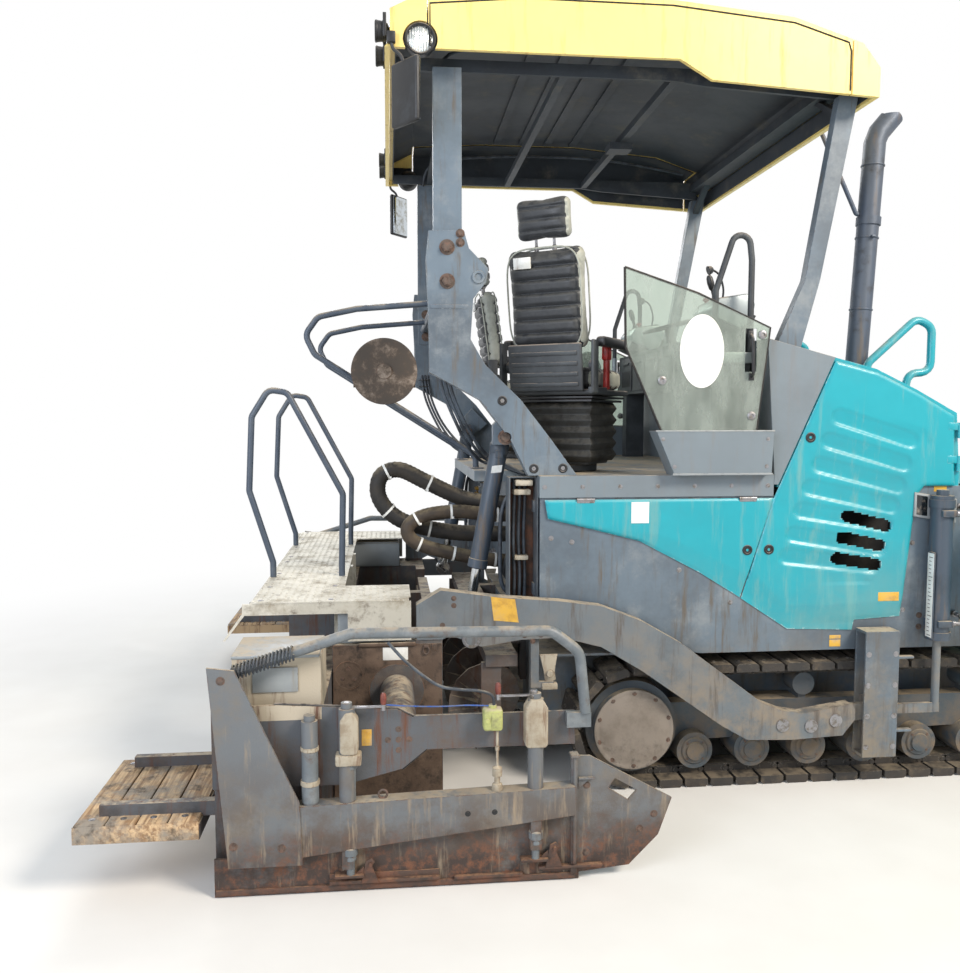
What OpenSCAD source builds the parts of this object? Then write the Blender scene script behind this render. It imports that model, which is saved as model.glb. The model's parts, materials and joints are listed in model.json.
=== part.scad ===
// Tracked asphalt paver with a telescopic screed, in millimetres.
// X points forward, Y to the left side, Z up; the ground is Z = 0.

/* [Tracks] */
// Width of one track shoe
shoe_w = 305; // [280:5:320]
// Outer face of each track from the centre line
track_out = 1180; // [1160:5:1185]
// Distance between the sprocket and idler axles
track_base = 2830; // [2780:10:2860]
// Outer radius of the track round its end wheels
track_r = 318; // [305:1:325]
// Number of shoes on one track
shoe_n = 54; // [50:1:58]
// Thickness of a shoe pad
pad_t = 34; // [26:1:40]
// Gap between two neighbouring pads
pad_gap = 16; // [8:1:24]
// Thickness of the link chain under the pads
chain_t = 46; // [36:1:54]
// Radius of a track roller
roller_r = 95; // [80:1:100]
// Number of track rollers
roller_n = 8; // [6:1:9]

/* [Chassis] */
// Half width over the side panels
body_half = 1180; // [1170:1:1182]
// Half width of the tub between the tracks
tub_half = 850; // [800:5:865]
// Ground clearance under the tub
tub_z = 200; // [160:5:240]
// Thickness of the side panels
panel_t = 12; // [8:1:16]
// Height of the side panels' lower edge
sill_z = 700; // [680:1:740]
// Height of the platform's underside
deck_z = 1500; // [1480:5:1520]
// Thickness of a door skin
door_t = 12; // [8:1:14]
// Half width of the conveyor tunnel
tunnel_half = 640; // [600:5:700]

/* [Platform] */
// Height of the platform over its underside
floor_t = 110; // [90:5:130]
// Half width of the platform
floor_half = 1190; // [1170:5:1196]
// Distance of each roof post from the centre line
post_y = 1100; // [1060:5:1120]
// Width of a rear roof post
post_w = 138; // [110:2:150]
// Thickness of the swan-neck plates
neck_t = 25; // [16:1:30]
// Diameter of the guard rail tubes
rail_d = 34; // [28:1:42]
// Distance of each rear guard loop from the centre line
loop_y = 500; // [440:5:520]
// Turn of the right seat at rest
seat_turn = 54; // [40:1:60]
// Distance of each seat from the centre line
seat_y = 750; // [720:5:780]

/* [Roof] */
// Total height with the roof up
total_h = 3870; // [3860:5:3900]
// Half width of the roof
roof_half = 1250; // [1220:5:1270]
// Wall of the roof shell
roof_wall = 24; // [12:1:30]
// Half width of the fixed middle of the roof
roof_mid = 980; // [940:5:1020]

/* [Hopper] */
// Length of the hopper floor
hopper_l = 1860; // [1800:10:1880]
// Height of the hopper floor
hopper_z = 604; // [590:1:615]
// Outermost point of each open wing from the centre line
wing_out = 1632; // [1600:1:1650]
// Height of the wing tops
wing_top = 1480; // [1400:5:1520]
// Sheet thickness of the wings
wing_t = 12; // [8:1:16]
// Radius of a push roller
push_r = 80; // [70:1:90]
// Length of a push roller
push_l = 700; // [600:5:760]

/* [Augers] */
// Diameter of the auger flights
auger_d = 400; // [360:5:410]
// Height of the auger shaft over the ground
auger_z = 420; // [400:1:440]
// Pitch of the auger flights
auger_pitch = 400; // [300:10:500]
// Length of one auger
auger_l = 1080; // [1000:5:1090]

/* [Tow arms] */
// Gap between the chassis side and each tow arm
arm_gap = 25; // [23:1:30]
// Width of a tow arm
arm_w = 75; // [60:1:76]
// Radius of the tow pin
tow_pin_r = 25; // [20:1:28]
// Gap between the carriage and its guide
guide_gap = 3; // [2:0.5:4]
// Diameter of a levelling cylinder
level_d = 110; // [90:2:116]
// Diameter of a lift cylinder
lift_d = 92; // [80:2:100]
// Diameter of a lift cylinder's rod
lift_rod_d = 50; // [40:2:56]

/* [Screed] */
// How far the main screed reaches past the inner face of each tow arm
screed_over = 70; // [65:1:72]
// Height of the screed's sole plate over the ground
sole_z = 50; // [30:1:70]
// Height of the walking deck
walk_z = 1030; // [1010:1:1045]
// Sheet thickness of the deck plates
walk_t = 8; // [6:1:12]
// How far each extension is out at rest
ext_out = 690; // [600:5:690]
// Radius of the telescopic tube
tele_r = 80; // [70:1:85]
// Running gap round the telescopic tube
tele_gap = 0.5; // [0.3:0.1:0.9]
// Thickness of the side gate's end plate
gate_plate = 12; // [8:1:16]
// Width of the side gate's box beam
gate_w = 70; // [60:1:72]
// Diameter of the gate handrail
gate_rail_d = 45; // [38:1:48]

/* [Hoses] */
// Diameter of the black hose
hose_d = 90; // [70:2:94]
// Diameter of the brown hose
hose_thin_d = 75; // [60:2:80]

/* [Hidden] */
$fn = 48;

// Places along the machine
sprocket_x = -825;
rear_x = -1310;
bulk_x = 1000;
tow_x = 430;
tow_z = 400;
auger_x = -1560;
hopper_x = 1020;
hopper_l1 = hopper_x + hopper_l;
tub_end = hopper_l1 - 180;
front_x = hopper_l1 + 400;
tail_x = -3280;
lift_top = [-1474, 1798];
lift_eye = [-1660, 800];
arm_in = body_half + arm_gap;
screed_half = arm_in + screed_over;
deck_half = screed_half + 15;
door_hinge = [862, body_half + 17];
cowl_hi = [189, 2198];
cowl_lo = [-94, 1558];
platform_x1 = -118;
main_top = 815;
foot_z = 830;
flap_hinge_z = 1500;
wing_hinge_y = 850;
wing_hinge_z = 700;
gate_in = screed_half + 5 + ext_out + 20;
floor_z = deck_z + floor_t;
clear = 5;
seat_gap = 0.3;

// A profile in X and Z, drawn out from y0 to y1
module slab(pts, y0, y1) {
    translate([0, max(y0, y1), 0])
        rotate([90, 0, 0])
            linear_extrude(abs(y1 - y0))
                polygon(pts);
}

// A profile in Y and Z, drawn out from x0 to x1
module bar(pts, x0, x1) {
    translate([min(x0, x1), 0, 0])
        rotate([90, 0, 90])
            linear_extrude(abs(x1 - x0))
                polygon(pts);
}

// A box between two corners
module box(a, b) {
    translate([min(a[0], b[0]), min(a[1], b[1]), min(a[2], b[2])])
        cube([abs(b[0] - a[0]), abs(b[1] - a[1]), abs(b[2] - a[2])]);
}

// A round rod along Y at x, z
module pin_y(x, z, y0, y1, r) {
    translate([x, max(y0, y1), z])
        rotate([90, 0, 0])
            cylinder(r = r, h = abs(y1 - y0));
}

// A round rod between two points in one X, Z plane
module rod_xz(a, b, y, r) {
    d = b - a;
    translate([a[0], y, a[1]])
        rotate([0, atan2(d[0], d[1]), 0])
            cylinder(r = r, h = norm(d));
}

// Both sides of the machine
module both() {
    children();
    mirror([0, 1, 0]) children();
}

// Turns of a bent tube: unit vector from one point to the next
function unit(v) = v / norm(v);
function turn(u, v) = atan2(u[0] * v[1] - u[1] * v[0], u * v);

// Points round corner i of a tube's path, on an arc of radius b
function corner(p, i, b, k) =
    let(u = unit(p[i] - p[i - 1]), v = unit(p[i + 1] - p[i]), a = turn(u, v),
        t = b * tan(abs(a) / 2), m = sign(a) * [-u[1], u[0]], s = p[i] - u * t)
    abs(a) < 1 ? [p[i]]
        : [for (j = [0 : k])
            let(g = abs(a) * j / k)
                s + b * sin(g) * u + b * (1 - cos(g)) * m];
function rounded_path(p, b, k) = concat([p[0]],
    [for (i = [1 : len(p) - 2]) each corner(p, i, b, k)], [p[len(p) - 1]]);

// A tube of n sides swept along points in space
module swept(pts, r, n) {
    m = len(pts);
    rings = [for (i = [0 : m - 1])
        let(t = unit(pts[min(i + 1, m - 1)] - pts[max(i - 1, 0)]),
            s = unit(cross([0, 1, 0.001], t)), w = cross(t, s))
            [for (k = [0 : n - 1])
                pts[i] + r * (cos(360 * k / n) * s + sin(360 * k / n) * w)]];
    polyhedron(
        points = [for (ring = rings) each ring],
        faces = concat(
            [[for (k = [0 : n - 1]) k]],
            [for (i = [0 : m - 2]) for (k = [0 : n - 1])
                [i * n + k, (i + 1) * n + k, (i + 1) * n + (k + 1) % n, i * n + (k + 1) % n]],
            [[for (k = [n - 1 : -1 : 0]) (m - 1) * n + k]]));
}

// A bent tube standing in the X, Z plane at y, with bend radius b
module rail(p, y, r, b) {
    swept([for (q = rounded_path(p, b, 4)) [q[0], y, q[1]]], r, 12);
}

// Tracks
axle_z = track_r;
idler_x = sprocket_x + track_base;
pitch_r = track_r - pad_t - chain_t / 2;
loop_len = 2 * track_base + 2 * PI * pitch_r;
shoe_step = loop_len / shoe_n;

// Place of a link pin on the track loop at distance s, as [x, z]
function loop_at(s) =
    let(q = s - loop_len * floor(s / loop_len), half = PI * pitch_r)
    q < track_base ? [idler_x - q, axle_z + pitch_r]
    : q < track_base + half
        ? let(a = (q - track_base) / half * 180)
            [sprocket_x - pitch_r * sin(a), axle_z + pitch_r * cos(a)]
    : q < 2 * track_base + half
        ? [sprocket_x + q - track_base - half, axle_z - pitch_r]
    : let(a = (q - 2 * track_base - half) / half * 180)
        [idler_x + pitch_r * sin(a), axle_z - pitch_r * cos(a)];

module stadium(r) {
    translate([sprocket_x, axle_z]) circle(r = r);
    translate([idler_x, axle_z]) circle(r = r);
    translate([sprocket_x, axle_z - r]) square([track_base, 2 * r]);
}

// One shoe: a pad with chamfered ends on its link
module shoe() {
    l = shoe_step - pad_gap;
    h = chain_t / 2;
    c = pad_t / 3;
    slab([[-l / 2, h - 8], [l / 2, h - 8], [l / 2, h + pad_t - c], [l / 2 - c, h + pad_t],
        [-l / 2 + c, h + pad_t], [-l / 2, h + pad_t - c]], -shoe_w / 2, shoe_w / 2);
}

module track() {
    y = track_out - shoe_w / 2;
    translate([0, y, 0]) {
        translate([0, shoe_w / 6, 0])
            rotate([90, 0, 0])
                linear_extrude(shoe_w / 3)
                    difference() {
                        stadium(pitch_r + chain_t / 2);
                        stadium(pitch_r - chain_t / 2);
                    }
        for (i = [0 : shoe_n - 1]) {
            // Each shoe lies along the chord between its two link pins
            a = loop_at(i * shoe_step);
            b = loop_at((i + 1) * shoe_step);
            translate([(a[0] + b[0]) / 2, 0, (a[1] + b[1]) / 2])
                rotate([0, 180 - atan2(b[1] - a[1], b[0] - a[0]), 0])
                    shoe();
        }
    }
}

module tracks() {
    color("dimgray") both() track();
}

module track_frame() {
    y = track_out - shoe_w / 2;
    inner_r = pitch_r - chain_t / 2;
    wheel_w = shoe_w - 90;
    // Sprocket, idler and rollers run on the chain
    pin_y(sprocket_x, axle_z, y - wheel_w / 2, y + wheel_w / 2, inner_r - seat_gap);
    pin_y(sprocket_x, axle_z, y + wheel_w / 2, track_out + 12, 200);
    pin_y(idler_x, axle_z, y - 60, y + 60, inner_r - seat_gap);
    for (i = [0 : roller_n - 1])
        pin_y(sprocket_x + 340 + i * (track_base - 680) / (roller_n - 1),
            axle_z - inner_r + seat_gap + roller_r, y - wheel_w / 2, y + wheel_w / 2, roller_r);
    for (x = [sprocket_x + track_base / 3, sprocket_x + track_base * 2 / 3])
    {
        pin_y(x, axle_z + inner_r - seat_gap - 60, y - 60, y + 60, 60);
        box([x - 20, y - 44, axle_z + 60], [x + 20, y + 44, axle_z + inner_r - 60]);
    }
    // Frame beam along the rollers, out to the idler's axle
    slab([[sprocket_x + 150, axle_z - 110], [idler_x + 60, axle_z - 60],
        [idler_x + 60, axle_z + 60], [idler_x - 200, axle_z + 95],
        [sprocket_x + 150, axle_z + 95]], y - 45, y + 45);
    // Axle of the sprocket and brackets to the tub
    pin_y(sprocket_x, axle_z, tub_half, y, 120);
    for (x = [sprocket_x + 700, sprocket_x + 2000])
        box([x, tub_half, axle_z - 70], [x + 260, y, axle_z + 70]);
}

module track_frames() {
    color("slategray") both() track_frame();
}

// Chassis
service_pts = [[-1289, 1491], [-128, 1491], [-289, 985], [-494, 1116], [-807, 1280],
    [-1062, 1346], [-1273, 1397]];
door_pts = [[189, 2180], [-115, 1494], [-276, 980], [-27, 816], [322, 803], [332, 855],
    [580, 869], [643, 1493], [684, 1544], [850, 1544], [835, 1905], [632, 2020], [413, 2123]];
side_pts = [[rear_x, deck_z], [rear_x, 960], [-1000, 780], [-480, sill_z], [bulk_x, sill_z],
    [bulk_x, 1544], [0, 1544], [-100, deck_z]];

module chassis() {
    color("lightslategray") {
        // Tub between the tracks with the conveyor tunnel through it
        difference() {
            union() {
                box([rear_x, -tub_half, tub_z], [bulk_x + 20, tub_half, sill_z + 12]);
                box([bulk_x + 20, -tub_half, tub_z + 60], [tub_end, tub_half, hopper_z - 24]);
            }
            box([rear_x - 1, -tunnel_half, tub_z + 110], [bulk_x + 20, tunnel_half, sill_z - 10]);
            box([bulk_x, -tunnel_half, tub_z + 110], [tub_end + 1, tunnel_half, sill_z + 13]);
        }
        // Overhang above the tracks, side panels and rear wall
        both() {
            box([rear_x, tub_half - 1, sill_z], [bulk_x, body_half - panel_t, sill_z + 12]);
            difference() {
                slab(side_pts, body_half - panel_t, body_half);
                slab([[-1240, 1450], [-190, 1450], [-310, 1060], [-480, 1160], [-800, 1325],
                    [-1060, 1390]], body_half - 60, body_half + 1);
                slab([[-60, 1494], [-210, 1010], [0, 860], [320, 850], [540, 900],
                    [590, 1494]], body_half - 60, body_half + 1);
            }
            tow_guide();
        }
        box([rear_x, -body_half + panel_t, sill_z + 200],
            [rear_x + 12, body_half - panel_t, deck_z]);
        box([bulk_x - 12, -body_half + panel_t, sill_z], [bulk_x, body_half - panel_t, 1544]);
        // Lashing eyes on the tub's rear face
        both() difference() {
            slab([[rear_x - seat_gap, lash_z - 60], [rear_x - 40, lash_z - 60],
                [rear_x - 80, lash_z - 25], [rear_x - 80, lash_z + 25],
                [rear_x - 40, lash_z + 60], [rear_x - seat_gap, lash_z + 60]],
                lash_y, lash_y + lash_t);
            pin_y(rear_x - 42, lash_z, lash_y - 1, lash_y + lash_t + 1, lash_r);
        }
    }
}
lash_y = 700;
lash_t = 25;
lash_r = 22;
lash_z = 270;

// Guide column that the tow point slides in, open to the rear
guide_x0 = 340;
guide_x1 = 520;
guide_z0 = 165;
guide_z1 = 817;
guide_wall = 12;
module tow_guide() {
    y0 = arm_in - guide_wall;
    y1 = arm_in + arm_w + clear;
    slot = 22;
    ym = (y0 + y1) / 2 + 4;
    box([guide_x0, y0, guide_z0], [guide_x1, y0 + guide_wall, guide_z1]);
    box([guide_x0, y1, guide_z0], [guide_x1, y1 + guide_wall, guide_z1]);
    box([guide_x1 - 14, y0, guide_z0], [guide_x1, ym - slot, guide_z1]);
    box([guide_x1 - 14, ym + slot, guide_z0], [guide_x1, y1 + guide_wall, guide_z1]);
    box([guide_x0, y0, guide_z1 - 14], [guide_x1, y1 + guide_wall, guide_z1]);
    box([guide_x0, y0, guide_z0], [guide_x1, y1 + guide_wall, guide_z0 + 14]);
    for (z = [300, 680])
        box([guide_x1 - 1, ym + slot + 4, z - 6], [guide_x1 + 80, y1 + guide_wall, z + 6]);
    box([guide_x0 + 20, body_half - 2, sill_z + 20], [guide_x1 - 20, y0 + 1, guide_z1 - 20]);
}

// Hood over the engine, closed to the rear along the slanted cowl line
hood_side = [cowl_hi, [413, 2141], [632, 2038], [855, 1919], [880, 1600], [880, 1544],
    [-94, 1544], cowl_lo];
hood_inner = [[200, 2178], [410, 2124], [624, 2022], [840, 1906], [862, 1600],
    [862, 1500], [-80, 1500], [-80, 1553]];
module hood() {
    color("teal") {
        difference() {
            slab(hood_side, -body_half, body_half);
            slab(hood_inner, -body_half + panel_t, body_half - panel_t);
            both() slab([[-40, 1570], [195, 2100], [405, 2060], [620, 1960], [790, 1860],
                [800, 1600], [780, 1570]], body_half - 60, body_half + 1);
            // Hole for the exhaust
            translate([0, -600, 0]) rotate([0, exhaust_lean, 0])
                translate([exhaust_foot, 0, 1800]) cylinder(r = exhaust_r + 8, h = 500);
        }
        both() rail([[601, 2044], [601, 2193], [883, 2446], [975, 2400], [975, 2150],
            [840, 2140], [818, 1927]], body_half - 430, 22, 60);
        // Knuckles of the engine doors
        both() for (z = [1620, 1790]) {
            translate([door_hinge[0], door_hinge[1], z]) cylinder(r = knuckle_r, h = 40);
            box([door_hinge[0], body_half, z], [879, door_hinge[1] + 3, z + 40]);
        }
    }
}
knuckle_r = 9;

function cowl_top(x) = 2291 - (x + 169) * (2291 - cowl_hi[1]) / (cowl_hi[0] + 169);
module cowl() {
    color("gray") difference() {
        slab([[-169, 2291], cowl_hi, cowl_lo, [platform_x1, cowl_lo[1]], [platform_x1, floor_z]],
            -floor_half, floor_half);
        slab([[-140, 2262], [150, 2186], [-60, 1720], [-95, 1720]],
            -floor_half + 40, floor_half - 40);
    }
}

module engine() {
    color("darkslategray") box([40, -680, sill_z + 12], [800, 680, engine_z]);
}

engine_z = 1750;
exhaust_r = 60;
exhaust_lean = 3.04;
exhaust_foot = 504;
exhaust_a = [597, 1800];
exhaust_b = [688, 3470];
exhaust_tip = [790, 3590];
// A pipe of radius r from a height to the bend, and on past the bevelled outlet
module exhaust_pipe(r, foot, past) {
    d = exhaust_tip - exhaust_b;
    e = exhaust_b - exhaust_a;
    pts = [exhaust_a + foot * e, exhaust_b - 0.02 * e, exhaust_b + 0.2 * d,
        exhaust_tip + past * d];
    swept([for (q = pts) [q[0], -600, q[1]]], r, 20);
}
module exhaust() {
    color("dimgray") {
        difference() {
            union() {
                exhaust_pipe(exhaust_r, 0, 0);
                // Silencer outlet on the engine
                translate([exhaust_a[0], -600, engine_z]) cylinder(r = 72, h = 90);
            }
            exhaust_pipe(exhaust_r - 6, 0.18, 0.2);
            translate([720, -700, 3590]) cube([200, 200, 200]);
        }
        // Clamp and stay to the roof's front edge
        difference() {
            translate([0, -600, 0]) rotate([0, exhaust_lean, 0])
                translate([exhaust_foot, 0, 3010]) cylinder(r = exhaust_r + 7, h = 44);
            rod_xz(exhaust_a, exhaust_b, -600, exhaust_r - 2);
        }
        rail([[roof_x1, eave_z - 110], [372, eave_z - 110], [590, 3040], [600, 3040]], -600, 12, 20);
    }
}

// Operator's platform
module platform() {
    color("darkgray") {
        difference() {
            box([rear_x - 5, -floor_half, deck_z], [platform_x1, floor_half, floor_z]);
            box([rear_x + 20, -floor_half + 60, deck_z - 1], [-130, floor_half - 60, floor_z - 25]);
        }
        box([-1590, -700, floor_z - 60], [rear_x - 4, 700, floor_z]);
        both() slab([[-749, 1830], [-149, 1830], [-158, floor_z], [-653, floor_z]],
            1120, roof_half);
    }
}

module console() {
    color("dimgray") {
        box([-345, -1000, 2060], [-180, 1000, 2330]);
        both() box([-330, 850, floor_z], [-200, 950, 2061]);
        both() translate([-250, 780, 2405]) rotate([0, 25, 0])
            cube([210, 300, 150], center = true);
        both() rail([[-378, 2190], [-378, 2544], [-286, 2824], [-205, 2824], [-190, 2700],
            [-190, 2200]], 1020, 16, 50);
        both() box([-400, 999, 2180], [-181, 1040, 2230]);
    }
}

glass_pts = [[-916, 2616], [-551, 2497], [-183, 2335], [-242, 1830], [-724, 1830],
    [-907, 2237]];
module side_screens() {
    color("lightblue") both() difference() {
        slab(glass_pts, roof_half - 10, roof_half);
        box([-310, roof_half - 11, 2120], [-250, roof_half + 1, 2330]);
    }
}

neck_pts = [[-1853, 2789], [-1683, 2794], [-1658, 2709], [-1564, 2615], [-1573, 2552],
    [-1637, 2469], [-1650, 2275], [-1580, 2154], [-1404, 1984], [-1250, 1787],
    [-1120, floor_z], [-1364, floor_z], [-1452, 1786], [-1603, 1982], [-1850, 2116],
    [-1856, 2416], [-1867, 2646]];
neck_core = [[-1850, 2420], [-1655, 2420], [-1650, 2275], [-1580, 2154], [-1404, 1984],
    [-1250, 1787], [-1120, floor_z], [-1364, floor_z], [-1452, 1786], [-1603, 1982],
    [-1850, 2116]];
post_in = post_y - 40;
module post_brackets() {
    color("steelblue") both() difference() {
        union() {
            slab(neck_pts, post_y + 20, post_y + 20 + neck_t);
            slab(neck_core, post_in, post_y + 20);
            // Lug that carries the lift cylinder
            slab([[-1440, 1960], [-1530, 1860], [-1530, 1760], [-1430, 1760], [-1330, 1850]],
                post_in - 60, post_in + 1);
        }
        pin_y(lift_top[0], lift_top[1], post_in - 100, post_y + 60, 26);
    }
}

loop_pts = [[-1800, 2526], [-2219, 2490], [-2430, 2444], [-2500, 2346], [-2449, 2240],
    [-1562, 1680], [-1562, floor_z]];
module platform_rails() {
    color("slategray") {
        both() rail(loop_pts, loop_y, rail_d / 2, 60);
        pin_y(-1790, 2526, -post_in, post_in, rail_d / 2 + 3);
    }
}

reel_x = -2070;
reel_z = 2140;
module hose_reel() {
    color("saddlebrown") {
        pin_y(reel_x, reel_z, -720, -640, 175);
        pin_y(reel_x, reel_z, -730, -loop_y - rail_d / 2, 40);
        slab([[-2240, 2100], [-2070, 2180], [-1900, 2100], [-1900, 2060], [-2240, 2060]],
            -loop_y - rail_d / 2 - 8, -loop_y - rail_d / 2);
    }
}

// Hopper floor, side rails and rear wall
module hopper() {
    x1 = hopper_l1;
    color("teal") {
        both() {
            box([hopper_x, tunnel_half, hopper_z - 24], [x1, wing_hinge_y - 40, hopper_z]);
            box([hopper_x, wing_hinge_y - 50, hopper_z - 24],
                [x1, wing_hinge_y - 30, wing_hinge_z - 30]);
            // Wall between the hopper and the engine
            slab([[bulk_x, 1544], [hopper_x, 1544], [hopper_x, sill_z + 60],
                [bulk_x, sill_z + 60]], 0, body_half - 2);
        }
        box([x1 - 40, -tub_half + 60, tub_z + 100], [x1, tub_half - 60, hopper_z - 24]);
        both() box([tub_end, tub_half - 140, tub_z + 100], [x1, tub_half - 60, hopper_z - 24]);
        // Seats of the wing hinges and of the apron
        both() for (x = [hopper_x + 80, hopper_x + 880, hopper_x + 1680])
            box([x, wing_hinge_y - 31, wing_hinge_z - 50],
                [x + 60, wing_hinge_y - wing_pin_r - seat_gap, wing_hinge_z + 30]);
        both() for (y = [300, 600])
            box([x1 - 1, y, apron_z - 20], [apron_x - apron_pin_r - seat_gap, y + 60, apron_z]);
        // Pivot of the push beam
        for (z = [push_z - 110 - clear - 15, push_z + 60 + clear])
            box([x1 - 1, -100, z], [push_pivot_x + 50, 100, z + 15]);
        translate([push_pivot_x, 0, push_z - 120]) cylinder(r = push_pin_r, h = 190);
    }
}
wing_pin_r = 18;
apron_pin_r = 16;
push_pin_r = 25;
flap_axis_y = roof_mid + 3;
flap_axis_z = total_h - 6;

// Bar conveyors in the tunnel, one chain loop on each side
slat_step = 200;
module conveyor() {
    x0 = rear_x + 30;
    x1 = hopper_l1 - 100;
    n = floor((x1 - x0) / slat_step);
    color("dimgray") {
        box([x0, seat_gap - tunnel_half, hopper_z - 90], [x1, tunnel_half - seat_gap, hopper_z - 74]);
        both() {
            for (y = [40, 560])
                box([x0, y, hopper_z - 74], [x1, y + 26, hopper_z - 50]);
            for (i = [0 : n])
                box([x0 + i * slat_step, 30, hopper_z - 51],
                    [x0 + i * slat_step + 40, 596, hopper_z - 30]);
        }
    }
}

level_x = 755;
level_y = arm_in + 37;
level_rod_d = 40;
module levelling_cylinders() {
    color("silver") both() {
        difference() {
            translate([level_x, level_y, 760]) cylinder(d = level_d, h = 740);
            translate([level_x, level_y, 759]) cylinder(d = level_rod_d + 0.8, h = 400);
        }
        translate([level_x, level_y, 1499]) cylinder(d = 60, h = 30);
        // Collars at both ends and the plate that carries the height scale
        difference() {
            for (z = [760, 1440])
                translate([level_x, level_y, z]) cylinder(d = level_d + 14, h = 40);
            translate([level_x, level_y, 759]) cylinder(d = level_rod_d + 0.8, h = 400);
        }
        box([level_x - 62, level_y - 8, 770], [level_x - 54, level_y + 46, 1213]);
        box([level_x - 56, level_y - 8, 960], [level_x - 44, level_y + 8, 990]);
        // Brackets on the chassis side
        for (z = [820, 1440])
            box([level_x - 40, body_half, z], [level_x + 40, level_y - level_d / 2 + 6, z + 40]);
    }
}

// Roof
crown_z = total_h - 12;
eave_z = total_h - 280;
roof_x0 = -2055;
roof_x1 = 340;
roof_top = [[-2030, eave_z + 30], [-2030, eave_z + 170], [-1900, crown_z - 32],
    [-1400, crown_z], [-700, crown_z], [-100, crown_z - 52], [250, crown_z - 158],
    [roof_x1, eave_z]];
roof_side = concat(roof_top, [[roof_x1, eave_z - 140], [-500, eave_z - 90], [-660, eave_z],
    [roof_x0, eave_z]]);
// The top line moved in by a wall w
function roof_under(w) =
    [for (p = roof_top) p + [p[0] < -1000 ? w : p[0] > 200 ? -w : 0, -w]];
module roof_solid(y0, y1, w) {
    difference() {
        slab(roof_side, y0, y1);
        slab(roof_under(w), y0 - 1, y1 + 1);
        box([roof_x0 + w, y0 - 1, eave_z - 190], [roof_x1 - w, y1 + 1, eave_z + 32]);
    }
}
// Round notch in the side for the corner lamp
corner_lamp = [-1891, eave_z + 41];
corner_r = 72;
module lamp_notch() {
    pin_y(corner_lamp[0], corner_lamp[1], roof_half - roof_wall - 1, roof_half + 1,
        corner_r + 8);
}
flap_x0 = -1860;
flap_x1 = 200;
module roof() {
    color("khaki") {
        difference() {
            union() {
                roof_solid(-roof_half, roof_half, roof_wall);
                both() slab(roof_side, roof_half - roof_wall, roof_half);
            }
            both() box([flap_x0, roof_mid, eave_z - 290], [flap_x1, roof_half + 1, total_h + 130]);
            both() lamp_notch();
        }
        both() for (x = flap_hinges) {
            translate([x, flap_axis_y, flap_axis_z]) rotate([0, 90, 0]) cylinder(r = 6, h = 60);
            box([x, roof_mid - 30, crown_z - 4], [x + 60, flap_axis_y, flap_axis_z]);
        }
    }
}
flap_hinges = [-1300, -860];
liner_t = 6;

module roof_flap() {
    g = 6;
    difference() {
        intersection() {
            union() {
                roof_solid(roof_mid, roof_half, roof_wall);
                slab(roof_side, roof_half - roof_wall, roof_half);
            }
            box([flap_x0 + g, roof_mid + g, eave_z - 290],
                [flap_x1 - g, roof_half + 1, total_h + 130]);
        }
        lamp_notch();
    }
    for (x = flap_hinges) {
        translate([x + 60 + seat_gap, flap_axis_y, flap_axis_z])
            rotate([0, 90, 0]) cylinder(r = 6, h = 60);
        box([x + 60 + seat_gap, flap_axis_y, crown_z - 4],
            [x + 120 + seat_gap, roof_mid + 40, flap_axis_z]);
    }
}
module roof_flap_left() { color("khaki") roof_flap(); }
module roof_flap_right() { color("khaki") mirror([0, 1, 0]) roof_flap(); }

module roof_frame() {
    color("darkslategray") {
        both() slab([[-2000, eave_z - 30], [-2000, eave_z + 30], [230, eave_z + 30],
            [230, eave_z - 90], [-480, eave_z - 50], [-640, eave_z - 30]],
            post_y - 60, post_y - 40);
        for (x = [-1760, -1200, -640])
            box([x, -post_y + 45, eave_z - 30], [x + 40, post_y - 45, eave_z + 10]);
        // Wide front beam with a strut to each post, and the lamp bracket under the middle
        box([180, 45 - post_y, eave_z - 40], [290, post_y - 45, eave_z + 10]);
        both() bar([[post_in - 1, eave_z - 190], [post_in - 1, eave_z - 150],
            [post_in - 190, eave_z - 39], [post_in - 240, eave_z - 39]], 215, 255);
        box([-700, -60, eave_z - 70], [-560, 60, eave_z - 29]);
        // Liner under the roof's fixed middle, with pressed ribs
        difference() {
            slab(roof_under(roof_wall + seat_gap), 10 - roof_mid, roof_mid - 10);
            slab(roof_under(roof_wall + liner_t), 9 - roof_mid, roof_mid - 9);
        }
        for (x = [-1300 : 180 : -700])
            box([x, 60 - roof_mid, crown_z - roof_wall - liner_t - 14],
                [x + 50, roof_mid - 60, crown_z - roof_wall - liner_t + 1]);
    }
}

module lamp(p, r) {
    translate(p) rotate([0, -90, 0]) cylinder(r = r, h = 70);
}

module lamps() {
    color("white") both() {
        for (y = [roof_half - 60, 900])
            lamp([roof_top[0][0], y, eave_z + 90], 48);
        // Round corner lamp in the side's notch, on a bracket inside
        pin_y(corner_lamp[0], corner_lamp[1], roof_half - 70, roof_half + 6, corner_r);
        box([-2000, roof_half - 70, eave_z + 30],
            [flap_x0 - 6, roof_half - roof_wall - seat_gap, eave_z + 120]);
        // Mirror on its arm
        box([-2045, roof_half, eave_z + 10], [-2005, roof_half + 30, eave_z + 60]);
        rail([[-2025, eave_z + 20], [-1980, eave_z - 30], [-1960, eave_z - 190]],
            roof_half + 15, 8, 30);
        box([-1975, roof_half - 40, eave_z - 350], [-1945, roof_half + 90, eave_z - 70]);
    }
}

module roof_posts() {
    color("khaki") both() {
        box([-1828, post_in, 2421], [-1828 + post_w, post_y + 20, eave_z - 30]);
        slab([[-88, cowl_top(-88)], [35, cowl_top(35)], [130, 2590], [303, eave_z - 90],
            [203, eave_z - 90], [50, 2590]], post_in, post_y + 20);
    }
}

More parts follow.
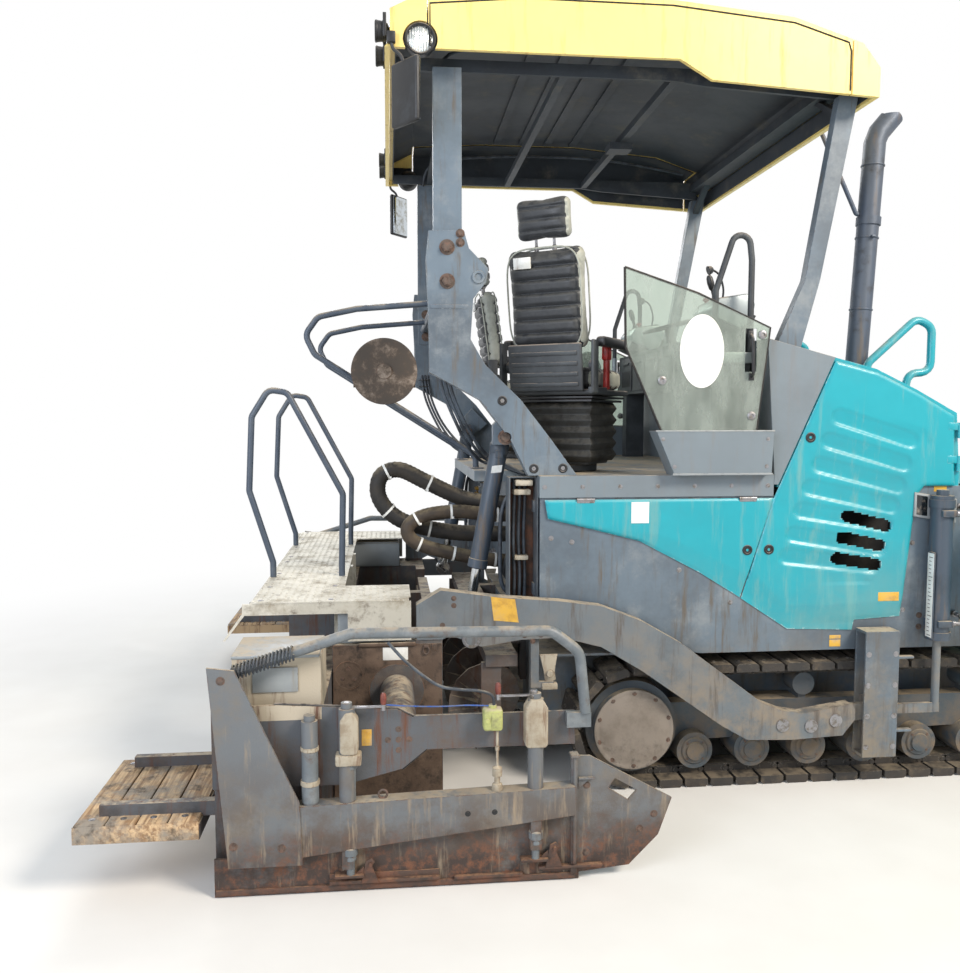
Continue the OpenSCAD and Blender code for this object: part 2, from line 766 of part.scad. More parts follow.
// Hoses swept along points chosen by hand
// Smooth curve through the corner points, three steps for each stretch
function soft(p, i, t) =
    let(n = len(p), a = p[max(i - 1, 0)], b = p[i], c = p[i + 1], d = p[min(i + 2, n - 1)])
        0.5 * (2 * b + (c - a) * t + (2 * a - 5 * b + 4 * c - d) * t * t
            + (3 * b - a - 3 * c + d) * t * t * t);
function curve(p, k) = concat(
    [for (i = [0 : len(p) - 2]) for (j = [0 : k - 1]) soft(p, i, j / k)], [p[len(p) - 1]]);

black_pts = [[-1330, -600, 1420], [-1450, -600, 1422], [-1640, -600, 1450],
    [-1840, -600, 1540], [-1990, -600, 1610], [-2090, -600, 1580], [-2110, -600, 1480],
    [-2050, -600, 1380], [-1930, -600, 1310], [-1700, -600, 1262], [-1450, -600, 1250],
    [-1330, -600, 1250]];
brown_pts = [[-1330, -720, 1370], [-1500, -720, 1370], [-1680, -720, 1390],
    [-1860, -720, 1370], [-1950, -720, 1310], [-1930, -720, 1240], [-1820, -720, 1190],
    [-1600, -720, 1140], [-1450, -720, 1120],
    [-1330, -720, 1120]];
// Both ends of a hose stand square on the rear wall
function on_wall(p) = concat([[rear_x, p[0][1], p[0][2]]], curve(p, 3),
    [[rear_x, p[0][1], p[len(p) - 1][2]]]);
module hose_black() {
    color("black") swept(on_wall(black_pts), hose_d / 2, 12);
}
module hose_brown() {
    color("saddlebrown") swept(on_wall(brown_pts), hose_thin_d / 2, 12);
}

// Doors
// Centres of both end arcs of each pressed scoop, and of the openings in the lowest three
door_scoops = [[[213, 1902], [607, 1780]], [[160, 1781], [575, 1662]],
    [[112, 1659], [548, 1550]], [[64, 1544], [515, 1446]], [[21, 1429], [482, 1353]],
    [[-17, 1306], [450, 1229]], [[-50, 1194], [421, 1139]]];
door_openings = [[[284, 1391], [470, 1347]], [[256, 1283], [442, 1245]],
    [[234, 1174], [425, 1144]]];
scoop_r = 40;
opening_r = 26;
press = 6;
// The sheets turn inwards below these creases
door_crease = [[-290, 1180], [-223, 1118], [-39, 943], [154, 940], [660, 956], [660, 780],
    [-300, 780]];
flap_crease = [[-1300, 1428], [-1178, 1381], [-673, 1305], [-236, 1097], [-200, 1070],
    [-200, 900], [-1300, 1200]];
skin_y = body_half + 2;

// A slot with round ends of radius r between two points
function half_round(c, r, g, k) =
    [for (i = [0 : k]) c + r * [cos(g + 180 * i / k), sin(g + 180 * i / k)]];
module pill(a, b, r, y0, y1) {
    g = atan2(b[1] - a[1], b[0] - a[0]);
    slab(concat(half_round(b, r, g - 90, 8), half_round(a, r, g + 90, 8)), y0, y1);
}

module engine_door() {
    difference() {
        slab(door_pts, skin_y, skin_y + door_t);
        for (p = door_scoops)
            pill(p[0], p[1], scoop_r, skin_y + door_t - press, skin_y + door_t + 1);
        for (p = door_openings)
            pill(p[0], p[1], opening_r, skin_y - 1, skin_y + door_t + 1);
        slab(door_crease, skin_y + door_t - press, skin_y + door_t + 1);
    }
    for (z = [1660.3, 1830.3]) {
        translate([door_hinge[0], door_hinge[1], z]) cylinder(r = knuckle_r, h = 40);
        box([800, skin_y, z], [door_hinge[0], door_hinge[1] + 3, z + 40]);
    }
}
module engine_door_left() { color("teal") engine_door(); }
module engine_door_right() { color("teal") mirror([0, 1, 0]) engine_door(); }

module service_flap() {
    difference() {
        slab(service_pts, skin_y, skin_y + door_t);
        slab(flap_crease, skin_y + door_t - press, skin_y + door_t + 1);
    }
    for (x = [-1130, -300])
        translate([x, body_half + 14, flap_hinge_z - 9]) rotate([0, 90, 0])
            cylinder(r = 9, h = 90);
}
module service_flap_left() { color("teal") service_flap(); }
module service_flap_right() { color("teal") mirror([0, 1, 0]) service_flap(); }

// Hopper wings, open at rest: [y, z] of the sheet's inside from the hinge to the top
wing_fold = [1450, 900];
module hopper_wing() {
    x0 = hopper_x + clear;
    x1 = hopper_l1 - 20;
    h = [wing_hinge_y + 10, wing_hinge_z + 3];
    color("teal") {
        bar([h, wing_fold, [wing_out - wing_t, wing_top], [wing_out, wing_top],
            wing_fold + [wing_t, -wing_t], h - [0, wing_t]], x0, x1);
        // End wall towards the engine
        bar([[h[0] + 30, h[1] + 4], wing_fold + [4, -4], [wing_out - wing_t / 2, wing_top - 1],
            [body_half + 60, wing_top - 1], [wing_hinge_y + 60, 1000]], x0 + 1, x0 + 1 + wing_t);
        // Ribs underneath
        for (x = [x0 + 300, x0 + 900, x0 + 1500])
            bar([[h[0] + 330, h[1] + 98], wing_fold + [30, -50], [wing_out - 20, 1000],
                [wing_out - 5, wing_top - 20], wing_fold + [5, -5]], x, x + 16);
        translate([x0 + 3, wing_hinge_y, wing_hinge_z])
            rotate([0, 90, 0]) cylinder(r = wing_pin_r, h = x1 - x0 - 6);
    }
}
module hopper_wing_left() { hopper_wing(); }
module hopper_wing_right() { mirror([0, 1, 0]) hopper_wing(); }

apron_x = hopper_l1 + 30;
apron_z = hopper_z - 20;
module hopper_apron() {
    color("teal") {
        slab([[apron_x, apron_z], [apron_x + 180, apron_z + 130], [apron_x + 188, apron_z + 120],
            [apron_x + 10, apron_z - 12]], -760, 760);
        pin_y(apron_x, apron_z, -780, 780, apron_pin_r);
    }
}

push_x = front_x - push_r;
push_z = 420;
push_pivot_x = hopper_l1 + 60;
beam_l = push_x - push_r - 20 - push_pivot_x;
beam_half = push_l + 160;
module push_beam() {
    color("slategray") {
        difference() {
            translate([push_pivot_x, 0, push_z - 110]) linear_extrude(170)
                polygon([[-45, -120], [-45, 120], [40, beam_half], [beam_l, beam_half],
                    [beam_l, -beam_half], [40, -beam_half]]);
            translate([push_pivot_x, 0, push_z - 95]) linear_extrude(140)
                polygon([[-30, -115], [-30, 115], [55, beam_half - 15], [beam_l - 12, beam_half - 15],
                    [beam_l - 12, 15 - beam_half], [55, 15 - beam_half]]);
            translate([push_pivot_x, 0, push_z - 120]) cylinder(r = push_pin_r + 0.4, h = 190);
        }
        both() for (y = [40, 40 + push_l + 20])
            slab([[push_x - push_r - 30, push_z - 60], [push_x + 30, push_z - 40],
                [push_x + 30, push_z + 40], [push_x - push_r - 30, push_z + 60]], y, y + 15);
        both() pin_y(push_x, push_z, 40, 75 + push_l, 20.4);
    }
}
module push_roller() {
    difference() {
        pin_y(push_x, push_z, 58, 58 + push_l - 2, push_r);
        pin_y(push_x, push_z, 50, 70 + push_l, 21);
    }
}
module push_roller_left() { color("dimgray") push_roller(); }
module push_roller_right() { color("dimgray") mirror([0, 1, 0]) push_roller(); }

// Augers behind the tractor: a helical flight of k steps on the shaft
flight_t = 14;
module flight(r0, r1, length, pitch, k) {
    q = [for (i = [0 : k])
        let(a = 360 * length / pitch * i / k, y = (length - flight_t) * i / k)
            each [for (e = [[r0, 0], [r1, 0], [r0, flight_t], [r1, flight_t]])
                [e[0] * cos(a), y + e[1], e[0] * sin(a)]]];
    polyhedron(points = q, faces = concat(
        [[0, 1, 3, 2]],
        [for (i = [0 : k - 1]) for (c = [[0, 1], [1, 3], [3, 2], [2, 0]])
            each [[4 * i + c[1], 4 * i + c[0], 4 * i + 4 + c[0]],
                [4 * i + c[1], 4 * i + 4 + c[0], 4 * i + 4 + c[1]]]],
        [[4 * k, 4 * k + 2, 4 * k + 3, 4 * k + 1]]));
}
module auger() {
    color("dimgray") {
        pin_y(auger_x, auger_z, 62, 62 + auger_l, 45);
        translate([auger_x, 62, auger_z])
            flight(40, auger_d / 2, auger_l, auger_pitch, round(auger_l / auger_pitch * 16));
    }
}
module auger_left() { auger(); }
module auger_right() { mirror([0, 1, 0]) auger(); }

module auger_frame() {
    color("slategray") {
        // Gear case between the augers and the hanger above
        box([auger_x - 90, -62 + seat_gap, auger_z - 120], [auger_x + 90, 62 - seat_gap, auger_z + 330]);
        box([auger_x - 20, 25 - arm_in, auger_z + auger_d / 2 + 40],
            [auger_x + 140, arm_in - 25, auger_z + auger_d / 2 + 100]);
        both() box([auger_x + 100, 655, auger_z + auger_d / 2 + 40],
            [rear_x - seat_gap, 735, auger_z + auger_d / 2 + 100]);
        // Slide shoe that runs on the tub's rear face
        both() box([rear_x - 30, 645, auger_z + auger_d / 2 - 160],
            [rear_x - seat_gap, 745, auger_z + auger_d / 2 + 101]);
        both() box([auger_x - 40, 62 + auger_l + seat_gap, auger_z - 60],
            [auger_x + 60, 62 + auger_l + 24, auger_z + auger_d / 2 + 60]);
    }
}

// Tow point carriages with the levelling rods
module tow_points() {
    y0 = arm_in + guide_gap;
    y1 = arm_in + arm_w + clear - guide_gap;
    ym = (arm_in - guide_wall + arm_in + arm_w + clear) / 2 + 4;
    color("silver") both() {
        difference() {
            box([guide_x0 + 20, y0, tow_z - 70], [guide_x1 - 18, y1, tow_z + 70]);
            box([guide_x0, arm_in + 18, tow_z - 80], [guide_x1 - 36, arm_in + 57, tow_z + 80]);
        }
        pin_y(tow_x, tow_z, y0 + 5, y1 - 5, tow_pin_r);
        box([guide_x1 - 19, ym - 10, tow_z - 25], [level_x + 20, ym + 10, tow_z + 25]);
        translate([level_x, level_y, tow_z - 20]) cylinder(d = level_rod_d, h = 540);
    }
}

arm_pts = [[-1925, 1000], [-1807, 1070], [-1541, 1032], [-1222, 1004], [-1022, 976],
    [-820, 898], [-614, 779], [-404, 623], [-191, 464], [-84, 420], [22, 401], [286, 441],
    [304, 414], [304, 360], [240, 280], [-26, 267], [-263, 275], [-396, 351], [-607, 500],
    [-814, 647], [-1019, 772], [-1219, 825], [-1416, 819], [-1612, 790], [-1760, 850],
    [-1800, foot_z], [-1925, foot_z]];
arm_holes = [[-80, 345], [70, 335], [200, 360]];
module tow_arm() {
    difference() {
        union() {
            slab(arm_pts, arm_in, arm_in + arm_w);
            // Tongue to the tow pin
            slab([[250, tow_z + 34], [tow_x, tow_z + 40], [tow_x, tow_z - 40],
                [250, tow_z - 60]], arm_in + 22, arm_in + 53);
            pin_y(tow_x, tow_z, arm_in + 22, arm_in + 53, 44);
            pin_y(lift_eye[0], lift_eye[1] + 30, arm_in + arm_w - 1, arm_in + arm_w + 6, 30);
            pin_y(lift_eye[0], lift_eye[1] + 30, arm_in + arm_w - 1, arm_in + arm_w + 4, 46);
            // Collars of the through holes and the bracket hanging under the arm
            for (h = arm_holes)
                pin_y(h[0], h[1], arm_in + arm_w - 1, arm_in + arm_w + 4, 34);
            box([-1365, arm_in + 20, 570], [-1325, arm_in + 50, 830]);
            box([-1365, arm_in + 20, 570], [-1250, arm_in + 50, 600]);
        }
        pin_y(tow_x, tow_z, arm_in, arm_in + arm_w, tow_pin_r + 1);
        for (h = arm_holes)
            pin_y(h[0], h[1], arm_in - 1, arm_in + arm_w + 5, 22);
    }
    // Pin of the lift cylinder, seated on the arm
    pin_y(lift_eye[0], lift_eye[1] + 30, lift_y + lift_d / 2 + clear, arm_in - seat_gap, 30);
}
module tow_arms() {
    color("slategray") both() tow_arm();
}

// Main screed
main_x0 = -2325;
main_x1 = -1800;
tele = [-2020, 585];
module screed_frame() {
    color("dimgray") {
        difference() {
            union() {
                box([main_x0, -screed_half, sole_z], [main_x1, screed_half, 330]);
                box([main_x0, -screed_half, 329], [main_x1, screed_half, main_top]);
            }
            // Bore for the telescopic tubes and the hollow between the walls
            pin_y(tele[0], tele[1], -screed_half - 1, screed_half + 1, tele_r + tele_gap);
            box([main_x0 + 60, -screed_half + 300, 500], [main_x1 - 60, -40, 900]);
            box([main_x0 + 60, 40, 500], [main_x1 - 60, screed_half - 300, 900]);
            // Gap in the front wall under the hanging hoses
            both() box([main_x1 - 61, 490, main_top - 115], [main_x1 + 1, 810, main_top + 1]);
        }
        // Flanges round the tubes
        both() difference() {
            pin_y(tele[0], tele[1], screed_half - 1, screed_half + 3, 130);
            pin_y(tele[0], tele[1], screed_half - 2, screed_half + 4, tele_r + tele_gap);
        }
        // Feet under the tow arms
        both() box([-1930, arm_in, main_top - 1], [main_x1, screed_half, foot_z]);
    }
}

module screed_deck() {
    color("lightgray") {
        difference() {
            box([-2700, -deck_half, walk_z - walk_t], [-1950, deck_half, walk_z]);
            box([-2280, -900, walk_z - 20], [-1949, 900, walk_z + 1]);
            both() box([-1960, arm_in - 8, walk_z - 20], [-1900, deck_half + 1, walk_z + 1]);
        }
        both() box([-2250, deck_half - 15, main_top + 20], [-1950, deck_half, walk_z - walk_t + 1]);
        both() box([-2740, deck_half - 15, walk_z - 60], [-2249, deck_half, walk_z - walk_t + 1]);
        slab([[-2690, walk_z - walk_t], [-2820, 850], [-2832, 850], [-2702, walk_z],
            [-2690, walk_z]], -deck_half, deck_half);
        // Legs of the deck on the main frame
        both() for (y = [200, 1050])
            box([main_x0 + 1, y, main_top], [main_x0 + 60, y + 60, walk_z - walk_t + 1]);
    }
}

module screed_rails() {
    color("silver") both() rail([[-2680, walk_z], [-2680, walk_z + 80], [-2800, 1500],
        [-2780, 1900], [-2690, 2045], [-2590, 2030], [-2300, 1480], [-2310, walk_z + 60], [-2310, walk_z]],
        600, rail_d / 2, 50);
}

// Lift cylinders from the post brackets to the arms
lift_dir = unit(lift_eye - lift_top);
lift_y = post_in - 60 - lift_d / 2 - clear;
module lift_barrels() {
    color("slategray") both() {
        difference() {
            union() {
                rod_xz(lift_top + 30 * lift_dir, lift_top + 690 * lift_dir, lift_y, lift_d / 2);
                pin_y(lift_top[0], lift_top[1], lift_y - 18, lift_y + 18, 48);
            }
            rod_xz(lift_top + 60 * lift_dir, lift_top + 700 * lift_dir, lift_y,
                lift_rod_d / 2 + 1);
        }
        pin_y(lift_top[0], lift_top[1], lift_y, post_y + 10, 25.6);
    }
}
module lift_rods() {
    color("silver") both() {
        rod_xz(lift_top + 400 * lift_dir, lift_eye, lift_y, lift_rod_d / 2);
        pin_y(lift_eye[0], lift_eye[1], lift_y - 22, lift_y + lift_d / 2, 48);
    }
}

// Telescopic extension
ext_x0 = -2750;
ext_x1 = main_x0 - clear;
module screed_ext() {
    yo = gate_in - 20;
    color("dimgray") {
        // Box behind the main screed
        box([ext_x0, yo - 1240, sole_z], [ext_x1, yo + 1, 690]);
        // End plate and telescopic tube
        slab([[-2755, 756], [-2510, 763], [-2026, 730], [-1944, 685], [-1903, 566],
            [-2006, 484], [-2231, 428], [-2755, 428]], yo, yo + 15);
        pin_y(tele[0], tele[1], yo - 1100, yo + 10, tele_r);
        // Beam forward to the gate's front column
        box([-1960, yo, 560], [-1300, yo + 15, 700]);
        for (x = [-1470, -2225])
            box([x - 25, yo + 14, 590], [x + 25, gate_in + 3 - seat_gap, 670]);
        // Pale cabinet
        box([-2680, yo - 350, 689], [ext_x1, yo - 40, 940]);
        // Step board behind
        box([tail_x, yo - 620, 250], [-2800, yo + 60, 310]);
        for (y = [yo - 560, yo - 60])
            box([-3200, y, 310], [ext_x0 + 1, y + 40, 370]);
    }
}
module screed_ext_left() { screed_ext(); }
module screed_ext_right() { mirror([0, 1, 0]) screed_ext(); }

module gate_rail() {
    y = gate_in - clear + gate_rail_d / 2 + 0.5;
    color("dimgray") {
        rail([[-2688, 700], [-2688, 899], [-2204, 1049], [-1404, 1040], [-1288, 950],
            [-1262, 700]], y, gate_rail_d / 2, 80);
        box([-2720, gate_in - clear, 690], [-2650, y + 10, 752]);
        box([-1340, gate_in - clear, 640], [-1240, y + 10, 701]);
    }
}
module gate_rail_left() { gate_rail(); }
module gate_rail_right() { mirror([0, 1, 0]) gate_rail(); }

module side_gate() {
    y0 = gate_in;
    y1 = gate_in + gate_w;
    color("slategray") {
        // Box beam and the sole strip under it
        slab([[-2418, 375], [-1310, 408], [-1308, 291], [-2400, 171]], y0, y1);
        slab([[-2750, 155], [-1285, 155], [-1285, 0], [-2750, 0]], y0 + 10, y0 + 10 + gate_plate);
        slab([[-2400, 240], [-1300, 300], [-1300, 150], [-2400, 150]], y0 + 10,
            y0 + 10 + gate_plate);
        // Rear triangle
        slab([[-2753, 942], [-2649, 928], [-2410, 395], [-2401, 142], [-2686, 142]], y1 - 6, y1 + 6);
        slab([[-2460, 375], [-2401, 375], [-2401, 160], [-2686, 160], [-2686, 200]], y0 + 10, y1);
        // Nose plate
        difference() {
            slab([[-1320, 520], [-1242, 518], [-895, 326], [-951, 171], [-1074, 48],
                [-1320, 24]], y0 + 10, y0 + 10 + gate_plate);
            slab([[-1136, 419], [-1043, 365], [-1080, 324], [-1164, 378]], y0, y0 + 40);
        }
        // Columns of the height spindles, capped, and the brackets under the beam
        for (c = [[-1470, 770], [-2225, 755], [-2370, 710]]) {
            translate([c[0], y0 + 35, 300]) cylinder(r = 32, h = c[1] - 300);
            translate([c[0], y0 + 35, c[1] - 1]) cylinder(r = 22, h = 24);
        }
        for (b = [[-1470, 150, 290], [-2225, 110, 215]])
            box([b[0] - 22, y0 + 21, b[1]], [b[0] + 22, y1 - 4, b[2]]);
    }
}
module side_gate_left() { side_gate(); }
module side_gate_right() { mirror([0, 1, 0]) side_gate(); }

// Seats, drawn facing forward round their own swivel axis
seat_x = -1080;
module place_seat(side, a) {
    translate([seat_x, side * seat_y, floor_z])
        rotate([0, 0, a])
            children();
}
module seat_frame() {
    color("dimgray") {
        translate([0, 0, seat_gap]) cylinder(r = 150, h = 40);
        translate([-150, -180, 40]) cube([300, 360, 330]);
        translate([-270, -240, 400]) cube([505, 480, 30]);
        translate([-150, -150, 369]) cube([300, 300, 32]);
        translate([-262, -240, 400]) rotate([0, -8, 0]) cube([22, 480, 720]);
        for (s = [-1, 1])
            translate([-220, s * 265 - 25, 640]) cube([330, 50, 40]);
        for (s = [-1, 1])
            translate([-310, s * 265 - 25, 500]) cube([100, 50, 180]);
    }
}
module seat_pan() {
    color("black") translate([-238, -240, 430 + seat_gap]) cube([473, 480, 110]);
}
module seat_back() {
    color("black") translate([-259.9, 0, 547.8]) rotate([0, -8, 0]) {
        translate([0, -225, -10]) cube([105, 450, 620]);
        translate([10, -150, 640]) cube([80, 300, 200]);
        translate([20, -40, 600]) cube([30, 80, 50]);
    }
}
module seat_right() { place_seat(-1, seat_turn) seat_frame(); }
module seat_left() { place_seat(1, 0) seat_frame(); }
module seat_pan_right() { place_seat(-1, seat_turn) seat_pan(); }
module seat_pan_left() { place_seat(1, 0) seat_pan(); }
module seat_back_right() { place_seat(-1, seat_turn) seat_back(); }
module seat_back_left() { place_seat(1, 0) seat_back(); }

chassis();
track_frames();
tracks();
hood();
cowl();
engine();
exhaust();
platform();
console();
side_screens();
post_brackets();
platform_rails();
hose_reel();
hopper();
conveyor();
levelling_cylinders();
roof();
roof_frame();
lamps();
roof_posts();
hose_black();
hose_brown();
engine_door_right();
engine_door_left();
service_flap_right();
service_flap_left();
hopper_wing_right();
hopper_wing_left();
hopper_apron();
push_beam();
push_roller_right();
push_roller_left();
auger_frame();
auger_right();
auger_left();
tow_points();
tow_arms();
screed_frame();
screed_deck();
screed_rails();
lift_barrels();
lift_rods();
screed_ext_right();
screed_ext_left();
gate_rail_right();
gate_rail_left();
side_gate_right();
side_gate_left();
roof_flap_right();
roof_flap_left();
seat_right();
seat_left();
seat_pan_right();
seat_pan_left();
seat_back_right();
seat_back_left();
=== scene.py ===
"""Asphalt paver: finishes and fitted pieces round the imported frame. Metres, X forward, Z up."""

import json
import math

import bmesh
import bpy
from mathutils import Matrix, Vector


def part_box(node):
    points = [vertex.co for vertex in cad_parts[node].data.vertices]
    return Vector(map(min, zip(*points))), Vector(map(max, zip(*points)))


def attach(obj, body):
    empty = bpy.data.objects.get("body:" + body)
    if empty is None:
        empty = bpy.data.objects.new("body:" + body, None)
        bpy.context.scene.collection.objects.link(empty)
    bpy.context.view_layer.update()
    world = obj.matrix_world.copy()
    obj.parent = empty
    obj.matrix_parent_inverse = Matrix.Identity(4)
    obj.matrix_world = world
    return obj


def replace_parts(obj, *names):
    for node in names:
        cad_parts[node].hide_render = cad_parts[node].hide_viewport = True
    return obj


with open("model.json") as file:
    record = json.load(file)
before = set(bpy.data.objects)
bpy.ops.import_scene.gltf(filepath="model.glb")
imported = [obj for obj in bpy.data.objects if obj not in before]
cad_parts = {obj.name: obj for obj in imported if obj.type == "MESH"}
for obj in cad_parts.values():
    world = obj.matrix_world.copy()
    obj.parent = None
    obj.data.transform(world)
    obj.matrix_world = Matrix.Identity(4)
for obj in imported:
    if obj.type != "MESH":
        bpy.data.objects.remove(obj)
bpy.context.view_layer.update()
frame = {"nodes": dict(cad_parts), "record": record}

bl_info = {
    "name": "Asphalt paver",
    "version": (1, 0, 0),
    "blender": (4, 5, 0),
    "location": "View3D > Sidebar > Paver",
    "description": "Finishes and fitted pieces of a tracked asphalt paver",
    "category": "Object",
}

SIDES = {"right": -1, "left": 1}
BODY_FACE = 1.18  # side panels of chassis and hood
DOOR_FACE = 1.198  # outer face of the pressed doors
FLOOR_Z = 1.61
SEAT_X, SEAT_Y = -1.08, 0.75
SEAT_TURN = {"right": math.radians(54), "left": 0.0}


# ---------------------------------------------------------------- settings
class PaverColours(bpy.types.PropertyGroup):
    """Colours that a user would change."""

    def shade(name, about, value):
        return bpy.props.FloatVectorProperty(
            name=name, description=about, default=value, size=3, min=0, max=1,
            subtype="COLOR_GAMMA",
        )

    teal: shade("Teal", "Enamel of hood, doors and hopper", (0.085, 0.6, 0.655))
    blue_grey: shade("Blue grey", "Enamel of chassis, posts and arms", (0.39, 0.445, 0.49))
    yellow: shade("Yellow", "Enamel of the roof", (0.953, 0.85, 0.5))
    grey: shade("Grey", "Enamel of cowl and platform", (0.445, 0.488, 0.515))


class PaverSizes(bpy.types.PropertyGroup):
    """Sizes that a user would change."""

    bolt: bpy.props.FloatProperty(
        name="Bolt head", description="Width of a big bolt head across its corners",
        default=0.046, min=0.02, max=0.08, unit="LENGTH",
    )
    tread: bpy.props.FloatProperty(
        name="Tread pitch", description="Distance between two lozenges of the tread plate",
        default=0.034, min=0.02, max=0.08, unit="LENGTH",
    )
    panel_pitch: bpy.props.FloatProperty(
        name="Panel mesh", description="Mesh size of the pressed doors",
        default=0.01, min=0.006, max=0.03, unit="LENGTH",
    )


def colours():
    """The colours that the panel shows."""
    return bpy.context.scene.paver_colours


def sizes():
    """The sizes that the panel shows."""
    return bpy.context.scene.paver_sizes


# ---------------------------------------------------------------- finishes
def linear(shade):
    """An sRGB colour, as hex or three shares, turned to linear for a socket."""
    if isinstance(shade, str):
        shade = [int(shade[i:i + 2], 16) / 255 for i in (1, 3, 5)]
    return [c / 12.92 if c <= 0.04045 else ((c + 0.055) / 1.055) ** 2.4 for c in shade] + [1.0]


def add(tree, kind, links=None, **settings):
    """Add a node, set its properties, then set or link its inputs by name or number."""
    node = tree.nodes.new(kind)
    for key, value in settings.items():
        setattr(node, key, value)
    for key, value in (links or {}).items():
        if isinstance(value, bpy.types.NodeSocket):
            tree.links.new(value, node.inputs[key])
        else:
            node.inputs[key].default_value = value
    return node


FINISHES = {}


def new_finish(name):
    """Start a named finish and give back its empty tree."""
    material = FINISHES[name] = bpy.data.materials.new(name)
    material.use_nodes = True
    material.node_tree.nodes.clear()
    return material.node_tree


def close(tree, shader):
    """Link a finish's last shader to its output."""
    add(tree, "ShaderNodeOutputMaterial", {"Surface": shader.outputs[0]})


def blotch(tree, place, size, share, soft=0.12, detail=6):
    """Patches of about size metres that cover about a share of the surface, as a mask."""
    grain = add(tree, "ShaderNodeTexNoise",
                {"Vector": place, "Scale": 1 / size, "Detail": detail, "Roughness": 0.7})
    edge = 0.66 - 0.32 * share
    return add(tree, "ShaderNodeMapRange",
               {"Value": grain.outputs["Fac"], "From Min": edge - soft, "From Max": edge + soft},
               interpolation_type="SMOOTHSTEP").outputs["Result"]


TINT_PATCH = 0.5  # metres across which a coat drifts in tone


def layered(name, base, rough, layers, metallic=0.0, tint=0.1, grain=0.0006,
            grain_size=0.004, coat=0.0):
    """A surface of one stuff under layers of dirt and wear.

    Each layer is (colour, where, share, size, roughness). where is all, up for what settles on
    upward faces, edge for wear along edges, streak for what runs down, a height in metres up to
    which the ground splashes, or two corners of a box that the layer fills.
    """
    tree = new_finish(name)
    place = add(tree, "ShaderNodeTexCoord").outputs["Object"]
    geometry = add(tree, "ShaderNodeNewGeometry")
    normal = add(tree, "ShaderNodeSeparateXYZ", {0: geometry.outputs["Normal"]})
    height = add(tree, "ShaderNodeSeparateXYZ", {0: place})
    drawn = add(tree, "ShaderNodeMapping", {"Vector": place, "Scale": (1, 1, 0.1)})
    colour_value = linear(base)
    tone = blotch(tree, place, TINT_PATCH, 0.5, 0.25, 4)
    mix = add(tree, "ShaderNodeMix",
              {0: tone, 6: [c * (1 - tint) for c in colour_value[:3]] + [1],
               7: [min(1, c * (1 + tint)) for c in colour_value[:3]] + [1]}, data_type="RGBA")
    colour = mix.outputs[2]
    gloss = add(tree, "ShaderNodeMapRange",
                {"Value": tone, "To Min": rough * 0.9, "To Max": min(1, rough * 1.12)}
                ).outputs["Result"]
    relief = add(tree, "ShaderNodeTexNoise",
                 {"Vector": place, "Scale": 1 / grain_size, "Detail": 3}).outputs["Fac"]
    for shade, where, share, size, layer_rough in layers:
        soft = {"edge": 0.06, "streak": 0.1}.get(where, 0.13) if isinstance(where, str) else 0.13
        mask = blotch(tree, drawn.outputs[0] if where == "streak" else place, size, share, soft)
        weight = None
        if where == "up":
            weight = add(tree, "ShaderNodeMapRange",
                         {"Value": normal.outputs["Z"], "From Min": 0.25, "From Max": 0.95}
                         ).outputs["Result"]
        if isinstance(where, float):
            weight = add(tree, "ShaderNodeMapRange",
                         {"Value": height.outputs["Z"], "From Min": where,
                          "From Max": where * 0.35}).outputs["Result"]
        if where == "edge":
            rounded = add(tree, "ShaderNodeBevel", {"Radius": 0.006}, samples=4)
            flat = add(tree, "ShaderNodeVectorMath",
                       {0: rounded.outputs[0], 1: geometry.outputs["Normal"]},
                       operation="DOT_PRODUCT")
            weight = add(tree, "ShaderNodeMapRange",
                         {"Value": flat.outputs["Value"], "From Min": 0.985, "From Max": 0.9}
                         ).outputs["Result"]
        if isinstance(where, tuple):
            # Inside of the box between two corners, the same on both sides of the machine
            middle = [(a + b) / 2 for a, b in zip(*where)]
            half = [abs(b - a) / 2 for a, b in zip(*where)]
            folded = add(tree, "ShaderNodeVectorMath", {0: place}, operation="ABSOLUTE")
            near = add(tree, "ShaderNodeVectorMath",
                       {0: folded.outputs[0], 1: [abs(m) for m in middle]}, operation="SUBTRACT")
            away = add(tree, "ShaderNodeVectorMath", {0: near.outputs[0]}, operation="ABSOLUTE")
            left = add(tree, "ShaderNodeVectorMath", {0: half, 1: away.outputs[0]},
                       operation="SUBTRACT")
            parts = add(tree, "ShaderNodeSeparateXYZ", {0: left.outputs[0]})
            least = add(tree, "ShaderNodeMath", {0: parts.outputs[0], 1: parts.outputs[1]},
                        operation="MINIMUM")
            least = add(tree, "ShaderNodeMath", {0: least.outputs[0], 1: parts.outputs[2]},
                        operation="MINIMUM")
            weight = add(tree, "ShaderNodeMath", {0: least.outputs[0], 1: 0.0},
                         operation="GREATER_THAN").outputs[0]
        if weight is not None:
            mask = add(tree, "ShaderNodeMath", {0: mask, 1: weight},
                       operation="MULTIPLY").outputs[0]
        colour = add(tree, "ShaderNodeMix", {0: mask, 6: colour, 7: linear(shade)},
                     data_type="RGBA").outputs[2]
        gloss = add(tree, "ShaderNodeMix", {0: mask, 2: gloss, 3: layer_rough}).outputs[0]
    bump = add(tree, "ShaderNodeBump", {"Height": relief, "Distance": grain, "Strength": 0.8})
    shader = add(tree, "ShaderNodeBsdfPrincipled",
                 {"Base Color": colour, "Roughness": gloss, "Normal": bump.outputs[0],
                  "Metallic": metallic, "Coat Weight": coat, "Coat Roughness": 0.12})
    close(tree, shader)


DUST = "#a3978a"
SAND = "#b3a58e"
MUD = "#6f6252"
RUST = "#5f4031"
TAR = "#282320"
CHALK = "#c8c2b4"


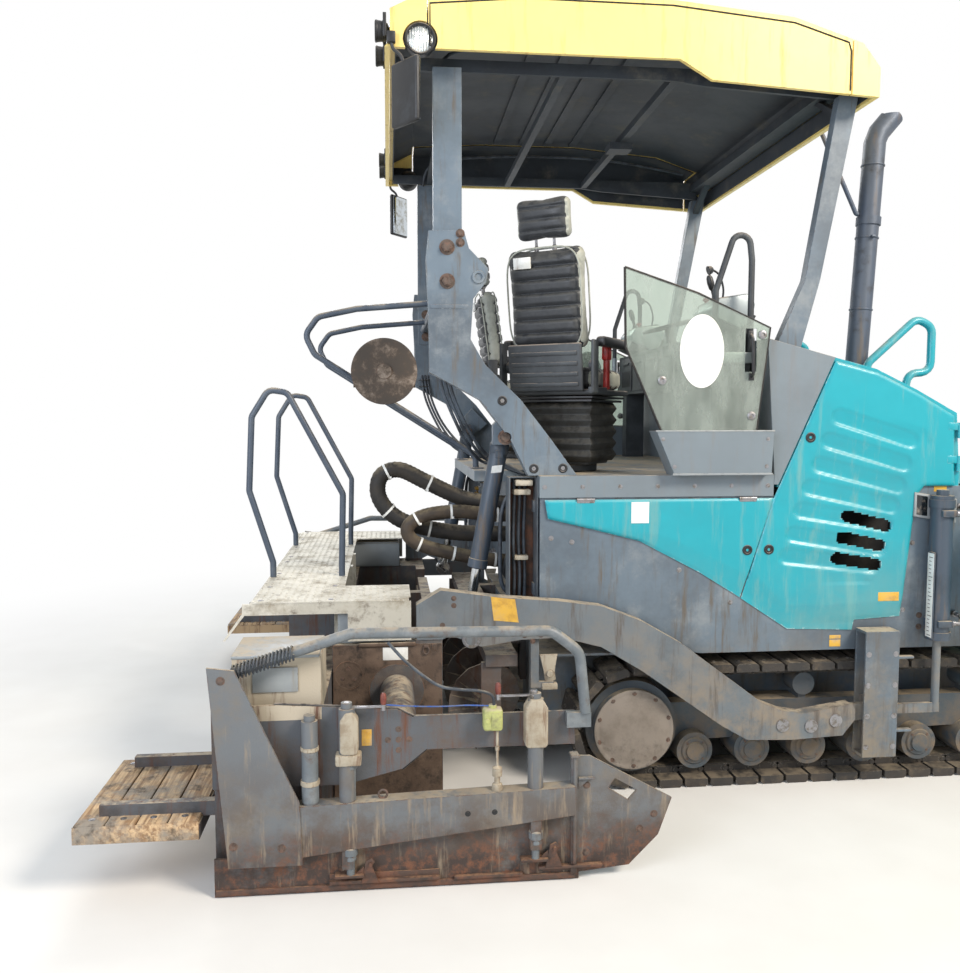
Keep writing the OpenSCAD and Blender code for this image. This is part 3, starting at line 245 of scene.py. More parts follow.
def make_finishes():
    """Every finish of the machine, named for its stuff and how it was made."""
    c = colours()
    # Two-coat machine enamel: deep and glossy, filmed with dust, thin at the corners; the pale
    # colour along its edges is partly a painted highlight
    layered("teal_enamel", c.teal, 0.34,
            [("#2b8f9c", "all", 0.3, 1.1, 0.42), ("#6fa5a3", "up", 0.55, 0.5, 0.65),
             (SAND, "up", 0.2, 0.22, 0.8), ("#6b8f8d", 1.3, 0.4, 0.5, 0.7),
             ("#5f9a9c", "streak", 0.16, 0.09, 0.55),
             ("#a9c4c2", "edge", 0.3, 0.05, 0.5)], tint=0.05, grain=0.0003, coat=0.15)
    # One-coat chassis enamel: satin, greyed by fine dust, brown where water ran from seams
    layered("blue_grey_enamel", c.blue_grey, 0.42,
            [("#505a63", "all", 0.4, 0.9, 0.48), ("#7d8488", "all", 0.18, 0.3, 0.6),
             (SAND, "up", 0.7, 0.2, 0.85), ("#7c7467", 0.9, 0.42, 0.22, 0.8),
             ("#5c564e", "streak", 0.14, 0.05, 0.65), (RUST, "edge", 0.22, 0.03, 0.8),
             ("#8b949a", "edge", 0.3, 0.02, 0.5)], tint=0.06, grain=0.0003)
    # The same enamel on the tow arms, thick with road dust below
    layered("arm_enamel", "#676f74", 0.46,
            [("#565c60", "all", 0.4, 0.5, 0.5), (SAND, "up", 0.72, 0.15, 0.9),
             ("#847a6c", 1.1, 0.44, 0.18, 0.85), ("#57504a", "streak", 0.18, 0.05, 0.7),
             (RUST, "edge", 0.32, 0.02, 0.8)], tint=0.06, grain=0.0004)
    # Sprayed machine enamel of cowl and platform: mid grey, satin, sandy dust on its flats
    layered("cowl_enamel", c.grey, 0.45,
            [("#6c757b", "all", 0.35, 0.6, 0.5), (SAND, "up", 0.65, 0.25, 0.85),
             ("#74777a", "streak", 0.16, 0.08, 0.6), ("#4a4e52", "edge", 0.24, 0.03, 0.5)],
            tint=0.04, grain=0.0003)
    # Pale grey box sides of the platform
    layered("pale_grey_enamel", "#8b9194", 0.45,
            [("#9a9f9f", "all", 0.35, 0.5, 0.5), (SAND, "up", 0.6, 0.2, 0.8),
             ("#8b8b86", "streak", 0.16, 0.06, 0.6), ("#4c5256", "edge", 0.3, 0.03, 0.5)],
            tint=0.03, grain=0.0003)
    # Roof: moulded plastic skin under yellow enamel, chalked by sun, specked by insects
    layered("roof_yellow_enamel", c.yellow, 0.4,
            [("#ecd488", "all", 0.35, 1.2, 0.45), (CHALK, "up", 0.3, 0.4, 0.7),
             ("#c9ac66", "streak", 0.1, 0.06, 0.6), ("#7b6a3f", "all", -0.28, 0.012, 0.7),
             ("#8d7c52", "edge", 0.24, 0.03, 0.6)], tint=0.03, grain=0.0003, coat=0.1)
    # Dark textured liner under the roof: soft sheen, dust in the grain
    layered("roof_liner_dark", "#343b42", 0.6,
            [("#272c32", "all", 0.4, 0.5, 0.6), ("#595852", "all", 0.1, 0.2, 0.8),
             (DUST, "up", 0.5, 0.2, 0.9)], tint=0.1, grain=0.0005)
    # Hot-rolled steel of the screed: dull grey-brown, bitumen-stained, rust along its edges
    layered("screed_steel", "#4e4f50", 0.6,
            [("#594a41", "all", 0.45, 0.35, 0.72), ("#6b625a", "all", 0.22, 0.1, 0.7),
             (TAR, 0.55, 0.46, 0.14, 0.5), (SAND, "up", 0.62, 0.1, 0.9),
             (RUST, "streak", 0.2, 0.05, 0.8), ("#6f4a34", "edge", 0.3, 0.03, 0.85)],
            tint=0.08, grain=0.001, grain_size=0.006)
    # The extension carries a pale cabinet and a plank to step on
    layered("extension_steel", "#53565a", 0.58,
            [("#5b4f47", "all", 0.4, 0.3, 0.72), (TAR, 0.5, 0.44, 0.14, 0.5),
             ("#b3a894", ((-2.69, 1.0, 0.7), (-2.325, 2.0, 0.945)), 3.0, 0.5, 0.6),
             ("#b09470", ((-3.29, 1.3, 0.245), (-2.802, 2.05, 0.315)), 3.0, 0.5, 0.8),
             (SAND, "up", 0.55, 0.1, 0.9), (RUST, "streak", 0.18, 0.05, 0.8),
             ("#6f4a34", "edge", 0.34, 0.03, 0.85)], tint=0.08, grain=0.001, grain_size=0.006)
    # Brown end wall: primer and baked bitumen film
    layered("heat_browned_steel", "#57473b", 0.6,
            [("#6b594b", "all", 0.35, 0.16, 0.7), (TAR, "all", 0.16, 0.06, 0.5),
             (SAND, "up", 0.62, 0.08, 0.9), ("#86624a", "edge", 0.4, 0.03, 0.85)],
            tint=0.1, grain=0.001, grain_size=0.006)
    # Side gate: grey enamel above, worn to brown steel where it slides through asphalt
    layered("gate_enamel", "#63676a", 0.5,
            [("#70695f", "all", 0.26, 0.3, 0.65), (SAND, "up", 0.62, 0.1, 0.9),
             ("#574c43", 0.62, 0.5, 0.2, 0.75), ("#3a2f2a", 0.3, 0.85, 0.25, 0.7),
             ("#6f4a36", 0.3, 0.3, 0.04, 0.85), (RUST, "edge", 0.4, 0.03, 0.85),
             ("#8e7f6b", "streak", 0.1, 0.05, 0.75)], tint=0.06, grain=0.001, grain_size=0.006)
    # Rail tube: enamel rubbed by hands and gloves
    layered("rail_enamel", "#62696d", 0.42,
            [("#787d7f", "all", 0.3, 0.12, 0.45), (SAND, "up", 0.5, 0.1, 0.85),
             ("#5b5048", "all", 0.1, 0.05, 0.7)], tint=0.06, grain=0.0003)
    # Bent tube dipped in dark enamel: a soft sheen that follows the tube
    layered("loop_rail_enamel", "#3f4a58", 0.4,
            [("#535c66", "all", 0.3, 0.2, 0.5), (SAND, "up", 0.55, 0.1, 0.85)],
            tint=0.06, grain=0.0003)
    # Forged and cast track parts: near black, dry mud rubbed into them, bright where they run
    layered("track_cast_steel", "#2b2a29", 0.6,
            [("#3d3833", "all", 0.5, 0.3, 0.85), ("#5f5547", "all", 0.16, 0.1, 0.95),
             ("#756a59", "up", 0.6, 0.08, 0.95), ("#77736b", "edge", 0.3, 0.02, 0.4)],
            tint=0.12, grain=0.002, grain_size=0.008)
    # Enamelled weldments between the tracks: dull, splashed with mud up to the axle
    layered("track_frame_enamel", "#3f4a52", 0.5,
            [("#4f5152", "all", 0.4, 0.3, 0.7), (MUD, 0.5, 0.46, 0.12, 0.9),
             ("#8d7f69", "up", 0.8, 0.1, 0.95)], tint=0.08, grain=0.001, grain_size=0.006)
    # Cast cover of the final drive: beige primer under dust, oily low down
    layered("roller_cover_enamel", "#837a70", 0.55,
            [("#6e655b", "all", 0.35, 0.22, 0.7), (TAR, 0.35, 0.14, 0.05, 0.6),
             (SAND, "up", 0.75, 0.08, 0.9), ("#5a4636", "edge", 0.3, 0.03, 0.8)], tint=0.06)
    # Sand-cast iron: matt, near black, oily dust in its hollows
    layered("cast_engine_iron", "#2a2c2e", 0.6,
            [("#4a4640", "all", 0.4, 0.2, 0.8), (DUST, "up", 0.6, 0.1, 0.9)], tint=0.15)
    # Heat-tinted steel tube: grey with a blue cast, matt
    layered("exhaust_tube_steel", "#565e69", 0.5,
            [("#465264", "streak", 0.4, 0.3, 0.45), ("#6c6259", "streak", 0.14, 0.08, 0.65),
             ("#3d3d3f", "all", 0.12, 0.1, 0.6)], metallic=0.35, tint=0.06, grain=0.0004)
    # Injection-moulded dark plastic: fine grain, even sheen, dust on the flats
    layered("console_plastic", "#303438", 0.5,
            [("#44494c", "all", 0.3, 0.25, 0.55), (DUST, "up", 0.6, 0.1, 0.85),
             ("#6b675d", "edge", 0.25, 0.03, 0.7)], tint=0.08, grain=0.0006, grain_size=0.002)
    # Smooth moulded plastic of lamps, locks and grips: black with a low gloss
    layered("black_plastic", "#1b1c1e", 0.42,
            [("#2e3134", "all", 0.3, 0.16, 0.5), (DUST, "up", 0.55, 0.08, 0.85)],
            tint=0.1, grain=0.0005, grain_size=0.002)
    # Silver lacquer of the control panels, finely speckled
    layered("silver_lacquer", "#9aa4a7", 0.38,
            [("#b3babb", "all", 0.35, 0.2, 0.4), (SAND, "up", 0.45, 0.1, 0.8)],
            metallic=0.25, tint=0.05, grain=0.0003, grain_size=0.002)
    # Enamelled sheet reel worn to the metal: brown, matt, rusty at its rims
    layered("reel_enamel", "#433b33", 0.7,
            [("#5c4a3a", "all", 0.35, 0.12, 0.8), (DUST, "all", 0.14, 0.12, 0.9),
             (RUST, "edge", 0.4, 0.03, 0.85)], tint=0.1, grain=0.001)
    # Scoured steel of conveyor, rollers and hopper floor
    layered("scoured_steel", "#7a7876", 0.4,
            [("#4f463e", "all", 0.36, 0.2, 0.7), (TAR, "all", 0.12, 0.07, 0.5),
             (RUST, "edge", 0.25, 0.04, 0.8)], metallic=0.6, tint=0.08, grain=0.0008)
    # Sprayed enamel on a honed barrel: smooth blue-black under oil and dust
    layered("cylinder_enamel", "#424e5b", 0.38,
            [("#39434d", "all", 0.3, 0.3, 0.5), (SAND, "up", 0.6, 0.08, 0.85),
             ("#6b5d4e", "streak", 0.12, 0.04, 0.7), ("#7a7265", 0.9, 0.35, 0.12, 0.85)],
            tint=0.06, grain=0.0003)
    # Hard chrome: mirror-like with an oil film that holds dust
    layered("hard_chrome", "#c9ccce", 0.1,
            [("#8b8678", "streak", 0.24, 0.05, 0.45)], metallic=1.0, tint=0.03, grain=0.0001)
    # Galvanised tread plate, walked dull and dusty
    layered("tread_plate_zinc", "#b9b5a8", 0.55,
            [("#cdc9bc", "all", 0.45, 0.4, 0.65), ("#99907e", "all", 0.22, 0.15, 0.85),
             ("#6b6155", "all", 0.04, 0.06, 0.85), ("#dddad0", "edge", 0.4, 0.03, 0.4)],
            metallic=0.2, tint=0.04, grain=0.0006)
    # Plain steel heads gone to red-brown rust
    layered("rusted_bolt_steel", "#5c5048", 0.7,
            [("#74584a", "all", 0.35, 0.03, 0.75), ("#43352d", "all", 0.25, 0.02, 0.8)],
            metallic=0.15, tint=0.12, grain=0.0008, grain_size=0.003)
    # Skid irons and claws that drag through asphalt: rust under a film of tar
    layered("rusted_skid_iron", "#4a3a32", 0.7,
            [("#6d4937", "all", 0.45, 0.08, 0.85), (TAR, "all", 0.2, 0.06, 0.5),
             ("#8a6a50", "up", 0.5, 0.05, 0.9)], tint=0.12, grain=0.0008)
    # Turned plastic grips of the cranks, dull from gloves
    layered("oxblood_grip", "#6a332a", 0.5,
            [("#83483a", "all", 0.35, 0.03, 0.6), ("#3c241f", "all", 0.15, 0.02, 0.7)],
            tint=0.08, grain=0.0003)
    # Moulded clamps of pale plastic, yellowed and dusty
    layered("weathered_clamp", "#b5ad9c", 0.6,
            [("#938a78", "all", 0.35, 0.04, 0.75), (SAND, "up", 0.6, 0.03, 0.9)], tint=0.06)
    # Zinc-plated steel fittings: pale metal gloss dulled by grime
    layered("zinc_bolt_steel", "#96969a", 0.35,
            [("#6e675c", "all", 0.35, 0.03, 0.7)], metallic=0.8, tint=0.08, grain=0.0003)
    # Turned brass unions: warm metal with brown tarnish
    layered("brass_fitting", "#b08d45", 0.32,
            [("#7a6238", "all", 0.35, 0.02, 0.6)], metallic=0.9, tint=0.08, grain=0.0002)
    # Spindle housings: beige enamel, brown round their seams
    layered("beige_housing_enamel", "#a39a88", 0.55,
            [("#8b7d69", "all", 0.3, 0.08, 0.75), ("#6f5641", "streak", 0.16, 0.03, 0.8),
             (SAND, "up", 0.7, 0.05, 0.9), ("#5a4a3c", "edge", 0.4, 0.02, 0.8)],
            tint=0.05, grain=0.0006)
    # Printed film with nothing on it: flat yellow, faded, splashed low down
    layered("label_yellow_film", "#d3a63f", 0.4,
            [("#b78c39", "all", 0.3, 0.05, 0.6), (DUST, 1.2, 0.3, 0.08, 0.8)], tint=0.04)
    # The same film in white: smooth, with faint grey runs
    layered("label_white_film", "#e9e9e4", 0.35,
            [("#d6d5cd", "all", 0.25, 0.12, 0.5), (DUST, "streak", 0.05, 0.05, 0.8)], tint=0.02)
    # Extruded rubber: deep matt black, dust on its upper side
    layered("rubber_seal", "#151515", 0.7,
            [("#2f2c28", "all", 0.35, 0.08, 0.85), (DUST, "up", 0.5, 0.04, 0.9)], tint=0.1)
    # Rubber hose in a wrapped sleeve: black, greyed by dust on top
    layered("sleeve_rubber", "#1d1c1b", 0.62,
            [("#35302a", "all", 0.45, 0.1, 0.8), ("#857a66", "up", 0.6, 0.06, 0.9)],
            tint=0.12, grain=0.0012, grain_size=0.004)
    # Rubber hose caked with brown road dust: no gloss left
    layered("dusty_hose_rubber", "#332b23", 0.66,
            [("#4c4135", "all", 0.45, 0.1, 0.85), ("#85785f", "up", 0.6, 0.06, 0.92)],
            tint=0.12, grain=0.0008, grain_size=0.003)
    # Thin hydraulic hose: smooth black rubber, blue-grey with dust
    layered("line_hose_rubber", "#2b2f35", 0.5,
            [("#4a535d", "all", 0.45, 0.12, 0.6), ("#8a8475", "up", 0.5, 0.05, 0.9)],
            tint=0.1, grain=0.0004, grain_size=0.003)
    # Drawn steel tube under thin grey paint: satin, dusty above
    layered("steel_tube_paint", "#525a61", 0.45,
            [("#6c6f70", "all", 0.35, 0.1, 0.6), (SAND, "up", 0.55, 0.05, 0.9)],
            tint=0.08, grain=0.0003)
    # Moulded rubber folds: matt, with dust lying on each fold
    layered("bellows_rubber", "#303130", 0.6,
            [("#6d675b", "up", 0.65, 0.06, 0.9), ("#26241f", "all", 0.4, 0.08, 0.7)], tint=0.1)
    # Moulded red plastic of stop button and buckle: glossy, scuffed darker
    layered("red_plastic", "#a3261e", 0.35, [("#6e241c", "all", 0.3, 0.02, 0.5)], tint=0.1)
    # Extruded cable sheath: even blue, slightly dulled
    layered("blue_cable_pvc", "#31559a", 0.45, [("#5a6378", "all", 0.35, 0.02, 0.7)], tint=0.1)
    # Moulded housing of the sensor: yellow-green, sun-faded, dusty on top
    layered("sensor_housing", "#a9ad6b", 0.45,
            [("#8a8a5e", "all", 0.3, 0.04, 0.6), (SAND, "up", 0.6, 0.03, 0.9)], tint=0.06)
    # Coated glass over a dark display: sharp gloss with a little dust
    layered("display_glass", "#12181c", 0.12,
            [(DUST, "all", 0.1, 0.08, 0.7)], tint=0.05, grain=0.0001, coat=0.5)
    vinyl("seat_vinyl_black", "#24272b", "#4c4b46")
    vinyl("seat_vinyl_grey", "#90938a", "#a8a592")
    plank("sawn_step_plank")
    safety_glass("tinted_safety_glass")
    lamp_glass("pressed_lamp_glass")
    mirror("silvered_mirror")


def vinyl(name, shade, dust):
    """Calendered vinyl: leather-like grain of about 2 mm, soft sheen, dust rubbed into it."""
    tree = new_finish(name)
    place = add(tree, "ShaderNodeTexCoord").outputs["Object"]
    normal = add(tree, "ShaderNodeNewGeometry").outputs["Normal"]
    up = add(tree, "ShaderNodeSeparateXYZ", {0: normal}).outputs["Z"]
    cells = add(tree, "ShaderNodeTexVoronoi", {"Vector": place, "Scale": 420},
                feature="DISTANCE_TO_EDGE").outputs["Distance"]
    folds = add(tree, "ShaderNodeTexNoise", {"Vector": place, "Scale": 40, "Detail": 4}
                ).outputs["Fac"]
    worn = blotch(tree, place, 0.1, 0.4)
    settled = add(tree, "ShaderNodeMath",
                  {0: blotch(tree, place, 0.05, 0.62),
                   1: add(tree, "ShaderNodeMapRange",
                          {"Value": up, "From Min": -0.3, "From Max": 0.9}).outputs[0]},
                  operation="MULTIPLY").outputs[0]
    first = add(tree, "ShaderNodeMix",
                {0: worn, 6: linear(shade), 7: [c * 1.5 for c in linear(shade)[:3]] + [1]},
                data_type="RGBA")
    colour = add(tree, "ShaderNodeMix", {0: settled, 6: first.outputs[2], 7: linear(dust)},
                 data_type="RGBA").outputs[2]
    grain = add(tree, "ShaderNodeBump", {"Height": cells, "Distance": 0.0004, "Strength": 0.6})
    soft = add(tree, "ShaderNodeBump", {"Height": folds, "Distance": 0.003, "Strength": 0.35,
                                        "Normal": grain.outputs[0]})
    gloss = add(tree, "ShaderNodeMapRange",
                {"Value": worn, "To Min": 0.42, "To Max": 0.62}).outputs[0]
    shader = add(tree, "ShaderNodeBsdfPrincipled",
                 {"Base Color": colour, "Roughness": gloss, "Normal": soft.outputs[0],
                  "Sheen Weight": 0.15, "Sheen Roughness": 0.5})
    close(tree, shader)


def plank(name):
    """Sawn softwood: growth rings drawn along Y, greyed and scuffed by boots."""
    tree = new_finish(name)
    place = add(tree, "ShaderNodeTexCoord").outputs["Object"]
    along = add(tree, "ShaderNodeMapping", {"Vector": place, "Scale": (1, 0.06, 1)})
    rings = add(tree, "ShaderNodeTexNoise",
                {"Vector": along.outputs[0], "Scale": 70, "Detail": 6, "Distortion": 0.6}
                ).outputs["Fac"]
    band = add(tree, "ShaderNodeMapRange",
               {"Value": rings, "From Min": 0.38, "From Max": 0.62}).outputs[0]
    wood = add(tree, "ShaderNodeMix",
               {0: band, 6: linear("#8d6f50"), 7: linear("#c9ab84")}, data_type="RGBA")
    grey = add(tree, "ShaderNodeMix",
               {0: blotch(tree, place, 0.15, 0.4), 6: wood.outputs[2], 7: linear("#8c8376")},
               data_type="RGBA")
    tar = add(tree, "ShaderNodeMix",
              {0: blotch(tree, place, 0.07, 0.16), 6: grey.outputs[2], 7: linear("#3a322a")},
              data_type="RGBA")
    bump = add(tree, "ShaderNodeBump", {"Height": rings, "Distance": 0.0025})
    shader = add(tree, "ShaderNodeBsdfPrincipled",
                 {"Base Color": tar.outputs[2], "Roughness": 0.82, "Normal": bump.outputs[0]})
    close(tree, shader)


def safety_glass(name):
    """Laminated safety glass: clear pale green, smeared and dusty, so that light scatters."""
    tree = new_finish(name)
    place = add(tree, "ShaderNodeTexCoord").outputs["Object"]
    smear = add(tree, "ShaderNodeMapping", {"Vector": place, "Scale": (1, 1, 0.35)})
    film = blotch(tree, smear.outputs[0], 0.12, 0.45, 0.2)
    share = add(tree, "ShaderNodeMapRange",
                {"Value": film, "To Min": 0.2, "To Max": 0.4}).outputs[0]
    clear = add(tree, "ShaderNodeBsdfTransparent", {"Color": linear("#dfe8e0")})
    shine = add(tree, "ShaderNodeBsdfPrincipled",
                {"Base Color": linear("#c3cdc3"), "Roughness": 0.18, "Specular IOR Level": 0.6})
    body = add(tree, "ShaderNodeMixShader", {0: share, 1: clear.outputs[0], 2: shine.outputs[0]})
    edge = add(tree, "ShaderNodeFresnel", {"IOR": 1.45})
    gloss = add(tree, "ShaderNodeBsdfGlossy", {"Roughness": 0.08})
    whole = add(tree, "ShaderNodeMixShader",
                {0: edge.outputs[0], 1: body.outputs[0], 2: gloss.outputs[0]})
    close(tree, whole)


def lamp_glass(name):
    """Pressed glass over a reflector: ribbed, bright and a little milky."""
    tree = new_finish(name)
    place = add(tree, "ShaderNodeTexCoord").outputs["Object"]
    ribs = add(tree, "ShaderNodeTexWave", {"Vector": place, "Scale": 26, "Distortion": 1.2})
    dust = blotch(tree, place, 0.03, 0.35)
    colour = add(tree, "ShaderNodeMix",
                 {0: dust, 6: linear("#b9bfbe"), 7: linear("#d9d6cb")}, data_type="RGBA")
    bump = add(tree, "ShaderNodeBump", {"Height": ribs.outputs["Fac"], "Distance": 0.002})
    rough = add(tree, "ShaderNodeMapRange", {"Value": dust, "To Min": 0.12, "To Max": 0.5})
    shader = add(tree, "ShaderNodeBsdfPrincipled",
                 {"Base Color": colour.outputs[2], "Roughness": rough.outputs[0],
                  "Metallic": 0.6, "Normal": bump.outputs[0]})
    close(tree, shader)


def mirror(name):
    """Silvered convex mirror with a film of dust."""
    tree = new_finish(name)
    place = add(tree, "ShaderNodeTexCoord").outputs["Object"]
    dust = blotch(tree, place, 0.05, 0.35)
    rough = add(tree, "ShaderNodeMapRange", {"Value": dust, "To Min": 0.03, "To Max": 0.35})
    colour = add(tree, "ShaderNodeMix",
                 {0: dust, 6: linear("#c7ced3"), 7: linear("#9d9b92")}, data_type="RGBA")
    shader = add(tree, "ShaderNodeBsdfPrincipled",
                 {"Base Color": colour.outputs[2], "Roughness": rough.outputs[0], "Metallic": 1.0})
    close(tree, shader)


# Which finish each material slot of the record takes
SLOT_FINISH = {
    "frame_paint": "blue_grey_enamel", "track_steel": "track_frame_enamel",
    "shoe": "track_cast_steel", "teal_paint": "teal_enamel", "cowl_grey": "cowl_enamel",
    "engine_paint": "cast_engine_iron", "exhaust_steel": "exhaust_tube_steel",
    "platform_grey": "cowl_enamel", "console_dark": "console_plastic",
    "screen_glass": "tinted_safety_glass", "reel_brown": "reel_enamel",
    "worn_steel": "scoured_steel", "cylinder_grey": "cylinder_enamel",
    "roof_yellow": "roof_yellow_enamel", "roof_dark": "roof_liner_dark",
    "lamp_black": "black_plastic", "hose_rubber": "sleeve_rubber",
    "hose_dusty": "dusty_hose_rubber", "screed_steel": "screed_steel",
    "deck_plate": "tread_plate_zinc", "chrome_rod": "hard_chrome", "rail_grey": "rail_enamel",
    "gate_steel": "gate_enamel", "seat_grey": "console_plastic", "seat_vinyl": "seat_vinyl_black",
}
# CAD nodes that differ from the rest of their slot
NODE_FINISH = {
    "tow_arms": "arm_enamel", "platform_rails": "loop_rail_enamel",
    "screed_rails": "loop_rail_enamel", "screed_ext_right": "extension_steel",
    "screed_ext_left": "extension_steel", "tow_points": "arm_enamel",
}
# CAD nodes whose corners stay as they are: fine, glazed or replaced ones
UNROUNDED = {
    "tracks", "side_screens", "hose_black", "hose_brown", "auger_right", "auger_left",
    "engine_door_right", "engine_door_left", "service_flap_right", "service_flap_left",
    "seat_pan_right", "seat_pan_left", "seat_back_right", "seat_back_left", "platform_rails",
    "screed_rails", "gate_rail_right", "gate_rail_left",
}


def smooth_tree():
    """Geometry Nodes that weld loose faces and shade them smooth below an angle."""
    tree, given = new_tree("smooth_below_angle", ("Angle",), finish=None)
    weld = add(tree, "GeometryNodeMergeByDistance",
               {"Geometry": given["Geometry"], "Distance": 1e-5})
    soft = add(tree, "GeometryNodeSetShadeSmooth",
               {"Geometry": weld.outputs[0], "Shade Smooth": True}, domain="FACE")
    bend = add(tree, "GeometryNodeInputMeshEdgeAngle")
    sharp = add(tree, "FunctionNodeCompare",
                {0: bend.outputs["Unsigned Angle"], 1: given["Angle"]},
                data_type="FLOAT", operation="GREATER_THAN")
    hard = add(tree, "GeometryNodeSetShadeSmooth",
               {"Geometry": soft.outputs[0], "Selection": sharp.outputs[0],
                "Shade Smooth": False}, domain="EDGE")
    add(tree, "NodeGroupOutput", {0: hard.outputs[0]})
    return tree


def socket_id(tree, name):
    """The identifier by which a modifier sets a tree's input."""
    return next(s.identifier for s in tree.interface.items_tree
                if s.name == name and s.in_out == "INPUT")


# ---------------------------------------------------------------- shapes
def turned_to(direction):
    """A turn that takes Z to a direction."""
    return Vector((0, 0, 1)).rotation_difference(Vector(direction).normalized()).to_matrix()


def ring_faces(bm, rings, closed):
    """Faces between each ring of corners and the next."""
    for a, b in zip(rings, rings[1:]):
        n = len(a)
        for k in range(n if closed else n - 1):
            bm.faces.new((a[k], a[(k + 1) % n], b[(k + 1) % n], b[k]))


def lathe(bm, at, along, profile, sides=24):
    """Turn a profile of (radius, height) round an axis that starts at a point."""
    turn, at = turned_to(along), Vector(at)
    rings = []
    for radius, height in profile:
        radius = max(radius, 1e-4)
        rings.append([bm.verts.new(at + turn @ Vector((
            radius * math.cos(math.tau * k / sides), radius * math.sin(math.tau * k / sides),
            height))) for k in range(sides)])
    ring_faces(bm, rings, True)
    bm.faces.new(rings[0])
    bm.faces.new(rings[-1])


def block(bm, low, high, soft=0.004, turn=None, steps=2):
    """A box between two corners with rounded edges, turned about its centre if asked."""
    low, high = Vector(low), Vector(high)
    middle, size = (low + high) / 2, high - low
    made = bmesh.ops.create_cube(bm, size=1)["verts"]
    for vert in made:
        vert.co = Vector(a * abs(b) for a, b in zip(vert.co, size))
    edges = list({e for v in made for e in v.link_edges})
    if soft:
        made = bmesh.ops.bevel(bm, geom=edges, offset=min(soft, min(map(abs, size)) * 0.45),
                               segments=steps, affect="EDGES", profile=0.5)["verts"]
    for vert in set(made):
        vert.co = middle + (turn @ vert.co if turn else vert.co)


def prism(bm, outline, low, high, soft=0.0, axis="y", steps=2):
    """An outline drawn out from low to high along Y, or X or Z."""
    def lift(p, depth):
        if axis == "y":
            return Vector((p[0], depth, p[1]))
        return Vector((depth, p[0], p[1])) if axis == "x" else Vector((p[0], p[1], depth))
    near = [bm.verts.new(lift(p, low)) for p in outline]
    far = [bm.verts.new(lift(p, high)) for p in outline]
    faces = [bm.faces.new(near), bm.faces.new(far)]
    n = len(outline)
    for k in range(n):
        faces.append(bm.faces.new((near[k], near[(k + 1) % n], far[(k + 1) % n], far[k])))
    if soft:
        edges = list({e for f in faces for e in f.edges})
        bmesh.ops.bevel(bm, geom=edges, offset=soft, segments=steps, affect="EDGES", profile=0.5)


def softened(points, steps=6):
    """A smooth line through points."""
    p = [Vector(q) for q in points]
    line = []
    for i in range(len(p) - 1):
        a, b, c, d = p[max(i - 1, 0)], p[i], p[i + 1], p[min(i + 2, len(p) - 1)]
        for j in range(steps):
            t = j / steps
            line.append(0.5 * (2 * b + (c - a) * t + (2 * a - 5 * b + 4 * c - d) * t * t
                               + (3 * b - a - 3 * c + d) * t ** 3))
    return line + [p[-1]]


def pipe(bm, points, radius, sides=12, ribs=None):
    """A tube along points. ribs(i) gives the radius at point i."""
    points = [Vector(q) for q in points]
    start = (points[1] - points[0]).normalized()
    side = start.orthogonal().normalized()
    rings, last = [], start
    for i, at in enumerate(points):
        way = points[min(i + 1, len(points) - 1)] - points[max(i - 1, 0)]
        way.normalize()
        side = last.rotation_difference(way) @ side
        last = way
        across = way.cross(side).normalized()
        r = ribs(i) if ribs else radius
        rings.append([bm.verts.new(at + r * (math.cos(math.tau * k / sides) * side
                                             + math.sin(math.tau * k / sides) * across))
                      for k in range(sides)])
    ring_faces(bm, rings, True)
    bm.faces.new(rings[0])
    bm.faces.new(rings[-1])


def piece(bm, name, body, finish, angle=38):
    """Close a bmesh into a piece that rides on a body and takes a finish."""
    bmesh.ops.remove_doubles(bm, verts=bm.verts, dist=1e-5)
    bmesh.ops.recalc_face_normals(bm, faces=bm.faces)
    mesh = bpy.data.meshes.new(name)
    bm.to_mesh(mesh)
    bm.free()
    return dress(mesh, name, body, finish, angle)


def dress(mesh, name, body, finish, angle=38):
    """Make a mesh an object that rides on a body, in a finish."""
    mesh.polygons.foreach_set("use_smooth", [True] * len(mesh.polygons))
    mesh.set_sharp_from_angle(angle=math.radians(angle))
    made = bpy.data.objects.new(name, mesh)
    bpy.context.scene.collection.objects.link(made)
    mesh.materials.clear()
    mesh.materials.append(FINISHES[finish])
    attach(made, body)
    return made


def grown(obj, tree, values):
    """Run a Geometry Nodes tree on an object and keep the result as its plain mesh."""
    modifier = obj.modifiers.new("grown", "NODES")
    modifier.node_group = tree
    for name, value in values.items():
        modifier[socket_id(tree, name)] = value
    bpy.context.view_layer.update()
    graph = bpy.context.evaluated_depsgraph_get()
    mesh = bpy.data.meshes.new_from_object(obj.evaluated_get(graph))
    bpy.data.objects.remove(obj)
    return mesh


def new_tree(name, sizes_asked, finish="Finish"):
    """A Geometry Nodes tree with named sizes and a finish, and the sockets of its input."""
    tree = bpy.data.node_groups.new(name, "GeometryNodeTree")
    kinds = {"Geometry": "Geometry", **dict.fromkeys(sizes_asked, "Float")}
    if finish:
        kinds[finish] = "Material"
    for socket, kind in kinds.items():
        tree.interface.new_socket(socket, in_out="INPUT", socket_type="NodeSocket" + kind)
    tree.interface.new_socket("Geometry", in_out="OUTPUT", socket_type="NodeSocketGeometry")
    return tree, add(tree, "NodeGroupInput").outputs


def end_on_points(tree, given, shape, **inputs):
    """Put a shape on each point and end the tree with real faces in the finish."""
    placed = add(tree, "GeometryNodeInstanceOnPoints",
                 {"Points": given["Geometry"], "Instance": shape, **inputs})
    real = add(tree, "GeometryNodeRealizeInstances", {0: placed.outputs[0]})
    done = add(tree, "GeometryNodeSetMaterial",
               {"Geometry": real.outputs[0], "Material": given["Finish"]})
    add(tree, "NodeGroupOutput", {0: done.outputs[0]})
    return tree


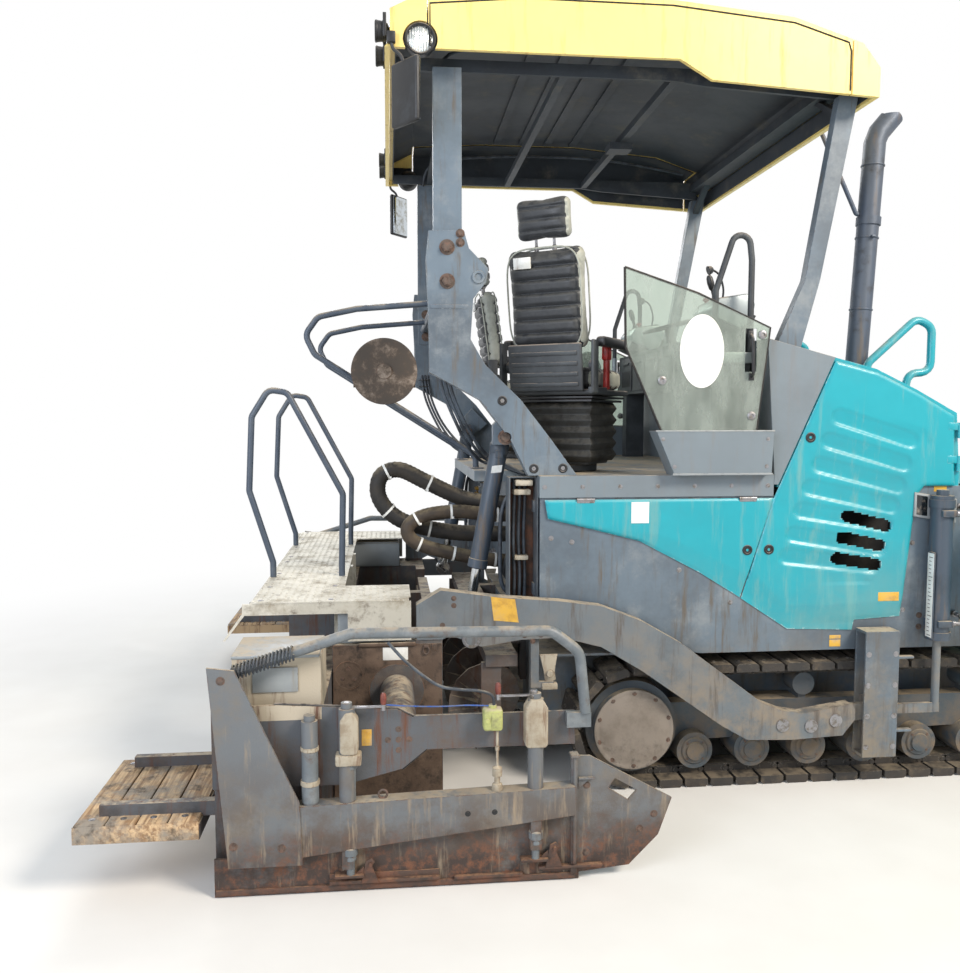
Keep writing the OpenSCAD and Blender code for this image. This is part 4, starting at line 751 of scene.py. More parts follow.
def times(tree, value, factor):
    """A socket multiplied by a number."""
    return add(tree, "ShaderNodeMath", {0: value, 1: factor}, operation="MULTIPLY").outputs[0]


def fastener_tree():
    """Hex heads with a washer, one on each point, looking along the point's facing."""
    tree, given = new_tree("hex_heads", ("Head radius", "Head height", "Washer radius",
                                         "Washer height"))
    head = add(tree, "GeometryNodeMeshCylinder",
               {"Vertices": 6, "Radius": given["Head radius"], "Depth": given["Head height"]})
    crown = add(tree, "GeometryNodeMeshCylinder",
                {"Vertices": 12, "Radius": times(tree, given["Head radius"], 0.72),
                 "Depth": given["Head height"]})
    washer = add(tree, "GeometryNodeMeshCylinder",
                 {"Vertices": 16, "Radius": given["Washer radius"],
                  "Depth": given["Washer height"]})
    whole = add(tree, "GeometryNodeJoinGeometry")
    tree.links.new(washer.outputs["Mesh"], whole.inputs[0])
    for shape, share in ((head, 0.5), (crown, 0.62)):
        lift = add(tree, "ShaderNodeCombineXYZ", {"Z": times(tree, given["Head height"], share)})
        raised = add(tree, "GeometryNodeTransform",
                     {"Geometry": shape.outputs["Mesh"], "Translation": lift.outputs[0]})
        tree.links.new(raised.outputs[0], whole.inputs[0])
    facing = add(tree, "GeometryNodeInputNamedAttribute", {"Name": "facing"},
                 data_type="FLOAT_VECTOR")
    aim = add(tree, "FunctionNodeAlignRotationToVector",
              {"Vector": facing.outputs["Attribute"]}, axis="Z")
    return end_on_points(tree, given, whole.outputs[0], Rotation=aim.outputs[0])


def lozenge_tree():
    """Raised lozenges of a tread plate, one on each point, every second one crosswise."""
    tree, given = new_tree("tread_lozenges", ("Length", "Width", "Height"))
    bead = add(tree, "GeometryNodeMeshIcoSphere", {"Radius": 0.5, "Subdivisions": 1})
    size = add(tree, "ShaderNodeCombineXYZ",
               {"X": given["Length"], "Y": given["Width"], "Z": given["Height"]})
    turn = add(tree, "GeometryNodeInputNamedAttribute", {"Name": "turn"}, data_type="FLOAT")
    spin = add(tree, "ShaderNodeCombineXYZ", {"Z": turn.outputs["Attribute"]})
    return end_on_points(tree, given, bead.outputs["Mesh"], Rotation=spin.outputs[0],
                         Scale=size.outputs[0])


TREES = {}


def points_object(name, spots, attribute, kind, values):
    """Loose points that carry one attribute each."""
    mesh = bpy.data.meshes.new(name)
    mesh.from_pydata([tuple(s) for s in spots], [], [])
    layer = mesh.attributes.new(attribute, kind, "POINT")
    for item, value in zip(layer.data, values):
        if kind == "FLOAT_VECTOR":
            item.vector = value
        else:
            item.value = value
    made = bpy.data.objects.new(name, mesh)
    bpy.context.scene.collection.objects.link(made)
    return made


def bolts(name, body, spots, finish="rusted_bolt_steel", slot="worn_steel", size=None,
          height=None):
    """Hex heads on a body. spots are (place, facing)."""
    size = size or sizes().bolt
    radius = size / 2
    if "heads" not in TREES:
        TREES["heads"] = fastener_tree()
    seed = points_object(name + "_points", [s[0] for s in spots], "facing", "FLOAT_VECTOR",
                         [Vector(s[1]) for s in spots])
    mesh = grown(seed, TREES["heads"],
                 {"Head radius": radius, "Head height": height or radius * 0.75,
                  "Washer radius": radius * 1.45, "Washer height": radius * 0.22,
                  "Finish": FINISHES[finish]})
    return dress(mesh, name, body, finish, 30)


def clipped_sheet(outline, pitch):
    """A flat mesh in X and Z cut to an outline, with square faces of about a pitch."""
    bm = bmesh.new()
    bm.faces.new([bm.verts.new((x, 0, z)) for x, z in outline])
    for axis in (0, 2):
        values = [p[0 if axis == 0 else 1] for p in outline]
        low, high = min(values), max(values)
        steps = int((high - low) / pitch)
        for i in range(1, steps + 1):
            at, normal = Vector((0, 0, 0)), Vector((0, 0, 0))
            at[axis] = low + i * (high - low) / (steps + 1)
            normal[axis] = 1
            bmesh.ops.bisect_plane(bm, geom=bm.faces[:] + bm.edges[:] + bm.verts[:],
                                   plane_co=at, plane_no=normal, dist=1e-5)
    return bm


def to_line(p, a, b):
    """Distance from a point to a stretch a to b, and how far along it, from 0 to 1."""
    way, off = b - a, p - a
    t = max(0.0, min(1.0, off.dot(way) / way.length_squared))
    return (off - way * t).length, t


def ease(value, low, high):
    """A smooth rise from 0 at low to 1 at high."""
    t = max(0.0, min(1.0, (value - low) / (high - low)))
    return t * t * (3 - 2 * t)


def pressed_panel(name, body, node, outline, lift, hole, side, finish, flange):
    """A pressed sheet that stands for a CAD panel: lift(p) is how far it is pushed in."""
    edge = [Vector(p) for p in outline]
    pairs = list(zip(edge, edge[1:] + edge[:1]))
    bm = clipped_sheet(outline, sizes().panel_pitch)
    gone = []
    for vert in bm.verts:
        p = Vector((vert.co.x, vert.co.z))
        near = min(to_line(p, a, b)[0] for a, b in pairs)
        depth = lift(p) + 0.008 * (1 - ease(near, 0, 0.014)) ** 2
        gap = hole(p) if hole else 1
        if gap < -0.002:
            gone.append(vert)
        vert.co.y = side * (DOOR_FACE - min(depth, DOOR_FACE - BODY_FACE - flange))
    bmesh.ops.delete(bm, geom=gone, context="VERTS")
    rim = [e for e in bm.edges if e.is_boundary]
    out = bmesh.ops.extrude_edge_only(bm, edges=rim)["geom"]
    for vert in [g for g in out if isinstance(g, bmesh.types.BMVert)]:
        vert.co.y = side * (BODY_FACE + 0.0035)
    bmesh.ops.recalc_face_normals(bm, faces=bm.faces)
    # The open sheet's face looks outwards
    probe = max(bm.faces, key=lambda f: f.calc_area())
    if probe.normal.y * side < 0:
        bmesh.ops.reverse_faces(bm, faces=bm.faces)
    mesh = bpy.data.meshes.new(name)
    bm.to_mesh(mesh)
    bm.free()
    made = dress(mesh, name, body, finish, 50)
    wall = made.modifiers.new("sheet thickness", "SOLIDIFY")
    wall.thickness, wall.offset = 0.002, -1
    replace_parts(made, node)
    return made


# ---------------------------------------------------------------- pieces
def rod(bm, at, along, radius, length, soft=0.0015, sides=20):
    """A round bar with broken edges, from a point along a direction."""
    soft = min(soft, radius * 0.4, length * 0.4)
    lathe(bm, at, along, [(radius - soft, 0), (radius, soft), (radius, length - soft),
                          (radius - soft, length)], sides)


SHAPES = {"box": block, "rod": rod, "turned": lathe, "plate": prism, "tube": pipe}


def solid(name, body, finish, forms, side=1, angle=38):
    """A piece of several forms, drawn for the left side; side -1 mirrors it to the right.

    Each form is a shape's name, its arguments and, last, its named arguments.
    """
    bm = bmesh.new()
    for shape, *rest in forms:
        named = rest.pop() if isinstance(rest[-1], dict) else {}
        SHAPES[shape](bm, *rest, **named)
    if side < 0:
        bmesh.ops.scale(bm, vec=(1, -1, 1), verts=bm.verts)
    return piece(bm, name, body, finish, angle)


def pair(name, body, finish, forms, angle=38):
    """The same piece on both sides. The body's {} stands for its side's word."""
    return [solid(name + "_" + word, body.format(word), finish, forms, side, angle)
            for word, side in SIDES.items()]


def bolt_pair(name, body, spots, *rest, **named):
    """Hex heads on both sides, given for the left: place and facing."""
    for word, side in SIDES.items():
        bolts(name + "_" + word, body.format(word),
              [((x, side * y, z), (a, side * b, c)) for (x, y, z), (a, b, c) in spots],
              *rest, **named)


def circle(middle, radius, count, start=0.0, closed=False, tall=None):
    """Even places on a circle, or on an oval with half its height in tall, as pairs."""
    u, v = middle
    return [(u + radius * math.cos(a), v + (tall or radius) * math.sin(a))
            for a in (start + math.tau * k / count for k in range(count + closed))]


def outward(y, spots):
    """Places on a side face at y, each given as (x, z), that face outwards."""
    return [((x, y, z), (0, 1, 0)) for x, z in spots]


def line_hose(name, body, points, radius, side=1, finish="line_hose_rubber", ends=True):
    """A thin hose or cable between two places of the machine."""
    path = even([Vector((x, side * y, z)) for x, y, z in softened(points, 8)], radius * 1.6)
    bm = bmesh.new()
    pipe(bm, path, radius, 10)
    tube = piece(bm, name, body, finish, 60)
    if ends:
        bm = bmesh.new()
        for at, way in ((path[0], path[1] - path[0]), (path[-1], path[-2] - path[-1])):
            lathe(bm, at, way, [(radius * 1.1, -0.004), (radius * 1.9, 0.0),
                                (radius * 1.9, radius * 1.6), (radius * 1.35, radius * 1.8),
                                (radius * 1.35, radius * 4.5), (radius * 0.98, radius * 4.8)], 12)
        piece(bm, name + "_fittings", body, "zinc_bolt_steel")
    return tube


# The view: focal length and long side of the frame in pixels, place and direction
FOCAL_LENGTH, LONG_SIDE = 890, 973
EYE, GAZE = (-2.055, -5.49, 1.9), (0.10282, 0.9917, -0.07819)


class PAVER_OT_camera(bpy.types.Operator):
    """Camera at the place from which the machine is seen"""

    bl_idname = "paver.camera"
    bl_label = "Camera"

    def execute(self, context):
        camera = bpy.data.cameras.new("view_camera")
        camera.sensor_width = 36
        camera.lens = FOCAL_LENGTH / LONG_SIDE * 36
        camera.clip_end = 200
        holder = bpy.data.objects.new("view_camera", camera)
        bpy.context.scene.collection.objects.link(holder)
        holder.location = EYE
        holder.rotation_euler = Vector(GAZE).to_track_quat("-Z", "Y").to_euler()
        bpy.context.scene.camera = holder
        return {"FINISHED"}


# Hose routes of the part's source, in metres
REAR_WALL = -1.31
BLACK_ROUTE = [(-1.33, 1.42), (-1.45, 1.422), (-1.64, 1.45), (-1.84, 1.54), (-1.99, 1.61),
               (-2.09, 1.58), (-2.11, 1.48), (-2.05, 1.38), (-1.93, 1.31), (-1.7, 1.262),
               (-1.45, 1.25), (-1.33, 1.25)]
BROWN_ROUTE = [(-1.33, 1.37), (-1.5, 1.37), (-1.68, 1.39), (-1.86, 1.37), (-1.95, 1.31),
               (-1.93, 1.24), (-1.82, 1.19), (-1.6, 1.14), (-1.45, 1.12), (-1.33, 1.12)]


def hose_path(route, y):
    """A hose's line in its own plane, run on to the rear wall at both ends."""
    inner = softened([(x, y, z) for x, z in route], 6)
    first, last = (Vector((REAR_WALL, y, z)) for z in (route[0][1], route[-1][1]))
    return [first] + inner + [last]


def even(path, step):
    """The same line with points at even steps."""
    out, left = [path[0].copy()], step
    for a, b in zip(path, path[1:]):
        long = (b - a).length
        at = left
        while at < long:
            out.append(a.lerp(b, at / long))
            at += step
        left = at - long
    if len(out) > 1 and (out[-1] - path[-1]).length < step / 2:
        out.pop()
    return out + [path[-1].copy()]


class PAVER_OT_hoses(bpy.types.Operator):
    """The two looped hoses behind the tractor, with their sleeves, ties and glands"""

    bl_idname = "paver.hoses"
    bl_label = "Hoses"

    def execute(self, context):
        for name, route, y, width, finish, slot, rib in (
                ("hose_black", BLACK_ROUTE, -0.6, 0.09, "sleeve_rubber", "hose_rubber", 0.0022),
                ("hose_brown", BROWN_ROUTE, -0.72, 0.075, "dusty_hose_rubber", "hose_dusty",
                 0.0012)):
            path = even(hose_path(route, y), 0.012)
            bm = bmesh.new()
            pipe(bm, path, width / 2, 20, ribs=lambda i: width / 2 - (rib if i % 2 else 0.0))
            tube = piece(bm, name + "_tube", "tractor", finish, 60)
            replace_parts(tube, name)
            bm = bmesh.new()
            for share in (0.12, 0.3, 0.44, 0.58, 0.72, 0.88):
                i = int(share * (len(path) - 1))
                way = (path[i + 1] - path[i - 1]).normalized()
                at = path[i] - way * 0.006
                lathe(bm, at, way, [(width / 2 - 0.004, 0), (width / 2 + 0.003, 0),
                                    (width / 2 + 0.003, 0.012), (width / 2 - 0.004, 0.012)], 20)
                tail = way.orthogonal().normalized()
                block(bm, at - Vector((0.006, 0.006, 0.006)) + tail * (width / 2 + 0.004),
                      at + Vector((0.006, 0.006, 0.006)) + tail * (width / 2 + 0.004), 0.002)
            piece(bm, name + "_ties", "tractor", "label_white_film")
            bm = bmesh.new()
            for end in (path[0], path[-1]):
                lathe(bm, end - Vector((0.002, 0, 0)), (-1, 0, 0),
                      [(width / 2 + 0.022, 0), (width / 2 + 0.022, 0.012),
                       (width / 2 + 0.012, 0.016), (width / 2 + 0.01, 0.045),
                       (width / 2 + 0.003, 0.06), (width / 2 - 0.003, 0.06)], 24)
            piece(bm, name + "_glands", "tractor", "black_plastic")
        return {"FINISHED"}


class PAVER_OT_finishes(bpy.types.Operator):
    """Finishes of the CAD nodes, with softened corners"""

    bl_idname = "paver.finishes"
    bl_label = "Finishes"

    def execute(self, context):
        make_finishes()
        tree = smooth_tree()
        for part in frame["record"]["subparts"]:
            node = frame["nodes"][part["node"]]
            name = part["node"]
            finish = FINISHES[NODE_FINISH.get(name, SLOT_FINISH[part["material_slot"]])]
            if not node.material_slots:
                node.data.materials.append(finish)
            for place in node.material_slots:
                place.material = finish
            shade = node.modifiers.new("weld and shade", "NODES")
            shade.node_group = tree
            shade[socket_id(tree, "Angle")] = math.radians(32)
            if name not in UNROUNDED:
                flat = node.modifiers.new("whole faces", "DECIMATE")
                flat.decimate_type = "DISSOLVE"
                flat.angle_limit = math.radians(0.4)
                soft = node.modifiers.new("soft corners", "BEVEL")
                soft.width, soft.segments = 0.003, 2
                soft.limit_method, soft.angle_limit = "ANGLE", math.radians(34)
                soft.harden_normals = True
        return {"FINISHED"}


DOOR_OUTLINE = [(0.189, 2.18), (-0.115, 1.494), (-0.276, 0.98), (-0.027, 0.816),
                (0.322, 0.803), (0.332, 0.855), (0.58, 0.869), (0.643, 1.493),
                (0.684, 1.544), (0.85, 1.544), (0.835, 1.905), (0.632, 2.02), (0.413, 2.123)]
FLAP_OUTLINE = [(-1.289, 1.491), (-0.116, 1.491), (-0.282, 0.985), (-0.494, 1.116),
                (-0.807, 1.28), (-1.062, 1.346), (-1.273, 1.397)]
# Air slots of a door: centre line of each pressed scoop, and the openings in the lowest three
SCOOPS = [((0.193, 1.908), (0.627, 1.774)), ((0.14, 1.787), (0.595, 1.656)),
          ((0.092, 1.665), (0.568, 1.544)), ((0.044, 1.549), (0.535, 1.441)),
          ((0.001, 1.432), (0.502, 1.348)), ((-0.037, 1.31), (0.47, 1.224)),
          ((-0.07, 1.197), (0.441, 1.136))]
OPENINGS = [((0.275, 1.394), (0.48, 1.344)), ((0.247, 1.286), (0.452, 1.242)),
            ((0.225, 1.178), (0.436, 1.142))]
SCOOP_R, OPENING_R = 0.042, 0.027
CREASE = [(-0.34, 1.23), (-0.223, 1.115), (-0.039, 0.943), (0.154, 0.94), (0.66, 0.96)]
FLAP_CREASE = [(-1.4, 1.44), (-1.285, 1.422), (-1.178, 1.381), (-0.673, 1.305),
               (-0.236, 1.097), (-0.1, 1.03)]
SHOULDER = [(0.15, 1.992), (0.226, 1.967), (0.53, 1.888), (0.69, 1.842), (0.738, 1.774),
            (0.607, 1.485), (0.501, 1.277), (0.4, 1.08)]


def below(line, p):
    """How far a point lies below a line of stretches, and 0 above it."""
    for (x0, z0), (x1, z1) in zip(line, line[1:]):
        if x0 <= p.x <= x1:
            gap = z0 + (z1 - z0) * (p.x - x0) / (x1 - x0) - p.y
            return max(0.0, gap * (x1 - x0) / math.hypot(x1 - x0, z1 - z0))
    return 0.0


def scoop_depth(p):
    """How deep the scoop round a place is pressed, 0 between the scoops."""
    depth = 0.0
    for a, b in SCOOPS:
        a, b = Vector(a), Vector(b)
        way = (b - a).normalized()
        start, end = a + way * SCOOP_R * 0.6, b - way * SCOOP_R * 0.6
        gap = to_line(p, start, end)[0]
        if gap > SCOOP_R + 0.01:
            continue
        down = Vector((way.y, -way.x))
        drop = (p - a).dot(down) / SCOOP_R
        floor = 0.35 + 0.65 * ease(drop, -1.0, 0.75)
        depth = max(depth, 0.013 * floor * (1 - ease(gap, SCOOP_R - 0.009, SCOOP_R + 0.004)))
    return depth


def door_lift(p):
    """How far the door's sheet is pressed in at a place."""
    depth = scoop_depth(p)
    inside = min(to_line(p, Vector(a), Vector(b))[0] for a, b in zip(SHOULDER[1:], SHOULDER[2:]))
    # The field of the scoops sinks towards the front, behind a shoulder
    edge_x = 0.738 - 0.455 * max(0.0, 1.774 - p.y)
    under_top = below(SHOULDER[:5] + [(0.9, 1.8)], p) if p.x < 0.738 else 0.0
    if p.x < edge_x and under_top > 0 and p.y > 1.05:
        field = 0.006 * ease(inside, 0, 0.045) * ease(p.x - (0.05 + 0.45 * (p.y - 1.1)), 0, 0.35)
        depth = max(depth, min(0.0145, depth + field))
    depth += min(0.0145, 0.13 * below(CREASE, p))
    return depth


def door_hole(p):
    """Distance to the nearest opening, negative inside it."""
    return min(to_line(p, Vector(a), Vector(b))[0] - OPENING_R for a, b in OPENINGS)


def flap_lift(p):
    """How far the flap's sheet draws in below its crease."""
    return 0.12 * below(FLAP_CREASE, p)


def lock(bm, x, z, side, face=DOOR_FACE):
    """A round panel lock with its square key hole and rim."""
    lathe(bm, (x, side * (face - 0.01), z), (0, side, 0),
          [(0.026, 0), (0.026, 0.0125), (0.023, 0.0145), (0.018, 0.0145), (0.016, 0.011),
           (0.007, 0.011), (0.007, 0.006)], 28)


class PAVER_OT_doors(bpy.types.Operator):
    """Pressed engine doors and service flaps with locks, hinges and plates"""

    bl_idname = "paver.doors"
    bl_label = "Doors and flaps"

    def execute(self, context):
        for word, side in SIDES.items():
            door, flap = "engine_door_" + word, "service_flap_" + word
            pressed_panel(door + "_sheet", door, door, DOOR_OUTLINE, door_lift, door_hole, side,
                          "teal_enamel", 0.0045)
            pressed_panel(flap + "_sheet", flap, flap, FLAP_OUTLINE, flap_lift, None, side,
                          "teal_enamel", 0.0045)
            bm = bmesh.new()
            lock(bm, 0.064, 1.796, side)
            lock(bm, -0.14, 1.23, side)
            piece(bm, door + "_locks", door, "black_plastic")
            bm = bmesh.new()
            lock(bm, -0.253, 1.229, side)
            piece(bm, flap + "_lock", flap, "black_plastic")
            # Hinge leaves of the flap and knuckles of the door
            bm = bmesh.new()
            for x in (-1.085, -0.255):
                block(bm, (x - 0.045, side * 1.186, 1.474), (x + 0.045, side * 1.2005, 1.492))
                lathe(bm, (x - 0.045, side * 1.194, 1.491), (1, 0, 0),
                      [(0.009, 0), (0.009, 0.09)], 16)
            piece(bm, flap + "_hinges", flap, "zinc_bolt_steel")
            bm = bmesh.new()
            for z in (1.6603, 1.8303):
                lathe(bm, (0.862, side * 1.197, z), (0, 0, 1), [(0.009, 0), (0.009, 0.04)], 16)
                block(bm, (0.8, side * 1.183, z), (0.862, side * 1.1995, z + 0.04))
            piece(bm, door + "_hinges", door, "teal_enamel")
            # Blank plates: a white one on the flap and a yellow one on the door
            bm = bmesh.new()
            block(bm, (-0.855, side * 1.1965, 1.372), (-0.765, side * 1.2, 1.478), 0.001)
            piece(bm, flap + "_plate", flap, "label_white_film")
            bm = bmesh.new()
            block(bm, (0.452, side * 1.192, 0.952), (0.565, side * 1.1992, 0.998), 0.001)
            piece(bm, door + "_plate", door, "label_yellow_film")
        return {"FINISHED"}


def seat_place(side_word):
    """Where a seat's own frame stands on the platform."""
    side = SIDES[side_word]
    return (Matrix.Translation((SEAT_X, side * SEAT_Y, FLOOR_Z))
            @ Matrix.Rotation(SEAT_TURN[side_word], 4, "Z"))


BACK_LEAN = Matrix.Translation((-0.2599, 0, 0.5478)) @ Matrix.Rotation(math.radians(-8), 4, "Y")


def rounded_form(size, corner, pinch):
    """A soft box about the origin: a lattice of points pulled in between its corners."""
    bm = bmesh.new()
    bmesh.ops.create_cube(bm, size=1)
    bmesh.ops.subdivide_edges(bm, edges=bm.edges[:], cuts=11, use_grid_fill=True)
    half = Vector(size) / 2
    inner = Vector(max(h - corner, 1e-3) for h in half)
    for vert in bm.verts:
        p = Vector(c * 2 * h for c, h in zip(vert.co, half))
        core = Vector(max(-i, min(i, c)) for c, i in zip(p, inner))
        off = p - core
        vert.co = core + (off.normalized() * corner if off.length > 1e-6 else off)
        # Sides draw in between the corners
        for a, b in ((1, 2), (2, 1)):
            t = vert.co[b] / half[b]
            vert.co[a] *= 1 - pinch * (1 - t * t)
    return bm


def stuffed(bm, name, voxel, cap):
    """Swell a closed form with cloth under pressure and keep what results as a mesh."""
    mesh = bpy.data.meshes.new(name)
    bm.to_mesh(mesh)
    bm.free()
    pad = bpy.data.objects.new(name, mesh)
    scene = bpy.context.scene
    scene.collection.objects.link(pad)
    cut = pad.modifiers.new("voxels", "REMESH")
    cut.mode, cut.voxel_size = "VOXEL", voxel
    graph = bpy.context.evaluated_depsgraph_get()
    pad.data = bpy.data.meshes.new_from_object(pad.evaluated_get(graph))
    pad.modifiers.clear()
    rest = [v.co.copy() for v in pad.data.vertices]
    cloth = pad.modifiers.new("cloth", "CLOTH")
    cloth.settings.use_pressure = True
    cloth.settings.uniform_pressure_force = 4
    cloth.settings.effector_weights.gravity = 0
    cloth.settings.quality = 4
    for step in range(1, 21):
        scene.frame_set(step)
    graph = bpy.context.evaluated_depsgraph_get()
    swollen = bpy.data.meshes.new_from_object(pad.evaluated_get(graph))
    for vert, start, end in zip(pad.data.vertices, rest, swollen.vertices):
        move = end.co - start
        vert.co = start + move * min(1.0, cap / max(move.length, 1e-9))
    pad.modifiers.clear()
    scene.frame_set(1)
    finer = pad.modifiers.new("finer", "SUBSURF")
    finer.levels = finer.render_levels = 1
    graph = bpy.context.evaluated_depsgraph_get()
    pad.data = bpy.data.meshes.new_from_object(pad.evaluated_get(graph))
    pad.modifiers.clear()
    return pad


def channelled(pad, spacing, depth, start, axis_in=0, axis_along=2, reach=0.012):
    """Press sewn channels across a pad, at even steps along one axis."""
    facing = [vert.normal[axis_in] for vert in pad.data.vertices]
    for vert, out in zip(pad.data.vertices, facing):
        along = (vert.co[axis_along] - start) / spacing
        near = abs(along - round(along)) * spacing
        vert.co[axis_in] -= out * abs(out) * depth * math.exp(-(near / reach) ** 2)


def seat_pad(word, name, form, local, finish, node, grey_side, channels):
    """A stuffed pad of a seat, with grey vinyl on the sides that lie beyond grey_side."""
    pad = stuffed(form, name, 0.01, 0.01)
    if channels:
        channelled(pad, *channels)
    mesh = pad.data
    mesh.materials.clear()
    mesh.materials.append(FINISHES[finish])
    mesh.materials.append(FINISHES["seat_vinyl_grey"])
    if grey_side:
        for face in mesh.polygons:
            if abs(face.normal.y) > 0.55 and abs(face.center.y) > grey_side:
                face.material_index = 1
    mesh.transform(seat_place(word) @ local)
    mesh.polygons.foreach_set("use_smooth", [True] * len(mesh.polygons))
    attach(pad, "seat_" + word)
    if node:
        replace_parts(pad, node)
    return pad


class PAVER_OT_seats(bpy.types.Operator):
    """Seat cushions, backs, head rests, arm rests, bellows and piping"""

    bl_idname = "paver.seats"
    bl_label = "Seats"

    def execute(self, context):
        for word in SIDES:
            place, body = seat_place(word), "seat_" + word

            def seat_part(name, finish, forms, at=place, body=body):
                made = solid(body + "_" + name, body, finish, forms)
                made.data.transform(at)
                return made

            pan = Matrix.Translation((-0.0015, 0, 0.4853))
            seat_pad(word, "seat_cushion_" + word,
                     rounded_form((0.455, 0.462, 0.098), 0.035, 0.03), pan,
                     "seat_vinyl_black", "seat_pan_" + word, 0.2, (0.075, 0.012, 0.0, 2, 0, 0.008))
            back = BACK_LEAN @ Matrix.Translation((0.0415, 0, 0.335))
            seat_pad(word, "seat_backrest_" + word,
                     rounded_form((0.118, 0.44, 0.53), 0.055, 0.06), back,
                     "seat_vinyl_black", "seat_back_" + word, 0.188,
                     (0.066, 0.022, 0.033, 0, 2, 0.009))
            head = BACK_LEAN @ Matrix.Translation((0.04, 0, 0.728))
            seat_pad(word, "seat_headrest_" + word,
                     rounded_form((0.088, 0.3, 0.205), 0.04, 0.05), head,
                     "seat_vinyl_black", None, 0.13, (0.055, 0.012, 0.0, 0, 2, 0.008))
            bm = bmesh.new()
            for y in (-0.05, 0.05):
                lathe(bm, place @ BACK_LEAN @ Vector((0.04, y, 0.575)),
                      (place @ BACK_LEAN).to_3x3() @ Vector((0, 0, 1)),
                      [(0.012, 0), (0.012, 0.02), (0.007, 0.025), (0.007, 0.09)], 12)
            piece(bm, body + "_headrest_stems", body, "zinc_bolt_steel")
            # Piping round the back's rim, front and rear
            bm = bmesh.new()
            for x in (-0.008, 0.091):
                ring = []
                for k in range(49):
                    a = math.tau * k / 48
                    u, v = math.cos(a), math.sin(a)
                    ring.append((x, 0.204 * math.copysign(abs(u) ** 0.45, u),
                                 0.335 + 0.254 * math.copysign(abs(v) ** 0.45, v)))
                pipe(bm, [(place @ BACK_LEAN @ Vector(p)) for p in ring], 0.0045, 8)
            piece(bm, body + "_piping", body, "seat_vinyl_grey")
            # Folded bellows round the suspension
            bm = bmesh.new()
            for k in range(5):
                z = 0.055 + 0.062 * k
                for low, high, wide in ((z, z + 0.031, 0.0), (z + 0.031, z + 0.062, 1.0)):
                    inner, outer = (0.158, 0.188), (0.176, 0.206)
                    a, b = (inner, outer) if wide == 0 else (outer, inner)
                    corners = [[bm.verts.new(place @ Vector((sx * r[0], sy * r[1], h)))
                                for sx, sy in ((-1, -1), (1, -1), (1, 1), (-1, 1))]
                               for r, h in ((a, low), (b, high))]
                    ring_faces(bm, corners, True)
            made = piece(bm, body + "_bellows", body, "bellows_rubber", 50)
            soft = made.modifiers.new("folds", "BEVEL")
            soft.width, soft.segments = 0.004, 2
            thick = made.modifiers.new("rubber", "SOLIDIFY")
            thick.thickness, thick.offset = 0.003, -1
            # Arm rests and belt buckle
            seat_part("armrests", "black_plastic",
                      [("box", (-0.215, s * 0.265 - 0.028, 0.643),
                        (0.112, s * 0.265 + 0.028, 0.693), 0.016, {"steps": 3}) for s in (-1, 1)])
            seat_part("buckle", "red_plastic",
                      [("box", (-0.1, -0.258, 0.43), (-0.06, -0.232, 0.6), 0.006),
                       ("box", (-0.112, -0.262, 0.58), (-0.048, -0.228, 0.65), 0.008)])
            # Swivel base, scissor plates, pan tray and the brackets of the arm rests
            forms = [("rod", (0, 0, 0.0005), (0, 0, 1), 0.15, 0.04, 0.006, 48),
                     ("box", (-0.14, -0.17, 0.04), (0.14, 0.17, 0.36), 0.01),
                     ("box", (-0.2525, -0.24, 0.402), (0.2525, 0.24, 0.43), 0.01, {"steps": 3})]
            for s in (-1, 1):
                forms += [("box", (-0.3, s * 0.258 - 0.009, 0.41),
                           (-0.235, s * 0.258 + 0.009, 0.672), 0.006),
                          ("box", (-0.3, s * 0.248 - 0.012, 0.405),
                           (-0.1, s * 0.248 + 0.012, 0.44), 0.005)]
            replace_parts(seat_part("frame", "console_plastic", forms), body)
            # Shell behind the back's foot with moulded ribs, and its recline knobs
            seat_part("shell", "console_plastic",
                      [("box", (-0.052, -0.205, -0.125), (-0.026, 0.205, 0.115), 0.01,
                        {"steps": 3})]
                      + [("box", (-0.06, -0.185, -0.1 + 0.052 * k),
                          (-0.05, 0.185, -0.08 + 0.052 * k), 0.004) for k in range(4)]
                      + [("rod", (0.02, s * 0.222, -0.005), (0, s, 0), 0.03, 0.024, 0.004)
                         for s in (-1, 1)], place @ BACK_LEAN)
            trays = []
            for k in range(3):
                wide, low = 0.212 + 0.01 * k, 0.366 + 0.017 * k
                trays.append(("box", (-wide, -wide - 0.006, low),
                              (wide, wide + 0.006, low + 0.012), 0.003))
            seat_part("trays", "black_plastic", trays)
            seat_part("label", "label_white_film",
                      [("box", (-0.0335, 0.055, 0.492), (-0.024, 0.15, 0.548), 0.0005)],
                      place @ BACK_LEAN)
        return {"FINISHED"}


GLASS_BOLTS = [(-0.725, 2.076), (-0.27, 1.905), (-0.222, 2.301)]


class PAVER_OT_screens(bpy.types.Operator):
    """Buttons and the blank oval disc of the glass side screens"""

    bl_idname = "paver.screens"
    bl_label = "Side screens"

    def execute(self, context):
        face = 1.25
        buttons = []
        for x, z in GLASS_BOLTS:
            buttons += [("turned", (x, face - 0.002, z), (0, 1, 0),
                         [(0.021, 0), (0.021, 0.006), (0.017, 0.009), (0.009, 0.009),
                          (0.008, 0.005)], 24),
                        ("turned", (x, face - 0.0102, z), (0, -1, 0),
                         [(0.021, 0), (0.021, 0.008), (0.01, 0.012), (0.01, 0.035)], 24)]
        pair("screen_buttons", "tractor", "zinc_bolt_steel", buttons)
        oval = circle((-0.528, 2.218), 0.111, 48, tall=0.178)
        pair("screen_disc", "tractor", "label_white_film",
             [("plate", oval, face + 0.0003, face + 0.0018)])
        return {"FINISHED"}


